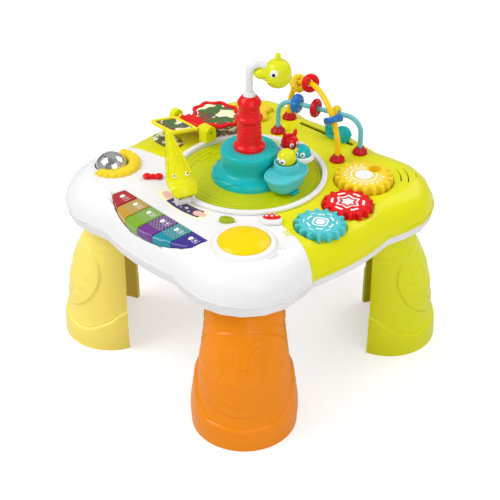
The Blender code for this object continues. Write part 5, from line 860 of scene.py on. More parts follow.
@dataclass
class TableTop:
    """White front half, lime back half and the tray under them, with their small reliefs."""

    bead_radius: float = 0.0007
    bead_height: float = 0.2072
    relief_radius: float = 0.0006

    def build(self) -> None:
        """Build the three shells and what is moulded on them."""
        dress(node_copy("top_shell_white", "white_front_shell"), WHITE, "top_shell_white", True)
        dress(node_copy("top_shell_lime", "lime_back_shell"), LIME, "top_shell_lime", True)
        dress(node_copy("bottom_tray", "white_tray"), WHITE, "bottom_tray", True)
        self.edge_beads()
        self.flowers()
        self.smile_line()
        self.deck_prints()

    def edge_beads(self) -> None:
        """Lay the fine line that runs round both shells just above the seam."""
        for name, finish, node, start, end in (
                ("white_edge_line", WHITE, "top_shell_white", -156.5, -23.5),
                ("lime_edge_line", LIME, "top_shell_lime", -21.5, 201.5)):
            count = int(abs(end - start))
            points = [(*table_edge(math.radians(start + (end - start) * i / count), 0.0001), self.bead_height)
                      for i in range(count + 1)]
            dress(wire(name, points, self.bead_radius), finish, node)

    def flowers(self) -> None:
        """Raise the two small outlined flowers on the deck."""
        for number, (x, y, petals, size) in enumerate(((0.134, -0.060, 5, 0.0072), (0.146, -0.088, 4, 0.0085))):
            ring = [(x + size * (0.72 + 0.28 * math.cos(petals * a)) * math.cos(a),
                     y + size * (0.72 + 0.28 * math.cos(petals * a)) * math.sin(a), DECK + 0.0002)
                    for a in turns(60)]
            lime = number == 0
            pieces = [wire("flower_line", ring, self.relief_radius, closed=True),
                      ball("flower_eye", (x, y, DECK), (size * 0.25, size * 0.25, 0.0008), segments=20, rings=10)]
            dress(unite(f"raised_flower_{number}", pieces), LIME if lime else WHITE,
                  "top_shell_lime" if lime else "top_shell_white")

    def smile_line(self) -> None:
        """Raise the two short curved lines beside the palm button's mound."""
        pieces = []
        for start, end, radius in ((-2, 22, 0.0385), (28, 40, 0.0385)):
            points = [(0.114 + radius * math.cos(math.radians(a)) * 1.12,
                       -0.115 + radius * math.sin(math.radians(a)) * 1.12, DECK + 0.0004)
                      for a in range(start, end, 2)]
            pieces.append(wire("smile", points, 0.0012))
        dress(unite("mound_lines", pieces), WHITE, "top_shell_white")

    def deck_prints(self) -> None:
        """Lay the printed films that show on the deck under the book's pages."""
        for name, centre, size, heading in (("print_under_yellow", (-0.140, -0.020), (0.050, 0.030), 0.0),
                                            ("print_under_red", (-0.121, 0.054), (0.060, 0.048), 0.0)):
            film = plate(name, placed(oval(*size, 2.6), centre, heading), DECK + 0.00008, DECK + GAP)
            dress(film, DECK_PICTURE, "top_shell_lime")


@dataclass
class Leg:
    """One curved shell leg, carved with a shoe edge, a medallion, neck lines and an outlined rabbit."""

    height: float = 0.1877
    foot_reach: float = 0.1905
    foot_radius: float = 0.0635
    wall: float = 0.0028
    band: float = 0.0030
    opening_reach: float = 0.162
    side_bearing: float = 117.0
    medallion_height: float = 0.1005
    medallion: tuple[float, float] = (0.073, 0.053)
    crease: float = 1.17
    neck_lines: tuple[float, float] = (0.1607, 0.1463)
    neck_half: float = 0.036
    columns: int = 320
    rows: int = 220
    edges: tuple[tuple[float, float], ...] = (
        (0, 0.036), (24, 0.036), (38, 0.031), (53, 0.029), (67, 0.031), (81, 0.038), (97, 0.047), (104, 0.054),
        (125, 0.063))
    sections: tuple[tuple[float, float, float], ...] = (
        (0.000, 1.000, 1.000), (0.133, 0.987, 1.020), (0.266, 0.976, 0.976), (0.400, 0.978, 0.921),
        (0.522, 0.976, 0.866), (0.740, 0.925, 0.785), (1.000, 0.835, 0.732))

    def section(self, share: float) -> tuple[float, float]:
        """Give the reach of the leg's middle and its radius at a share of its height."""
        spots = self.sections
        i = max(k for k in range(len(spots) - 1) if spots[k][0] <= share or k == 0)
        mix = (share - spots[i][0]) / (spots[i + 1][0] - spots[i][0])
        blend = []
        for part in (1, 2):
            p0, p1, p2, p3 = (spots[min(max(i + k, 0), len(spots) - 1)][part] for k in (-1, 0, 1, 2))
            blend.append(p1 + 0.5 * mix * (p2 - p0 + mix * (2 * p0 - 5 * p1 + 4 * p2 - p3
                                                           + mix * (3 * (p1 - p2) + p3 - p0))))
        return self.foot_reach * blend[0], self.foot_radius * blend[1]

    @staticmethod
    def ridge(distance: float, width: float, height: float) -> float:
        """Height of a rounded ridge at a distance from its line."""
        return height * max(0.0, 1 - (distance / width) ** 2) if abs(distance) < width else 0.0

    @staticmethod
    def step(distance: float, width: float) -> float:
        """Smooth step from 0 outside an edge to 1 inside it."""
        share = min(max(0.5 - distance / width, 0.0), 1.0)
        return share * share * (3 - 2 * share)

    def rabbit(self, x: float, z: float) -> float:
        """Relief of the plain outlined rabbit head, at a place across and up the leg's front."""
        head = (math.hypot(x / 0.0331, (z - 0.0885) / 0.0262) - 1) * 0.029
        relief = self.ridge(head, 0.0013, 0.0010) if z < 0.108 or abs(x) < 0.0056 else 0.0
        for side in (-1, 1):
            lean_x = x - side * (0.0166 + (z - 0.127) * 0.13)
            ear = (math.hypot(lean_x / 0.0115, (z - 0.120) / 0.0205) - 1) * 0.0115
            if z > 0.109:
                relief = max(relief, self.ridge(ear, 0.0013, 0.0010))
            inner = (math.hypot((x - side * 0.0170) / 0.0040, (z - 0.1222) / 0.0095) - 1) * 0.0040
            relief = max(relief, self.ridge(inner, 0.0010, 0.0008))
            eye = math.hypot(x - side * 0.0161, z - 0.0922) - 0.0036
            relief = max(relief, self.ridge(eye, 0.0011, 0.0009))
        return relief

    def shoe_edge(self, bearing: float) -> float:
        """Height of the shoe's upper edge at an angle in degrees round the leg from its front line."""
        for (a0, z0), (a1, z1) in zip(self.edges, self.edges[1:]):
            if bearing <= a1:
                return z0 + (z1 - z0) * (bearing - a0) / (a1 - a0)
        return self.edges[-1][1]

    def relief(self, across: float, z: float, turn: float) -> float:
        """Height of everything carved on the leg's outside, at a place on it.

        Args:
            across: Distance round the leg from its middle line.
            z: Height above the floor.
            turn: Share of the way round to the leg's edge, from -1 to 1.

        Returns:
            Height above the plain surface, in metres.
        """
        edge = self.shoe_edge(abs(turn) * self.side_bearing)
        height = self.band * self.step(z - edge, 0.0028)
        height = max(height, self.ridge(z - edge - 0.0035, 0.0013, 0.0006))
        wide, tall = self.medallion
        spread = math.hypot(across / wide, (z - self.medallion_height) / tall)
        lift = 0.0017 + 0.0008 * min(1.0, abs(across) / 0.07)
        height = max(height, lift * self.step((spread - 1) * tall, 0.0024))
        if 0.135 < z < 0.156:
            height += self.ridge((spread - self.crease) * tall, 0.0012, 0.0006)
        height += self.rabbit(across, z)
        for dx, dz in ((0.052, 0.1068), (0.049, 0.0902), (0.0435, 0.0715)):
            height += self.ridge(math.hypot(abs(across) - dx, z - dz) - 0.0032, 0.0011, 0.0008)
        for level in self.neck_lines:
            height += 0.0008 * self.step(level - z, 0.0014) * self.step(self.neck_half - abs(across), 0.006)
        return height

    def surface(self, turn: float, z: float, depth: float = 0.0, carved: bool = True) -> Vector:
        """Place on the leg's outer side, or under it by a depth, in the leg's own frame."""
        reach, radius = self.section(z / self.height)
        widest = math.acos(max(-1.0, min(1.0, (self.opening_reach - reach) / radius)))
        angle = turn * widest
        out = radius - depth
        if carved:
            out += self.relief(radius * angle, z, turn)
        return Vector((reach + out * math.cos(angle), out * math.sin(angle), z))

    def mould(self) -> bpy.types.Object:
        """Build the leg pointing along +X: carved outside, plain inside, top plate and plug."""
        last = self.columns
        turnback = round(last * 0.82)

        def where(u: float, v: float) -> Vector:
            """Place of one grid point: round the outside, then back along the inside."""
            column, z = round(u * last), v * self.height
            if column <= turnback or column == last:
                turn = -1.0 if column == last else column / turnback * 2 - 1
                return self.surface(turn * (0.65 + 0.35 * turn * turn), z)
            turn = 1 - 2 * (column - turnback - 1) / (last - turnback - 2)
            return self.surface(turn, z, self.wall, False)
        shell = sheet("leg_shell", self.columns, self.rows, where)
        rim = [self.surface(i / 20 - 1, self.height - 0.0015, 0.0015, False).to_2d() for i in range(41)]
        top = plate("leg_top", [tuple(p) for p in rim], self.height - 0.003, self.height, 0.0006)
        plug = turned("leg_plug", [(0.0145, self.height + 0.013), (0.0175, self.height + 0.013),
                                   (0.0175, self.height - 0.0015), (0.0145, self.height - 0.0015)],
                      (0.1835, 0), 32, True)
        return smooth(unite("leg", [shell, top, plug]), 40.0)


@dataclass
class LegSet:
    """The four legs: the front one from its own mould, the others from a second with a lower shoe edge."""

    front_edges: tuple[tuple[float, float], ...] = (
        (0, 0.0295), (25, 0.0317), (43, 0.0321), (59, 0.0426), (76, 0.0583), (90, 0.0741), (120, 0.078))

    places: tuple[tuple[str, float, Moulded], ...] = (
        ("front", -45.0, ORANGE), ("left", -135.0, LEG_YELLOW), ("right", 45.0, LEG_LIME), ("back", 135.0, RED))

    def build(self) -> None:
        """Mould the two kinds of leg and place a copy for each corner."""
        moulds = {"front": Leg(edges=self.front_edges).mould(), "side": Leg().mould()}
        for name, heading, finish in self.places:
            mould = moulds["front" if name == "front" else "side"]
            leg = twin(mould, f"{name}_leg", Matrix.Rotation(math.radians(heading), 4, "Z"))
            dress(leg, finish, f"leg_{name}", True)
        for mould in moulds.values():
            bpy.data.objects.remove(mould)


# ---------------------------------------------------------------- track, island, boats and tower

@dataclass
class Track:
    """White track ring with the lime disc inside it and the marks engraved on the disc."""

    inner: float = 0.094
    outer: float = 0.101
    height: float = 0.0044

    def build(self) -> None:
        """Turn the ring and the disc, and mark the disc with raised lines whose darker lime is painted shade for
        engraved grooves.
        """
        seat, top = DECK + GAP, DECK + GAP + self.height
        ring = fillet([(self.inner, top), (self.outer, top), (self.outer, seat), (0.0970, seat),
                       (0.0970, seat - 0.007), (0.0890, seat - 0.007), (0.0890, seat - 0.0043),
                       (self.inner, seat - 0.0043)], 0.0014, 4, True)
        dress(turned("track_rail", ring, steps=128, closed=True), WHITE, "track_ring", True)
        step = DISC_TOP + GAP + 0.003
        disc = [(0, 0.300), (0.0074, 0.300), (0.008, 0.2994), (0.008, step), (0.018, step), (0.018, DISC_TOP),
                (0.0927, DISC_TOP), (0.0932, DISC_TOP - 0.0005), (0.0932, DISC_TOP - 0.003), (0, DISC_TOP - 0.003)]
        dress(turned("grass_disc", disc, steps=128), DISC_LIME, "track_disc", True)
        marks = [self.arc(r, a, b) for r, a, b in (
            (0.0860, -118, -48), (0.0800, -105, -30), (0.0740, -120, -60), (0.0850, 150, 205), (0.0780, 165, 215),
            (0.0700, 172, 200), (0.0880, 20, 60), (0.0800, 100, 140))]
        marks += [self.path(0.085, 128, 158, 0.010), self.path(0.078, 128, 160, 0.010)]
        for k, angle in enumerate((172, 181, 190, 199, -22, -13, -4)):
            x, y = polar(0.076 if k % 2 else 0.084, math.radians(angle))
            marks += [ball("track_mark", (x + dx, y + dy, DISC_TOP), (0.0013, 0.0008, 0.0003), segments=12, rings=6)
                      for dx, dy in ((0, 0), (0.0024, 0.0012), (0.0022, -0.0014))]
        # Darker lime on the raised marks: painted shade for engraved grooves.
        dress(unite("disc_marks_groove_shade", marks), LEAF_LIME, "track_disc")

    @staticmethod
    def arc(radius: float, start: float, end: float) -> bpy.types.Object:
        """Lay one fine arc on the disc."""
        points = [(*polar(radius, math.radians(start + (end - start) * i / 24)), DISC_TOP) for i in range(25)]
        return wire("arc_mark", points, 0.00035, 1)

    @staticmethod
    def path(radius: float, start: float, end: float, swing: float) -> bpy.types.Object:
        """Lay one fine winding line on the disc."""
        points = [(*polar(radius + swing / 2 * math.sin(i / 24 * math.tau * 1.5),
                          math.radians(start + (end - start) * i / 24)), DISC_TOP) for i in range(25)]
        return wire("path_mark", points, 0.0004, 1)


@dataclass
class Island:
    """Teal island that turns round the tower and carries the boats on two arms."""

    radius: float = 0.0493
    top: float = 0.283
    base: float = DISC_TOP + GAP

    def build(self) -> None:
        """Turn the island, add its arms, its top marks and the fine lines on its skirt."""
        r, b, h = self.radius, self.base, self.top - self.base
        shares = ((0.650, 1.0), (0.742, 0.990), (0.765, 0.820), (0.705, 0.520), (0.700, 0.330), (0.800, 0.245),
                  (0.935, 0.200), (0.985, 0.105), (1.0, 0.0))
        outer = fillet([(0.0085, self.top)] + [(s * r, b + z * h) for s, z in shares], 0.0042, 6)
        inner = [(r - 0.0026, b), (r * 0.90, b + h * 0.16), (r * 0.66, b + h * 0.30), (r * 0.66, self.top - 0.0026),
                 (0.0085, self.top - 0.0026)]
        pieces = [turned("island_shell", outer + inner, steps=112, closed=True)]
        for angle in (7.0, 64.0):
            reach = r - 0.003
            pieces.append(brick("island_arm", (*polar((reach + 0.078) / 2, math.radians(angle)), b + 0.0016),
                                (0.078 - reach, 0.014, 0.0026), math.radians(angle), 0.0006))
        for k in range(18):
            angle = math.radians(20 * k + 6)
            turn = Matrix.Rotation(angle + (0.5 if k % 2 else -0.4), 3, "Z")
            pieces.append(ball("island_print", (*polar(0.0268 + 0.0022 * (k % 3), angle), self.top),
                               (0.0024, 0.0011, 0.0005), turn, 16, 8))
        skirt = [(1.004, 0.13), (0.972, 0.185), (0.925, 0.225)]
        for start in (-150, -118, -84, -20, 60, 120, 175):
            line = [(*polar(r * s, math.radians(start + k * 9)), b + z * h) for k, (s, z) in enumerate(skirt)]
            line += [(*polar(r * 0.925, math.radians(start + 18 + 12)), b + 0.225 * h)]
            pieces.append(wire("skirt_line", line, 0.0004, 1))
        dress(unite("teal_island", pieces), TEAL, "island", True)


@dataclass
class Boat:
    """Small round boat: hull, rim, cabin with a window and a seat for each passenger."""

    name: str
    node: str
    finish: Moulded
    angle: float
    length: float
    width: float
    seats: tuple[tuple[float, float, float, float], ...]
    hull_height: float = 0.0235
    base: float = DISC_TOP + 3 * GAP + 0.0026
    levels: tuple[tuple[float, float], ...] = (
        (0.00, 0.56), (0.02, 0.61), (0.14, 0.72), (0.32, 0.81), (0.55, 0.875), (0.72, 0.91), (0.76, 0.920),
        (0.80, 0.975), (0.84, 0.998), (0.95, 1.00), (0.985, 0.985), (1.00, 0.965), (1.00, 0.90), (0.965, 0.875),
        (0.960, 0.10))

    def build(self) -> None:
        """Loft the hull from its levels, then add the cabins, their windows and the crest."""
        heading = self.angle + math.pi / 2
        middle = polar(0.0605, self.angle)

        def where(u: float, v: float) -> tuple[float, float, float]:
            """Place of one point of the hull."""
            spot = v * (len(self.levels) - 1)
            i = min(int(spot), len(self.levels) - 2)
            rise, share = (a + (b - a) * (spot - i) for a, b in zip(self.levels[i], self.levels[i + 1]))
            c, s = math.cos(u * math.tau), math.sin(u * math.tau)
            x = math.copysign(abs(c) ** 0.8, c) * self.length / 2 * share
            y = math.copysign(abs(s) ** 0.8, s) * self.width / 2 * share
            (px, py), = placed([(x, y)], middle, heading)
            return (px, py, self.base + rise * self.hull_height)
        pieces = [sheet("hull", 80, 42, where)]
        deck = self.base + self.hull_height
        for x, y, radius, lift in self.seats:
            wall, top = radius + 0.0038, deck + max(lift, 0.0012)
            cabin = fillet([(radius + 0.0006, deck - 0.004), (radius + 0.0006, top), (wall, top),
                            (wall + 0.0009, deck - 0.0012)], 0.0007, 3)
            pieces.append(turned("cabin", cabin + [(wall + 0.0009, deck - 0.004)], (x, y), 56, True))
            if lift > 0.006:
                for spread in (-0.5, 0.35):
                    turn = -0.85 + spread
                    place = (x + (wall + 0.0004) * math.cos(turn), y + (wall + 0.0004) * math.sin(turn),
                             deck + lift * 0.42)
                    pieces.append(brick("window", place, (0.0012, 0.0066, 0.0034), turn, 0.0004))
        pieces.append(ball("crest", (*self.edge_point(-1.05), self.base + self.hull_height * 0.45),
                           (0.0016, 0.0016, 0.0016), segments=14, rings=8))
        dress(smooth(unite(self.name, pieces)), self.finish, self.node, True)

    def edge_point(self, turn: float) -> tuple[float, float]:
        """Give the plan point of the hull's side at a heading in the world."""
        middle = polar(0.0605, self.angle)
        return (middle[0] + self.width * 0.43 * math.cos(turn), middle[1] + self.width * 0.43 * math.sin(turn))


@dataclass
class Passenger:
    """Round head with two eyes that looks out of a boat."""

    name: str
    node: str
    finish: Moulded
    centre: Place
    radius: float
    facing: float
    eye_size: float = 0.0030
    eye_spread: float = 0.38
    eye_rise: float = 0.12
    squint: float = 0.0

    def spot(self, turn: float, rise: float, lift: float = 0.0) -> tuple[Vector, Vector]:
        """Give a place on the head, by its turn from straight ahead and its rise, and the way it faces."""
        out = Vector((*polar(math.cos(rise), self.facing + turn), math.sin(rise)))
        return Vector(self.centre) + out * (self.radius + lift), out

    def build(self) -> None:
        """Shape the head and its eyes."""
        parts = [ball("head", self.centre, (self.radius,) * 3)]
        parts += self.trim()
        dress(unite(self.name, parts), self.finish, self.node, True)
        whites, pupils = [], []
        for side in (-1, 1):
            place, out = self.spot(side * self.eye_spread, self.eye_rise)
            turn = out.to_track_quat("Z", "Y").to_matrix()
            whites.append(ball("eye", place, (self.eye_size, self.eye_size * 1.1, 0.0008), turn, 24, 12))
            place, out = self.spot(side * (self.eye_spread - 0.05 - self.squint), self.eye_rise - 0.05, 0.0006)
            size = self.eye_size * 0.45
            pupils.append(ball("pupil", place, (size, size, 0.0006), out.to_track_quat("Z", "Y").to_matrix(), 18, 10))
        dress_eyes(self.name, self.node, whites, pupils)

    def trim(self) -> list[bpy.types.Object]:
        """Parts moulded on the head."""
        return []


@dataclass
class LeafyPassenger(Passenger):
    """Pale round head with a small curl behind."""

    def trim(self) -> list[bpy.types.Object]:
        """A short curl at the back of the head."""
        back, out = self.spot(math.pi * 0.82, 0.35, -0.002)
        curl = [tuple(back + out * 0.001 * k + Vector((0, 0, 0.0011 * k * (1 + k * 0.12)))) for k in range(5)]
        return [wire("curl", curl, 0.0020, 4, curved=True)]


@dataclass
class EaredPassenger(Passenger):
    """Round head with two short ears and a tuft."""

    def trim(self) -> list[bpy.types.Object]:
        """Two ears that lean apart, and a small tuft between them."""
        parts = []
        for side in (-1, 1):
            turn = Matrix.Rotation(self.facing, 3, "Z") @ Matrix.Rotation(-side * 0.25, 3, "X")
            foot = Vector(self.centre) + turn @ Vector((0, side * 0.0048, self.radius * 1.02))
            parts.append(ball("ear", foot, (0.0026, 0.0030, 0.0068), turn, 24, 14))
        for k in (-1, 0, 1):
            place = Vector(self.centre) + Matrix.Rotation(self.facing, 3, "Z") @ Vector(
                (0.003, k * 0.0026, self.radius * 0.97))
            parts.append(ball("tuft", place, (0.0016, 0.0013, 0.0028), segments=16, rings=10))
        return parts


@dataclass
class Fleet:
    """The two boats on the island's arms and the three heads in them."""

    orbit: float = 0.0605
    teal_angle: float = math.radians(7.0)
    white_angle: float = math.radians(64.0)

    def build(self) -> None:
        """Build the boats, then seat the passengers."""
        deck = Boat.base + Boat.hull_height
        green = polar(self.orbit - 0.004, self.teal_angle + 0.012 / self.orbit / 2)
        red = polar(0.0570, math.radians(70.0))
        blue = polar(0.0680, math.radians(50.0))
        Boat("round_teal_boat", "boat_teal", BOAT_TEAL, self.teal_angle, 0.063, 0.044,
             ((*green, 0.0120, 0.0105),)).build()
        Boat("round_white_boat", "boat_white", WHITE, self.white_angle, 0.048, 0.042,
             ((*red, 0.0114, 0.004), (*blue, 0.0106, 0.0))).build()
        LeafyPassenger("green_head", "head_green", HEAD_LIME, (*green, deck + 0.0063 + 0.0096), 0.0120,
                       math.radians(-85), 0.0036, 0.30, -0.02).build()
        EaredPassenger("red_head", "head_red", RED, (*red, deck - 0.0007 + 0.0091), 0.0114,
                       math.radians(-10), 0.0027, 0.40, 0.10).build()
        Passenger("blue_head", "head_blue", TEAL, (*blue, deck - 0.0047 + 0.0085), 0.0106,
                  math.radians(-66), 0.0031, 0.42, 0.15).build()


@dataclass
class Tower:
    """Red lighthouse with two flared galleries, a door and grooved courses."""

    radius: float = 0.0205
    base: float = 0.2833
    top: float = 0.356

    def radius_at(self, share: float) -> float:
        """Radius of the plain shaft at a share of the height."""
        return self.radius * (0.78 - 0.07 * (share - 0.13) / 0.40) if share < 0.55 else self.radius * 0.69

    def build(self) -> None:
        """Turn the tower, then add the door and the lines of the courses."""
        h = self.top - self.base
        shares = ((0.46, 1.0), (0.62, 0.945), (0.755, 0.885), (0.745, 0.855), (0.660, 0.790), (0.655, 0.750),
                  (0.690, 0.640), (0.845, 0.605), (0.845, 0.560), (0.715, 0.525), (0.780, 0.130), (0.880, 0.088),
                  (1.0, 0.055), (1.0, 0.0))
        outer = [(0.0052, self.top)] + [(s * self.radius, self.base + z * h) for s, z in shares]
        inner = [(0.0088, self.base), (0.0088, self.base + 0.02), (0.0052, self.base + 0.03)]
        pieces = [turned("tower_shell", fillet(outer, 0.0016, 5) + inner, steps=72, closed=True)]
        for share in (0.20, 0.29, 0.38, 0.46):
            pieces.append(self.ring(share))
        pieces.append(self.door(math.radians(-62)))
        dress(unite("lighthouse_tower", pieces), RED, "tower", True)

    def ring(self, share: float) -> bpy.types.Object:
        """Lay one low course line round the shaft."""
        r = self.radius_at(share) + 0.0001
        return hoop("course", (0, 0), self.base + share * (self.top - self.base), r, 0.00045, 64)

    def door(self, facing: float) -> bpy.types.Object:
        """Raise the frame of the small door on the upper shaft."""
        h, r = self.top - self.base, self.radius * 0.672
        outline = [(-0.0045, 0.650), (-0.0045, 0.745), (-0.002, 0.765), (0.002, 0.765), (0.0045, 0.745),
                   (0.0045, 0.650)]
        points = [(*polar(r + 0.0002, facing + x / r), self.base + z * h) for x, z in outline]
        return wire("door", points, 0.0005, 2)


@dataclass
class Bird:
    """Frosted gooseneck tube with a bird's head on its end."""

    heading: float = math.radians(45.0)
    tube_radius: float = 0.0046
    offset: float = 0.035
    radius: float = 0.0172
    low: float = 0.3685
    height: float = 0.037

    def build(self) -> None:
        """Bend the tube, then shape the head, the beak, the peg and the eyes."""
        out = Vector((*polar(1, self.heading), 0))
        up = Vector((0, 0, 1))
        centre = out * 0.0125 + up * 0.386
        bend = [up * 0.343, up * 0.365]
        bend += [centre + (out * math.cos(math.pi - a) + up * math.sin(math.pi - a)) * 0.0125
                 for a in (math.radians(120.0) * k / 24 for k in range(25))]
        end_way = (bend[-1] - bend[-2]).normalized()
        bend.append(bend[-1] + end_way * 0.006)
        tube = wire("neck", bend, self.tube_radius, 8)
        bands = [turned("neck_band", [(0.0044, z), (0.0049, z + 0.0004), (0.0049, z + 0.0012), (0.0044, z + 0.0016)],
                        closed=True, steps=40) for z in (0.3720, 0.3810)]
        collar = turned("neck_collar", fillet([(0.0040, 0.3613), (0.0060, 0.3613), (0.0081, 0.3567), (0.0081, 0.3563),
                                               (0.0040, 0.3563)], 0.0006, 3, True), closed=True, steps=40)
        dress(unite("gooseneck", [tube, collar] + bands), FROST, "neck_tube", True)
        self.head(out)

    def head(self, out: Vector) -> None:
        """Shape the head and what is on it."""
        middle = out * self.offset
        shares = ((0.0, 1.0), (0.34, 0.985), (0.68, 0.90), (0.93, 0.74), (1.0, 0.53), (0.97, 0.35), (0.90, 0.27),
                  (0.76, 0.14), (0.46, 0.02), (0.0, 0.0))
        profile = fillet([(s * self.radius, self.low + z * self.height) for s, z in shares], 0.004, 4)
        parts = [turned("bird_skull", profile, middle.xy, 64)]
        turn = Matrix.Rotation(self.heading, 3, "Z")
        beak = out * 0.0170 + Vector((0, 0, 0.3872))
        parts.append(ball("beak", beak, (0.0122, 0.0092, 0.0078), turn @ Matrix.Rotation(-0.12, 3, "Y")))
        parts.append(ball("beak_tip", beak - out * 0.0055 - Vector((0, 0, 0.0005)), (0.0062, 0.0076, 0.0060), turn))
        foot, tip = (middle.x, middle.y, 0.400), (middle.x, middle.y, 0.4132)
        parts.append(drum("peg", foot, tip, 0.0038, 0.0034, 32, 0.0010))
        line = [(*(middle + turn @ Vector(polar(self.radius * 1.002, a)).to_3d()).xy,
                 self.low + 0.0115 + 0.0012 * math.cos(3 * a)) for a in turns(60)]
        parts.append(wire("cheek_line", line, 0.0006, 2, closed=True))
        dress(unite("bird_head_lime", parts), HEAD_LIME, "bird_head", True)
        side = Vector((-out.y, out.x, 0))
        whites, pupils = [], []
        for sign in (-1, 1):
            face = middle - out * 0.0045 + side * sign * 0.0155 + Vector((0, 0, 0.3925))
            turned_out = (side * sign - out * 0.10).to_track_quat("Z", "Y").to_matrix()
            whites.append(ball("bird_eye", face, (0.0050, 0.0056, 0.0014), turned_out, 32, 14))
            pupils.append(ball("bird_pupil", face + side * sign * 0.0010 - out * 0.0004 - Vector((0, 0, 0.0008)),
                               (0.0023, 0.0027, 0.0007), turned_out, 24, 12))
        dress_eyes("bird", "bird_head", whites, pupils)


# ---------------------------------------------------------------- flap, book, arches and beads

@dataclass
class CrocodileFlap:
    """Long-headed lime flap that stands over the track on its hinge bracket."""

    length: float = 0.082
    width: float = 0.034
    thickness: float = 0.0035
    crown: float = 0.006
    hinge_lift: float = 0.0064
    place: Matrix = field(default_factory=lambda: Matrix.Translation((-0.004, -0.1065, 0.2545))
                          @ Matrix.Rotation(math.radians(160), 4, "Z") @ Matrix.Rotation(-math.radians(48), 4, "Y"))
    widths: tuple[tuple[float, float], ...] = (
        (-0.05, 0.74), (-0.02, 0.88), (0.00, 0.92), (0.08, 0.97), (0.15, 1.06), (0.25, 1.05), (0.35, 0.96),
        (0.50, 0.78), (0.72, 0.50), (0.90, 0.30), (0.97, 0.22), (1.0, 0.10))

    def half_width(self, share: float) -> float:
        """Half the flap's width at a share of its length."""
        for (s0, w0), (s1, w1) in zip(self.widths, self.widths[1:]):
            if share <= s1:
                mix = (share - s0) / (s1 - s0)
                mix = mix * mix * (3 - 2 * mix) if s1 > 0.3 else mix
                return (w0 + (w1 - w0) * mix) * self.width / 2
        return self.widths[-1][1] * self.width / 2

    def surface(self, share: float, across: float, upper: bool = True) -> Vector:
        """Place on the flap's upper or lower side, before it is tilted."""
        half = self.half_width(share)
        crown = self.crown * half * 2 / self.width * (1 - across * across)
        lift = self.hinge_lift * self.skirt(share)
        rise = crown + self.thickness / 2 if upper else crown * 0.6 - self.thickness / 2
        return Vector((share * self.length, across * half, rise + lift))

    @staticmethod
    def skirt(share: float) -> float:
        """Share of the lift that carries the back of the head over the hinge barrel."""
        mix = min(max((0.22 - share) / 0.14, 0.0), 1.0)
        return mix * mix * (3 - 2 * mix)

    def build(self) -> None:
        """Shape the head, its ridges, scales, sockets, smile, barrel and eyes, then the bracket."""
        first, last = self.widths[0][0], 1.0

        def where(u: float, v: float) -> Vector:
            """Place of one point, round the section and along the head."""
            share = first + (last - first) * v
            if u <= 0.5:
                return self.surface(share, 1 - u * 4)
            return self.surface(share, (u - 0.5) * 4 - 1, False)
        parts = [round_edges(sheet("flap_shell", 48, 56, where), 0.0009, 2, 60)]
        for side in (-1, 1):
            line = [self.surface(s, side * 0.86) for s in (0.30 + 0.66 * k / 16 for k in range(17))]
            parts.append(wire("brow_ridge", line, 0.0011 if side > 0 else 0.0016, 3))
        parts.append(wire("middle_ridge", [self.surface(s, 0.02) for s in (0.45 + 0.5 * k / 12 for k in range(13))],
                          0.0008, 3))
        smile = [self.surface(0.135 + 0.03 * a * a, a * 0.66) for a in (k / 8 - 1 for k in range(17))]
        parts.append(wire("mouth", smile, 0.0007, 3))
        for share, across in ((0.42, 0.35), (0.46, -0.35), (0.56, 0.3), (0.60, -0.3), (0.70, 0.3), (0.78, -0.25)):
            parts.append(ball("scale", self.surface(share, across), (0.0022, 0.0013, 0.0006), segments=16, rings=8))
        for side in (-1, 1):
            parts.append(ball("socket", self.surface(0.285, side * 0.46) - Vector((0, 0, 0.0006)),
                              (0.0044, 0.0036, 0.0016), segments=28, rings=14))
        parts.append(drum("barrel", (0, -0.009, 0), (0, 0.009, 0), 0.0040, edge=0.0005))
        parts.append(brick("web", (0.0074, 0, 0), (0.0148, 0.0162, 0.0035)))
        self.set(unite("crocodile_head", parts), LIME, "crocodile_flap", True)
        whites, pupils = [], []
        for side in (-1, 1):
            spot = self.surface(0.285, side * 0.46) + Vector((0, 0, 0.0009))
            whites.append(ball("croc_eye", spot, (0.0026, 0.0022, 0.0007), segments=24, rings=10))
            pupils.append(ball("croc_pupil", spot + Vector((0.0006, side * 0.0004, 0.0005)), (0.0012, 0.0011, 0.0005),
                               segments=18, rings=8))
        self.set(unite("crocodile_eyes", whites), WHITE_INK, "crocodile_flap")
        self.set(unite("crocodile_pupils", pupils), BLACK_INK, "crocodile_flap")
        dress(node_copy("flap_bracket", "flap_hinge_bracket", 0.0005), WHITE, "flap_bracket", True)

    def set(self, piece: bpy.types.Object, finish: Moulded, node: str, stands_for: bool = False) -> None:
        """Tilt a piece into place with the flap and dress it."""
        piece.data.transform(self.place)
        dress(piece, finish, node, stands_for)


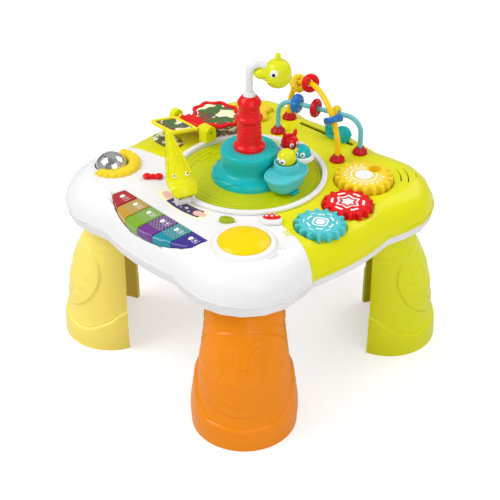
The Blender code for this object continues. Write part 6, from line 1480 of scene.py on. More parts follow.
@dataclass
class FlipBook:
    """Two framed pages that swing on one spindle between two uprights."""

    spindle_y: float = 0.015
    spindle_z: float = 0.262
    thickness: float = 0.0045
    tilt: float = math.radians(4.0)

    def build(self) -> None:
        """Dress the bracket and spindle, and build the two pages."""
        dress(node_copy("book_bracket", "book_uprights", 0.0009), LIME, "book_bracket", True)
        dress(node_copy("book_spindle", "steel_spindle"), STEEL, "book_spindle", True)
        y, z = self.spindle_y, self.spindle_z
        red = []
        for a in turns(120):
            bump = 1 + 0.0016 / 0.060 * 2 * math.cos(9 * a)
            red.append((-0.121 + math.cos(a) * 0.038 * bump, y + 0.037 + math.sin(a) * 0.030 * bump))
        self.page("page_red", red, RED, self.tilt, [(-0.1505, -0.1130)], 1)
        near, far = y - 0.006, y - 0.044
        corners = [(-0.158, near), (-0.168, far), (-0.119, far), (-0.109, near)]
        self.page("page_yellow", fillet(corners, 0.008, 6, True), PAGE_YELLOW, -self.tilt,
                  [(-0.1548, -0.1508), (-0.1127, -0.1087)], -1)

    def page(self, node: str, outline: Plan, finish: Moulded, tilt: float,
             barrels: list[tuple[float, float]], side: int) -> None:
        """Build one page: a raised frame, its barrels on the spindle and a picture on each face.

        Args:
            node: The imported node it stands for.
            outline: The page's edge in plan.
            finish: The frame's finish.
            tilt: Angle at rest about the spindle.
            barrels: Start and end in X of each barrel.
            side: Side of the spindle it lies on, 1 or -1 in Y.
        """
        y, z, half = self.spindle_y, self.spindle_z, self.thickness / 2
        middle = Vector((sum(p[0] for p in outline) / len(outline), sum(p[1] for p in outline) / len(outline)))
        frame_plate = plate("frame", outline, z - half, z + half)
        inner = [tuple(middle + (Vector(p) - middle) * (1 - 0.0058 / (Vector(p) - middle).length)) for p in outline]
        window = plate("window", inner, z - half * 3, z + half * 3)
        carve(frame_plate, window)
        parts = [round_edges(frame_plate, 0.0011, 3, 50)]
        for start, end in barrels:
            parts.append(drum("barrel", (start, y, z), (end, y, z), 0.0042, edge=0.0004))
            web = ((end - start) * 0.94, 0.0116, 0.0040)
            parts.append(brick("web", ((start + end) / 2, y + side * 0.0058, z), web))
            count = max(2, int((end - start) / 0.006))
            for k in range(1, count):
                spot = start + (end - start) * k / count
                parts.append(turned_bar_ring(spot, y, z, 0.0042))
        turn = Matrix.Translation((0, y, z)) @ Matrix.Rotation(tilt, 4, "X") @ Matrix.Translation((0, -y, -z))
        body = smooth(unite(node + "_frame", parts))
        body.data.transform(turn)
        dress(body, finish, node, True)
        card = plate("card", [tuple(middle + (Vector(p) - middle) * 0.93) for p in inner], z - 0.0011, z + 0.0011)
        card.name = node + "_picture"
        card.data.transform(turn)
        dress(card, PICTURE, node)


def turned_bar_ring(x: float, y: float, z: float, radius: float) -> bpy.types.Object:
    """Make a low ring round a bar that lies along X."""
    ring = turned("bar_ring", [(radius, -0.0006), (radius + 0.0005, -0.0002), (radius + 0.0005, 0.0002),
                               (radius, 0.0006)], closed=True, steps=32)
    ring.data.transform(Matrix.Translation((x, y, z)) @ Matrix.Rotation(math.pi / 2, 4, "Y"))
    return ring


@dataclass
class BeadArches:
    """The angular teal arch and the round yellow arch, their feet and the six beads on them."""

    teal_start: Vector = field(default_factory=lambda: Vector((-0.0568, 0.1071, 0)))
    teal_end: Vector = field(default_factory=lambda: Vector((0.0597, 0.1457, 0)))
    yellow_start: Vector = field(default_factory=lambda: Vector((-0.0754, 0.1476, 0)))
    yellow_end: Vector = field(default_factory=lambda: Vector((0.0530, 0.1091, 0)))
    teal_top: float = 0.293
    corner: float = 0.021
    spring: float = 0.255
    teal_rod: float = 0.0033
    yellow_rod: float = 0.0038

    def teal_point(self, along: float, height: float) -> Vector:
        """Place on the teal arch's plane."""
        way = (self.teal_end - self.teal_start).normalized()
        return self.teal_start + way * along + Vector((0, 0, height))

    def yellow_point(self, angle: float) -> Vector:
        """Place on the yellow arch's middle line, by its angle from straight up."""
        axis = self.yellow_end - self.yellow_start
        middle = self.yellow_start + axis / 2 + Vector((0, 0, self.spring))
        radius = axis.length / 2
        return middle + axis.normalized() * math.sin(angle) * radius + Vector((0, 0, math.cos(angle) * radius))

    def build(self) -> None:
        """Bend the rods, turn the feet and string the beads."""
        foot, c = DECK - SHELL, self.corner
        span = (self.teal_end - self.teal_start).length
        line = [self.teal_point(0, foot)]
        bends = [math.pi / 2 * k / 12 for k in range(13)]
        line += [self.teal_point(c - c * math.cos(a), self.teal_top - c + c * math.sin(a)) for a in bends]
        line += [self.teal_point(span - c + c * math.sin(a), self.teal_top - c + c * math.cos(a)) for a in bends]
        line.append(self.teal_point(span, foot))
        dress(wire("teal_arch", line, self.teal_rod, 7), ROD_TEAL, "arch_teal", True)
        line = [self.yellow_start + Vector((0, 0, foot))]
        line += [self.yellow_point(math.pi * (k / 56 - 0.5)) for k in range(57)]
        line.append(self.yellow_end + Vector((0, 0, foot)))
        dress(wire("yellow_arch", line, self.yellow_rod, 7), ROD_YELLOW, "arch_yellow", True)
        self.feet()
        self.beads()

    def feet(self) -> None:
        """Turn the four flared feet with their claws, over the frame under the deck."""
        parts = [node_copy("arch_feet", "feet_frame")]
        for spot in (self.teal_start, self.teal_end, self.yellow_start, self.yellow_end):
            rod = self.teal_rod if spot in (self.teal_start, self.teal_end) else self.yellow_rod
            profile = fillet([(rod + 0.0004, DECK + 0.0088), (0.0056, DECK + 0.0088), (0.0066, DECK + 0.0052),
                              (0.0099, DECK + 0.0030), (0.0099, DECK + 0.0004), (rod + 0.0004, DECK + 0.0004)],
                             0.0012, 4, True)
            parts.append(turned("flare", profile, spot.xy, 48, True))
            for k in range(5):
                way = math.radians(-100 + 40 * k)
                x, y = spot.x + 0.0072 * math.cos(way), spot.y + 0.0072 * math.sin(way)
                parts.append(ball("claw", (x, y, DECK + 0.0040), (0.0026, 0.0015, 0.0014),
                                  Matrix.Rotation(way, 3, "Z"), 20, 10))
        dress(unite("red_feet", parts), DARK_RED, "arch_feet", True)

    def beads(self) -> None:
        """Shape the six beads and put each on its rod."""
        way = (self.teal_end - self.teal_start).normalized()
        for node, kind, finish, place in (("bead_blue_flower", "flower", BLUE, 0.028),
                                          ("bead_red_lower", "ring", DARK_RED, 0.056),
                                          ("bead_yellow_disc", "disc", YELLOW, 0.086)):
            self.string(node, self.bead(kind, self.teal_rod), finish, self.teal_point(place, self.teal_top), way)
        axis = (self.yellow_end - self.yellow_start).normalized()
        for node, kind, finish, angle in (("bead_yellow_flower", "flower", YELLOW, -39.0),
                                          ("bead_red_upper", "ring", RED, -9.0),
                                          ("bead_blue_wave", "wave", BLUE, 52.0)):
            a = math.radians(angle)
            self.string(node, self.bead(kind, self.yellow_rod), finish, self.yellow_point(a),
                        axis * math.cos(a) - Vector((0, 0, math.sin(a))))

    def bead(self, kind: str, rod: float) -> bpy.types.Object:
        """Shape one bead about the vertical: a ring, a disc, a flower or a wavy disc."""
        bore = rod + 0.0006
        if kind == "ring":
            middle, reach = (bore + 0.0130) / 2, (0.0130 - bore) / 2
            section = [(middle + reach * math.cos(a), 0.00475 * math.sin(a))
                       for a in turns(28)]
            return turned("bead", section, steps=64, closed=True)
        outer, half, lobes = {"disc": (0.0104, 0.0040, 0), "flower": (0.0132, 0.0055, 11),
                              "wave": (0.0130, 0.0040, 3)}[kind]
        section = fillet([(bore, half), (outer, half), (outer, -half), (bore, -half)], half * 0.75, 6, True)
        bead = turned("bead", section, steps=96, closed=True)
        for vertex in bead.data.vertices:
            out, angle = vertex.co.xy.length, math.atan2(vertex.co.y, vertex.co.x)
            share = max(0.0, (out - bore) / (outer - bore))
            if kind == "flower":
                vertex.co.xy *= 1 - 0.045 * share * (1 - math.cos(lobes * angle))
            if kind == "wave":
                vertex.co.z += 0.0012 * share * math.cos(lobes * angle)
        bead.data.update()
        return bead

    @staticmethod
    def string(node: str, bead: bpy.types.Object, finish: Moulded, place: Vector, way: Vector) -> None:
        """Put a bead on its rod."""
        bead.name = node + "_bead"
        bead.data.transform(Matrix.Translation(place) @ way.to_track_quat("Z", "Y").to_matrix().to_4x4())
        dress(bead, finish, node, True)


@dataclass
class Snail:
    """Teal snail that slides in its slot: body, coiled shell and ribbed head."""

    heading: float = math.atan2(0.0064, 0.0937)
    x: float = 0.012

    def build(self) -> None:
        """Shape the body, the shell with its coil, the head with its ribs, and the stem."""
        y = 0.1484 + 0.0064 * (self.x + 0.0548) / 0.0937
        way = Vector((*polar(1, self.heading), 0))
        middle = Vector((self.x, y, 0))
        base = DECK + GAP
        parts = [plate("snail_body", placed(oval(0.038, 0.017, 3, 48), middle.xy, self.heading), base, base + 0.006,
                       0.0018)]
        shell = middle + way * 0.009 + Vector((0, 0, base + 0.0085))
        parts.append(ball("snail_shell", shell, (0.0124, 0.0084, 0.0124), Matrix.Rotation(self.heading, 3, "Z")))
        side = Vector((way.y, -way.x, 0))
        for sign in (1, -1):
            coil = []
            for k in range(60):
                a, r = k / 60 * math.tau * 1.9, 0.0108 * (1 - k / 70)
                bulge = math.sqrt(max(0.0, 1 - (r / 0.0124) ** 2)) * 0.0084
                coil.append(shell + way * r * math.cos(a) + Vector((0, 0, r * math.sin(a))) + side * sign * bulge)
            parts.append(wire("coil", coil, 0.0011, 3))
        head = middle - way * 0.0122
        for a in turns(10):
            spot = (head.x + 0.0058 * math.cos(a), head.y + 0.0058 * math.sin(a), base + 0.0085)
            parts.append(ball("rib", spot, (0.0026, 0.0026, 0.0078), segments=16, rings=12))
        parts.append(ball("snail_head", (head.x, head.y, base + 0.0092), (0.0072, 0.0072, 0.0078)))
        parts.append(node_stem(middle.x, middle.y, self.heading))
        dress(smooth(unite("teal_snail", parts)), TEAL, "snail_slider", True)


def node_stem(x: float, y: float, heading: float) -> bpy.types.Object:
    """Make the snail's stem and keeper that run through the slot."""
    top = DECK - SHELL - 0.0014
    stem = brick("stem", (x, y, (top + DECK + 0.002) / 2), (0.0058, 0.0058, DECK + 0.002 - top), heading, 0)
    keeper = drum("keeper", (x, y, top - 0.002), (x, y, top), 0.006, edge=0.0003)
    return unite("snail_stem", [stem, keeper])


# ---------------------------------------------------------------- gears, spinner, roller

@dataclass
class Gear:
    """One gear with rounded teeth, a raised rim and a printed face."""

    node: str
    finish: Moulded
    centre: tuple[float, float]
    teeth: int
    phase: float
    top: float
    module: float = 0.00391
    bottom: float = 0.2367

    def outline(self) -> Plan:
        """Give the toothed outline in plan."""
        pitch, tooth = self.module * self.teeth / 2, math.tau / self.teeth
        root_half = tooth / 4 + 0.28 * 0.0025 / pitch - 0.0003 / pitch
        tip_half = tooth / 4 - 0.42 * 0.0025 / pitch - 0.0003 / pitch
        corners = []
        for k in range(self.teeth):
            spot = k * tooth + self.phase
            for radius, angle in ((pitch - 0.0033, -root_half), (pitch + 0.0025, -tip_half),
                                  (pitch + 0.0025, tip_half), (pitch - 0.0033, root_half)):
                corners.append(polar(radius, spot + angle))
        return [(x + self.centre[0], y + self.centre[1]) for x, y in fillet(corners, 0.0012, 3, True)]

    def build(self) -> None:
        """Raise the gear, bore it, add its rim line and print its face."""
        gear = plate(self.node + "_wheel", self.outline(), self.bottom, self.top, 0.0012, 3)
        bore = drum("bore", (*self.centre, self.bottom - 0.002), (*self.centre, 0.2442), 0.0044, vertices=32)
        carve(gear, bore)
        parts = [gear] + self.trim(gear)
        root = self.module * self.teeth / 2 - 0.0040
        parts.append(hoop("rim_line", self.centre, self.top, root, 0.0005, 96))
        dress(smooth(unite(self.node + "_wheel", parts)), self.finish, self.node, True)
        self.face()

    def trim(self, gear: bpy.types.Object) -> list[bpy.types.Object]:
        """Parts or cuts of this gear alone."""
        return []

    def film(self, name: str, outline: Plan, heading: float = 0.0) -> bpy.types.Object:
        """Lay one printed shape on the face."""
        return plate(name, placed(outline, self.centre, heading), self.top - 0.0001, self.top + 0.00022)

    def band(self, name: str, inner: float, outer: float, start: float, end: float) -> bpy.types.Object:
        """Lay one printed stretch of a ring on the face."""
        steps = max(6, int((end - start) / 4))
        angles = [math.radians(start + (end - start) * k / steps) for k in range(steps + 1)]
        return self.film(name, [polar(outer, a) for a in angles] + [polar(inner, a) for a in reversed(angles)])

    def face(self) -> None:
        """Print the face."""


@dataclass
class HoledGear(Gear):
    """Large gear with a finger hole and pale rings."""

    def trim(self, gear: bpy.types.Object) -> list[bpy.types.Object]:
        """Cut the finger hole and line its edge."""
        x, y = self.centre[0], self.centre[1] + 0.0207
        carve(gear, drum("hole", (x, y, self.top - 0.009), (x, y, self.top + 0.004), 0.0085, vertices=56))
        return [hoop("hole_rim", (x, y), self.top, 0.0089, 0.0007, 56)]

    def face(self) -> None:
        """Print a white middle and two cream rings, broken at the finger hole."""
        dress(self.film(self.node + "_middle", oval(0.0235, 0.0235)), WHITE_INK, self.node)
        rings = [self.band("ring", 0.0150, 0.0182, 118, 422), self.band("ring", 0.0205, 0.0215, 128, 412)]
        rings += [self.band("spoke", 0.0228, 0.0262, a - 4, a + 4) for a in range(140, 410, 18)]
        dress(unite(self.node + "_rings", rings), CREAM_INK, self.node)


@dataclass
class StarGear(Gear):
    """Small gear printed with a pointed star, its outline and five dashes."""

    def face(self) -> None:
        """Print the star."""
        def star(reach: float, waist: float) -> Plan:
            """Six-pointed star with softened points."""
            corners = [polar(reach if k % 2 == 0 else waist, math.radians(30 * k + 8)) for k in range(12)]
            return fillet(corners, 0.0016, 3, True)
        outer, inner = star(0.0168, 0.0116), star(0.0134, 0.0090)
        rim = self.film("star_rim", outer)
        tool = plate("star_gap", placed(inner, self.centre, 0), self.top - 0.002, self.top + 0.002)
        carve(rim, tool)
        parts = [rim, self.film("star", star(0.0094, 0.0056))]
        parts += [self.band("dash", 0.0182, 0.0212, a - 15, a + 15) for a in range(38, 398, 60)]
        dress(unite(self.node + "_print", parts), WHITE_INK, self.node)


@dataclass
class SquareGear(Gear):
    """Small gear printed with soft squares and short curves."""

    def face(self) -> None:
        """Print the squares."""
        rim = self.film("square_rim", oval(0.0195, 0.0195, 3.4), 0.5)
        tool = plate("square_gap", placed(oval(0.0150, 0.0150, 3.4), self.centre, 0.5), self.top - 0.002,
                     self.top + 0.002)
        carve(rim, tool)
        parts = [rim, self.film("square", oval(0.0112, 0.0112, 3.4), 0.5)]
        parts += [self.band("curve", 0.0150, 0.0172, a - 16, a + 16) for a in range(10, 370, 60)]
        parts += [self.band("curve", 0.0196, 0.0208, a - 10, a + 10) for a in range(40, 400, 60)]
        dress(unite(self.node + "_print", parts), WHITE_INK, self.node)


@dataclass
class GearTrain:
    """The three meshing gears in their wells."""

    yellow: tuple[float, float] = (0.1120, 0.0960)
    module: float = 0.00391
    red_heading: float = math.radians(-65.5)
    teal_heading: float = math.radians(-81.3)

    def build(self) -> None:
        """Place the gears so that their teeth mesh."""
        reach = self.module * 16.5
        red = (self.yellow[0] + reach * math.cos(self.red_heading),
               self.yellow[1] + reach * math.sin(self.red_heading))
        reach = self.module * 15
        teal = (red[0] + reach * math.cos(self.teal_heading), red[1] + reach * math.sin(self.teal_heading))
        red_phase = self.red_heading + math.pi + math.pi / 15
        teeth = (self.teal_heading - red_phase) / (math.tau / 15)
        teal_phase = self.teal_heading + math.pi + (teeth - round(teeth)) * math.tau / 15 + math.pi / 15
        HoledGear("gear_yellow", YELLOW, self.yellow, 18, self.red_heading, 0.2515).build()
        StarGear("gear_red", RED, red, 15, red_phase, 0.2480).build()
        SquareGear("gear_teal", BOAT_TEAL, teal, 15, teal_phase, 0.2480).build()


@dataclass
class Spinner:
    """Yellow five-petalled spinner on the back lobe."""

    centre: tuple[float, float] = (-0.122, 0.119)
    radius: float = 0.030

    def build(self) -> None:
        """Raise the petals, cushion them and add the middle knob and the petals' rings."""
        x, y = self.centre
        base = DECK - 0.0024 + GAP
        petals = []
        for a in turns(150):
            r = self.radius * (1 - 0.17 * (1 - math.cos(5 * a)))
            petals.append((x + r * math.cos(a), y + r * math.sin(a)))
        parts = [plate("petals", petals, base, base + 0.0075, 0.0030, 5),
                 drum("stem", (x, y, base - 0.006), (x, y, base + 0.002), 0.003)]
        parts.append(ball("middle", (x, y, base + 0.0070), (0.0085, 0.0085, 0.0030)))
        for a in turns(5):
            middle = (x + 0.0205 * math.cos(a), y + 0.0205 * math.sin(a))
            parts.append(hoop("petal_ring", middle, base + 0.0074, 0.0052, 0.0008, 32, 3))
        dress(unite("yellow_spinner", parts), YELLOW, "petal_spinner", True)


@dataclass
class Roller:
    """Silvered roller ball and the yellow crescent cushion beside it."""

    centre: Place = (-0.142, -0.1145, 0.238)
    radius: float = 0.0215
    heading: float = math.radians(113.0)

    def build(self) -> None:
        """Shape the ball on its pins, and the crescent with its scalloped edge and ridge."""
        axis = Vector((*polar(1, self.heading), 0))
        middle = Vector(self.centre)
        turn = axis.to_track_quat("Z", "Y").to_matrix()
        parts = [ball("roller", middle, (self.radius,) * 3, turn, 64, 40),
                 drum("roller_pin", middle - axis * 0.0272, middle + axis * 0.0272, 0.0020)]
        dress(unite("silver_roller", parts), FOIL, "roller_ball", True)
        inner, start, end = self.radius + 0.001, math.radians(-80), math.radians(122)

        def width(share: float) -> float:
            """Width of the crescent at a share of its length."""
            plain = 0.0165 * (0.35 + 0.65 * math.sin(math.pi * (0.12 + 0.76 * share)))
            return plain + 0.0010 * math.cos(math.tau * 13 * share)

        def where(u: float, v: float) -> tuple[float, float, float]:
            """Place of one point round the section and along the crescent."""
            angle = start + (end - start) * v
            taper = min(1.0, v / 0.05, (1 - v) / 0.05) ** 0.5 if 0 < v < 1 else 0.25
            if u <= 0.7:
                share = u / 0.7
                out = inner + width(v) * share
                swell = min(1.0, (min(share, 1 - share) / 0.22)) if 0 < share < 1 else 0.0
                rise = 0.0058 * (1 - (1 - swell) ** 2) ** 0.5 * taper
                ridge = 0.0016 * math.exp(-((share - 0.74) / 0.10) ** 2) if v > 0.5 else 0.0
                dip = 0.0012 * math.exp(-((share - 0.55) / 0.06) ** 2) if v > 0.5 else 0.0
                return (middle.x + out * math.cos(angle), middle.y + out * math.sin(angle),
                        DECK + GAP + rise + (ridge - dip) * taper * swell)
            out = inner + width(v) * (1 - (u - 0.7) / 0.3)
            return (middle.x + out * math.cos(angle), middle.y + out * math.sin(angle), DECK + GAP)
        dress(smooth(sheet("yellow_crescent", 40, 180, where), 50), YELLOW, "roller_surround", True)


# ---------------------------------------------------------------- keys, buttons and switches

@dataclass
class Keyboard:
    """Six tinted clear keys with rounded edges, each with a printed number."""

    start: float = -0.0777
    pitch: float = 0.0263
    finishes: tuple[tuple[str, Moulded], ...] = (
        ("key_red", ClearKey("clear_red_key", Shade.KEY_RED, hatched=False)),
        ("key_amber", ClearKey("clear_amber_key", Shade.KEY_AMBER)),
        ("key_green", ClearKey("clear_green_key", Shade.KEY_GREEN)),
        ("key_purple", ClearKey("clear_purple_key", Shade.KEY_PURPLE)),
        ("key_teal", ClearKey("clear_teal_key", Shade.KEY_TEAL)),
        ("key_indigo", ClearKey("clear_indigo_key", Shade.KEY_INDIGO, hatched=False)))

    @staticmethod
    def top(y: float) -> float:
        """Height of the sloping key tops at a Y."""
        return 0.2442 - 0.0037 * (-0.1425 - y) / 0.0415

    def build(self) -> None:
        """Round the keys' edges and print their labels."""
        for number, (node, finish) in enumerate(self.finishes):
            key = node_copy(node, node + "_cap", 0.0007)
            dress(key, finish, node, True)
            x = self.start + self.pitch * (number + 0.5)
            y = -0.1535
            lift = self.top(y) + 0.00012
            blob = plate("label", placed(oval(0.0052, 0.0088), (x - 0.0040, y), 0.1), lift - 0.0002, lift + 0.0001)
            frame_line = [(x + dx, y + dy, lift) for dx, dy in fillet(
                [(0.0004, -0.0044), (0.0078, -0.0044), (0.0078, 0.0044), (0.0004, 0.0044)], 0.0008, 2, True)]
            parts = [blob, wire("label_frame", frame_line, 0.00022, 1, closed=True),
                     self.numeral(number + 1, x, y, lift)]
            dress(unite(node + "_label", parts), WHITE_INK, node)

    @staticmethod
    def numeral(number: int, x: float, y: float, lift: float) -> bpy.types.Object:
        """Print one plain numeral inside the label's frame."""
        deselect()
        bpy.ops.object.text_add(location=(0, 0, 0))
        text = bpy.context.object
        text.data.body = str(number)
        text.data.size = 0.0078
        text.data.extrude = 0.00012
        text.data.align_x = "CENTER"
        text.data.align_y = "CENTER"
        pick(text)
        bpy.ops.object.convert(target="MESH")
        text = bpy.context.object
        text.data.transform(Matrix.Translation((x + 0.0041, y, lift)))
        return text


@dataclass
class PalmButton:
    """Large yellow dome button on its spring, in the raised mound."""

    centre: tuple[float, float] = (0.1140, -0.1150)
    radius: float = 0.0316
    rim: float = 0.2465
    height: float = 0.0085

    def build(self) -> None:
        """Turn the dome and dress its spring."""
        dome = [(0, self.rim + self.height)]
        dome += [(self.radius * math.sin(a), self.rim + self.height * math.cos(a) ** 1.15)
                 for a in (math.pi / 2 * k / 28 for k in range(1, 28))]
        dome += [(self.radius, self.rim - 0.0006), (self.radius, 0.2345), (self.radius - 0.0022, 0.2345),
                 (self.radius - 0.0022, self.rim - 0.0022), (0, self.rim + 0.0006)]
        dress(turned("palm_button", dome, self.centre, 112), DOME_YELLOW, "dome_button", True)
        dress(node_copy("button_spring", "coil_spring"), STEEL, "button_spring", True)


@dataclass
class Switches:
    """Red bow slider, lime leaf button and the toadstool slider."""

    def build(self) -> None:
        """Build the three small switches."""
        self.bow((-0.0770, -0.0975), math.radians(46))
        self.leaf((0.0640, -0.0970), math.radians(38))
        self.toadstool((0.1030, -0.0590), math.radians(46))

    @staticmethod
    def bow(centre: tuple[float, float], heading: float) -> None:
        """Shape the two loops and the knot of the bow."""
        turn = Matrix.Rotation(heading, 3, "Z")
        base = DECK + GAP
        parts = [switch_stem(centre, base)]
        for side in (-1, 1):
            spot = Vector((*centre, base + 0.0026)) + turn @ Vector((side * 0.0076, 0, 0))
            parts.append(ball("loop", spot, (0.0056, 0.0058, 0.0034), turn))
        parts.append(ball("knot", (*centre, base + 0.0026), (0.0038, 0.0032, 0.0033), turn))
        plan = []
        for a in turns(60):
            plan.append((0.0130 * math.cos(a), 0.0076 * math.sin(a) * (0.52 + 0.48 * math.cos(a) ** 2)))
        parts.append(plate("bow_plate", placed(plan, centre, heading), base, base + 0.0030, 0.0009))
        dress(unite("red_bow", parts), RED, "bow_switch", True)

    @staticmethod
    def leaf(centre: tuple[float, float], heading: float) -> None:
        """Shape the pointed leaf with its veins."""
        plan = []
        for a in turns(64):
            plan.append((0.0095 * math.cos(a), 0.00575 * math.sin(a) * (1 - 0.25 * math.cos(a))))
        parts = [plate("leaf_plate", placed(plan, centre, heading), 0.2372, 0.2475, 0.0012, 4)]
        lines = [[(-0.0075, 0), (0.0075, 0)]] + [[(x, 0), (x + 0.0024, s * 0.0030)] for x in (-0.0045, -0.001, 0.0025)
                                                for s in (-1, 1)]
        for line in lines:
            parts.append(wire("vein", [(*p, 0.2476) for p in placed(line, centre, heading)], 0.00035, 2))
        dress(unite("lime_leaf", parts), LEAF_LIME, "leaf_button", True)

    @staticmethod
    def toadstool(centre: tuple[float, float], heading: float) -> None:
        """Shape the white foot, the red cap across its back and the cap's pale spots."""
        turn = Matrix.Rotation(heading, 3, "Z")
        base = DECK + GAP
        plan = fillet([(-0.0125, 0.0081), (-0.0125, -0.0081), (0.0125, -0.0081), (0.0125, 0.0081)], 0.0074, 8, True)
        foot = [plate("foot", placed(plan, centre, heading), base, base + 0.0052, 0.0020, 4),
                switch_stem(centre, base)]
        dress(unite("toadstool_foot", foot), WHITE, "toadstool_switch", True)
        spot = Vector((*centre, base + 0.0052)) + turn @ Vector((0, 0.0026, 0))
        cap = ball("cap", spot, (0.0112, 0.0052, 0.0040), turn)
        dress(unite("toadstool_cap", [cap]), RED, "toadstool_switch")
        dots = []
        for x, y, size in ((-0.0062, -0.0012, 0.0017), (0.0000, -0.0022, 0.0020), (0.0058, -0.0010, 0.0016),
                           (-0.0028, 0.0022, 0.0012), (0.0034, 0.0024, 0.0012)):
            z = 0.0040 * math.sqrt(max(0.0, 1 - (x / 0.0112) ** 2 - (y / 0.0052) ** 2))
            dots.append(ball("dot", spot + turn @ Vector((x, y, z)), (size, size * 0.8, 0.0005), turn, 20, 8))
        dress(unite("toadstool_dots", dots), WHITE_INK, "toadstool_switch")


@dataclass
class PanelPrint:
    """Curved printed band between the keys and the track: a plain night sky."""

    radius: float = 0.1145
    width: float = 0.0190
    start: float = -113.0
    end: float = -70.0

    def band(self, name: str, inner: float, outer: float, start: float, end: float, lift: float) -> bpy.types.Object:
        """Cut one stretch of the band with rounded ends."""
        angles = [math.radians(start + (end - start) * k / 20) for k in range(21)]
        corners = [polar(outer, a) for a in angles] + [polar(inner, a) for a in reversed(angles)]
        return plate(name, fillet(corners, 0.0040, 5, True), DECK - 0.00005, DECK + lift)

    def build(self) -> None:
        """Lay the cream edge, the purple sky, the clouds and the stars."""
        node, r, w = "top_shell_white", self.radius, self.width / 2
        dress(self.band("band_edge", r - w - 0.001, r + w + 0.001, self.start, self.end, 0.00012), CREAM_INK, node)
        dress(self.band("band_sky", r - w * 0.86, r + w * 0.86, -101, -74, 0.00020), PURPLE_INK, node)
        clouds = []
        for layer, (angle, size) in enumerate(((-108, 0.0062), (-104.5, 0.0070), (-76.5, 0.0066), (-73.4, 0.0054))):
            clouds.append(plate("cloud", placed(oval(size * 2, size * 1.7), polar(r, math.radians(angle)), 0.3),
                                DECK - 0.00005 - 0.00001 * layer, DECK + 0.00026 + 0.00005 * layer))
        dress(unite("band_clouds", clouds), PINK_INK, node)
        stars = []
        for angle, shift, size in ((-97, 0.003, 0.0018), (-93.5, -0.003, 0.0026), (-89.5, 0.002, 0.0015),
                                   (-86, -0.001, 0.0030), (-82.5, 0.003, 0.0018)):
            corners = [polar(size if k % 2 == 0 else size * 0.5, math.radians(45 * k)) for k in range(8)]
            stars.append(plate("star", placed(corners, polar(r + shift, math.radians(angle)), angle), DECK,
                               DECK + 0.00028))
        dress(unite("band_stars", stars), CREAM_INK, node)


@dataclass
class InnerParts:
    """Battery, speaker, board, screws and cover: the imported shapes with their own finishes."""

    nodes: tuple[tuple[str, Moulded], ...] = (
        ("battery_cover", WHITE), ("battery_pack", SLEEVE), ("speaker", SLEEVE), ("circuit_board", BOARD),
        ("key_axle", STEEL), ("tray_screw_1", STEEL), ("tray_screw_2", STEEL), ("tray_screw_3", STEEL),
        ("tray_screw_4", STEEL))

    def build(self) -> None:
        """Copy each node with merged faces and give it its finish."""
        for node, finish in self.nodes:
            dress(node_copy(node, node + "_finished"), finish, node, True)


# ---------------------------------------------------------------- studio

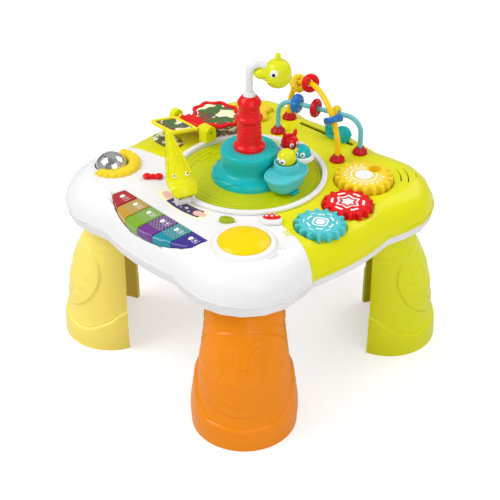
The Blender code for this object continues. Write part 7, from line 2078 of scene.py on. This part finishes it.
@dataclass
class Studio:
    """Pale floor, soft lamps and the camera at the photograph's angle."""

    azimuth: float = math.radians(46.9)
    elevation: float = math.radians(33.2)
    distance: float = 1.5988
    target: Place = (0.0, 0.0, 0.1536)
    lens: float = 86.3
    shift: tuple[float, float] = (0.0014, -0.0364)

    def build(self) -> None:
        """Lay the floor, hang the lamps and set up the camera."""
        self.floor()
        self.sky()
        self.lamp("key_lamp", (-0.9, -1.3, 1.9), 1.4, 25.5)
        self.lamp("fill_lamp", (1.7, -0.5, 1.3), 1.6, 11.8)
        self.lamp("rim_lamp", (0.2, 1.7, 1.6), 1.4, 10.0)
        self.camera()
        bpy.context.scene.view_settings.view_transform = "Standard"

    def floor(self) -> None:
        """Lay a wide pale floor that keeps the shadow and looks white to the camera."""
        deselect()
        bpy.ops.mesh.primitive_plane_add(size=14, location=(0, 0, -0.0002))
        floor = bpy.context.object
        floor.name = "studio_floor"
        material = bpy.data.materials.new("studio_floor")
        material.use_nodes = True
        tree = material.node_tree
        shader = tree.nodes["Principled BSDF"]
        shader.inputs["Base Color"].default_value = (0.72, 0.72, 0.72, 1)
        shader.inputs["Roughness"].default_value = 0.7
        shader.inputs["Emission Color"].default_value = (1, 1, 1, 1)
        rays = tree.nodes.new("ShaderNodeLightPath")
        seen = NodeBook.math(tree, "MULTIPLY", rays.outputs["Is Camera Ray"], 0.46)
        NodeBook.link(tree, seen, shader.inputs["Emission Strength"])
        floor.data.materials.append(material)

    def sky(self) -> None:
        """Light the scene evenly, with a white backdrop for the camera and glass, and a dimmer one in gloss."""
        world = bpy.data.worlds.new("studio_sky")
        bpy.context.scene.world = world
        world.use_nodes = True
        tree = world.node_tree
        back = tree.nodes["Background"]
        back.inputs["Color"].default_value = (1.0, 1.0, 1.0, 1)
        rays = tree.nodes.new("ShaderNodeLightPath")
        seen = NodeBook.math(tree, "MAXIMUM", rays.outputs["Is Camera Ray"], rays.outputs["Is Transmission Ray"])
        level = NodeBook.math(tree, "ADD", NodeBook.math(tree, "MULTIPLY", seen, 0.41), 0.59)
        dim = NodeBook.math(tree, "MULTIPLY", rays.outputs["Is Glossy Ray"], -0.22)
        level = NodeBook.math(tree, "ADD", level, dim)
        NodeBook.link(tree, level, back.inputs["Strength"])

    @staticmethod
    def lamp(name: str, place: Place, size: float, power: float) -> None:
        """Hang one soft square lamp that faces the table."""
        deselect()
        bpy.ops.object.light_add(type="AREA", location=place)
        lamp = bpy.context.object
        lamp.name = name
        lamp.data.size = size
        lamp.data.energy = power
        way = Vector((0, 0, 0.2)) - Vector(place)
        lamp.rotation_euler = way.to_track_quat("-Z", "Y").to_euler()

    def camera(self) -> None:
        """Set the camera on its sight line."""
        back = Vector((math.cos(self.elevation) * math.sin(self.azimuth),
                       -math.cos(self.elevation) * math.cos(self.azimuth), math.sin(self.elevation)))
        deselect()
        bpy.ops.object.camera_add(location=Vector(self.target) + back * self.distance)
        camera = bpy.context.object
        camera.name = "photo_camera"
        camera.rotation_euler = (-back).to_track_quat("-Z", "Y").to_euler()
        camera.data.lens = self.lens
        camera.data.sensor_width = 36.0
        camera.data.shift_x, camera.data.shift_y = self.shift
        camera.data.clip_start = 0.05
        bpy.context.scene.camera = camera


def main() -> None:
    """Build every sub-assembly in order, then the studio."""
    logging.basicConfig(level=logging.INFO, format="%(message)s")
    for assembly in (TableTop(), LegSet(), Track(), Island(), Fleet(), Tower(), Bird(), CrocodileFlap(), FlipBook(),
                     BeadArches(), Snail(), GearTrain(), Spinner(), Roller(), Keyboard(), PalmButton(), Switches(),
                     PanelPrint(), InnerParts(), Studio()):
        log.info("building %s", type(assembly).__name__)
        assembly.build()


if __name__ == "__main__":
    main()
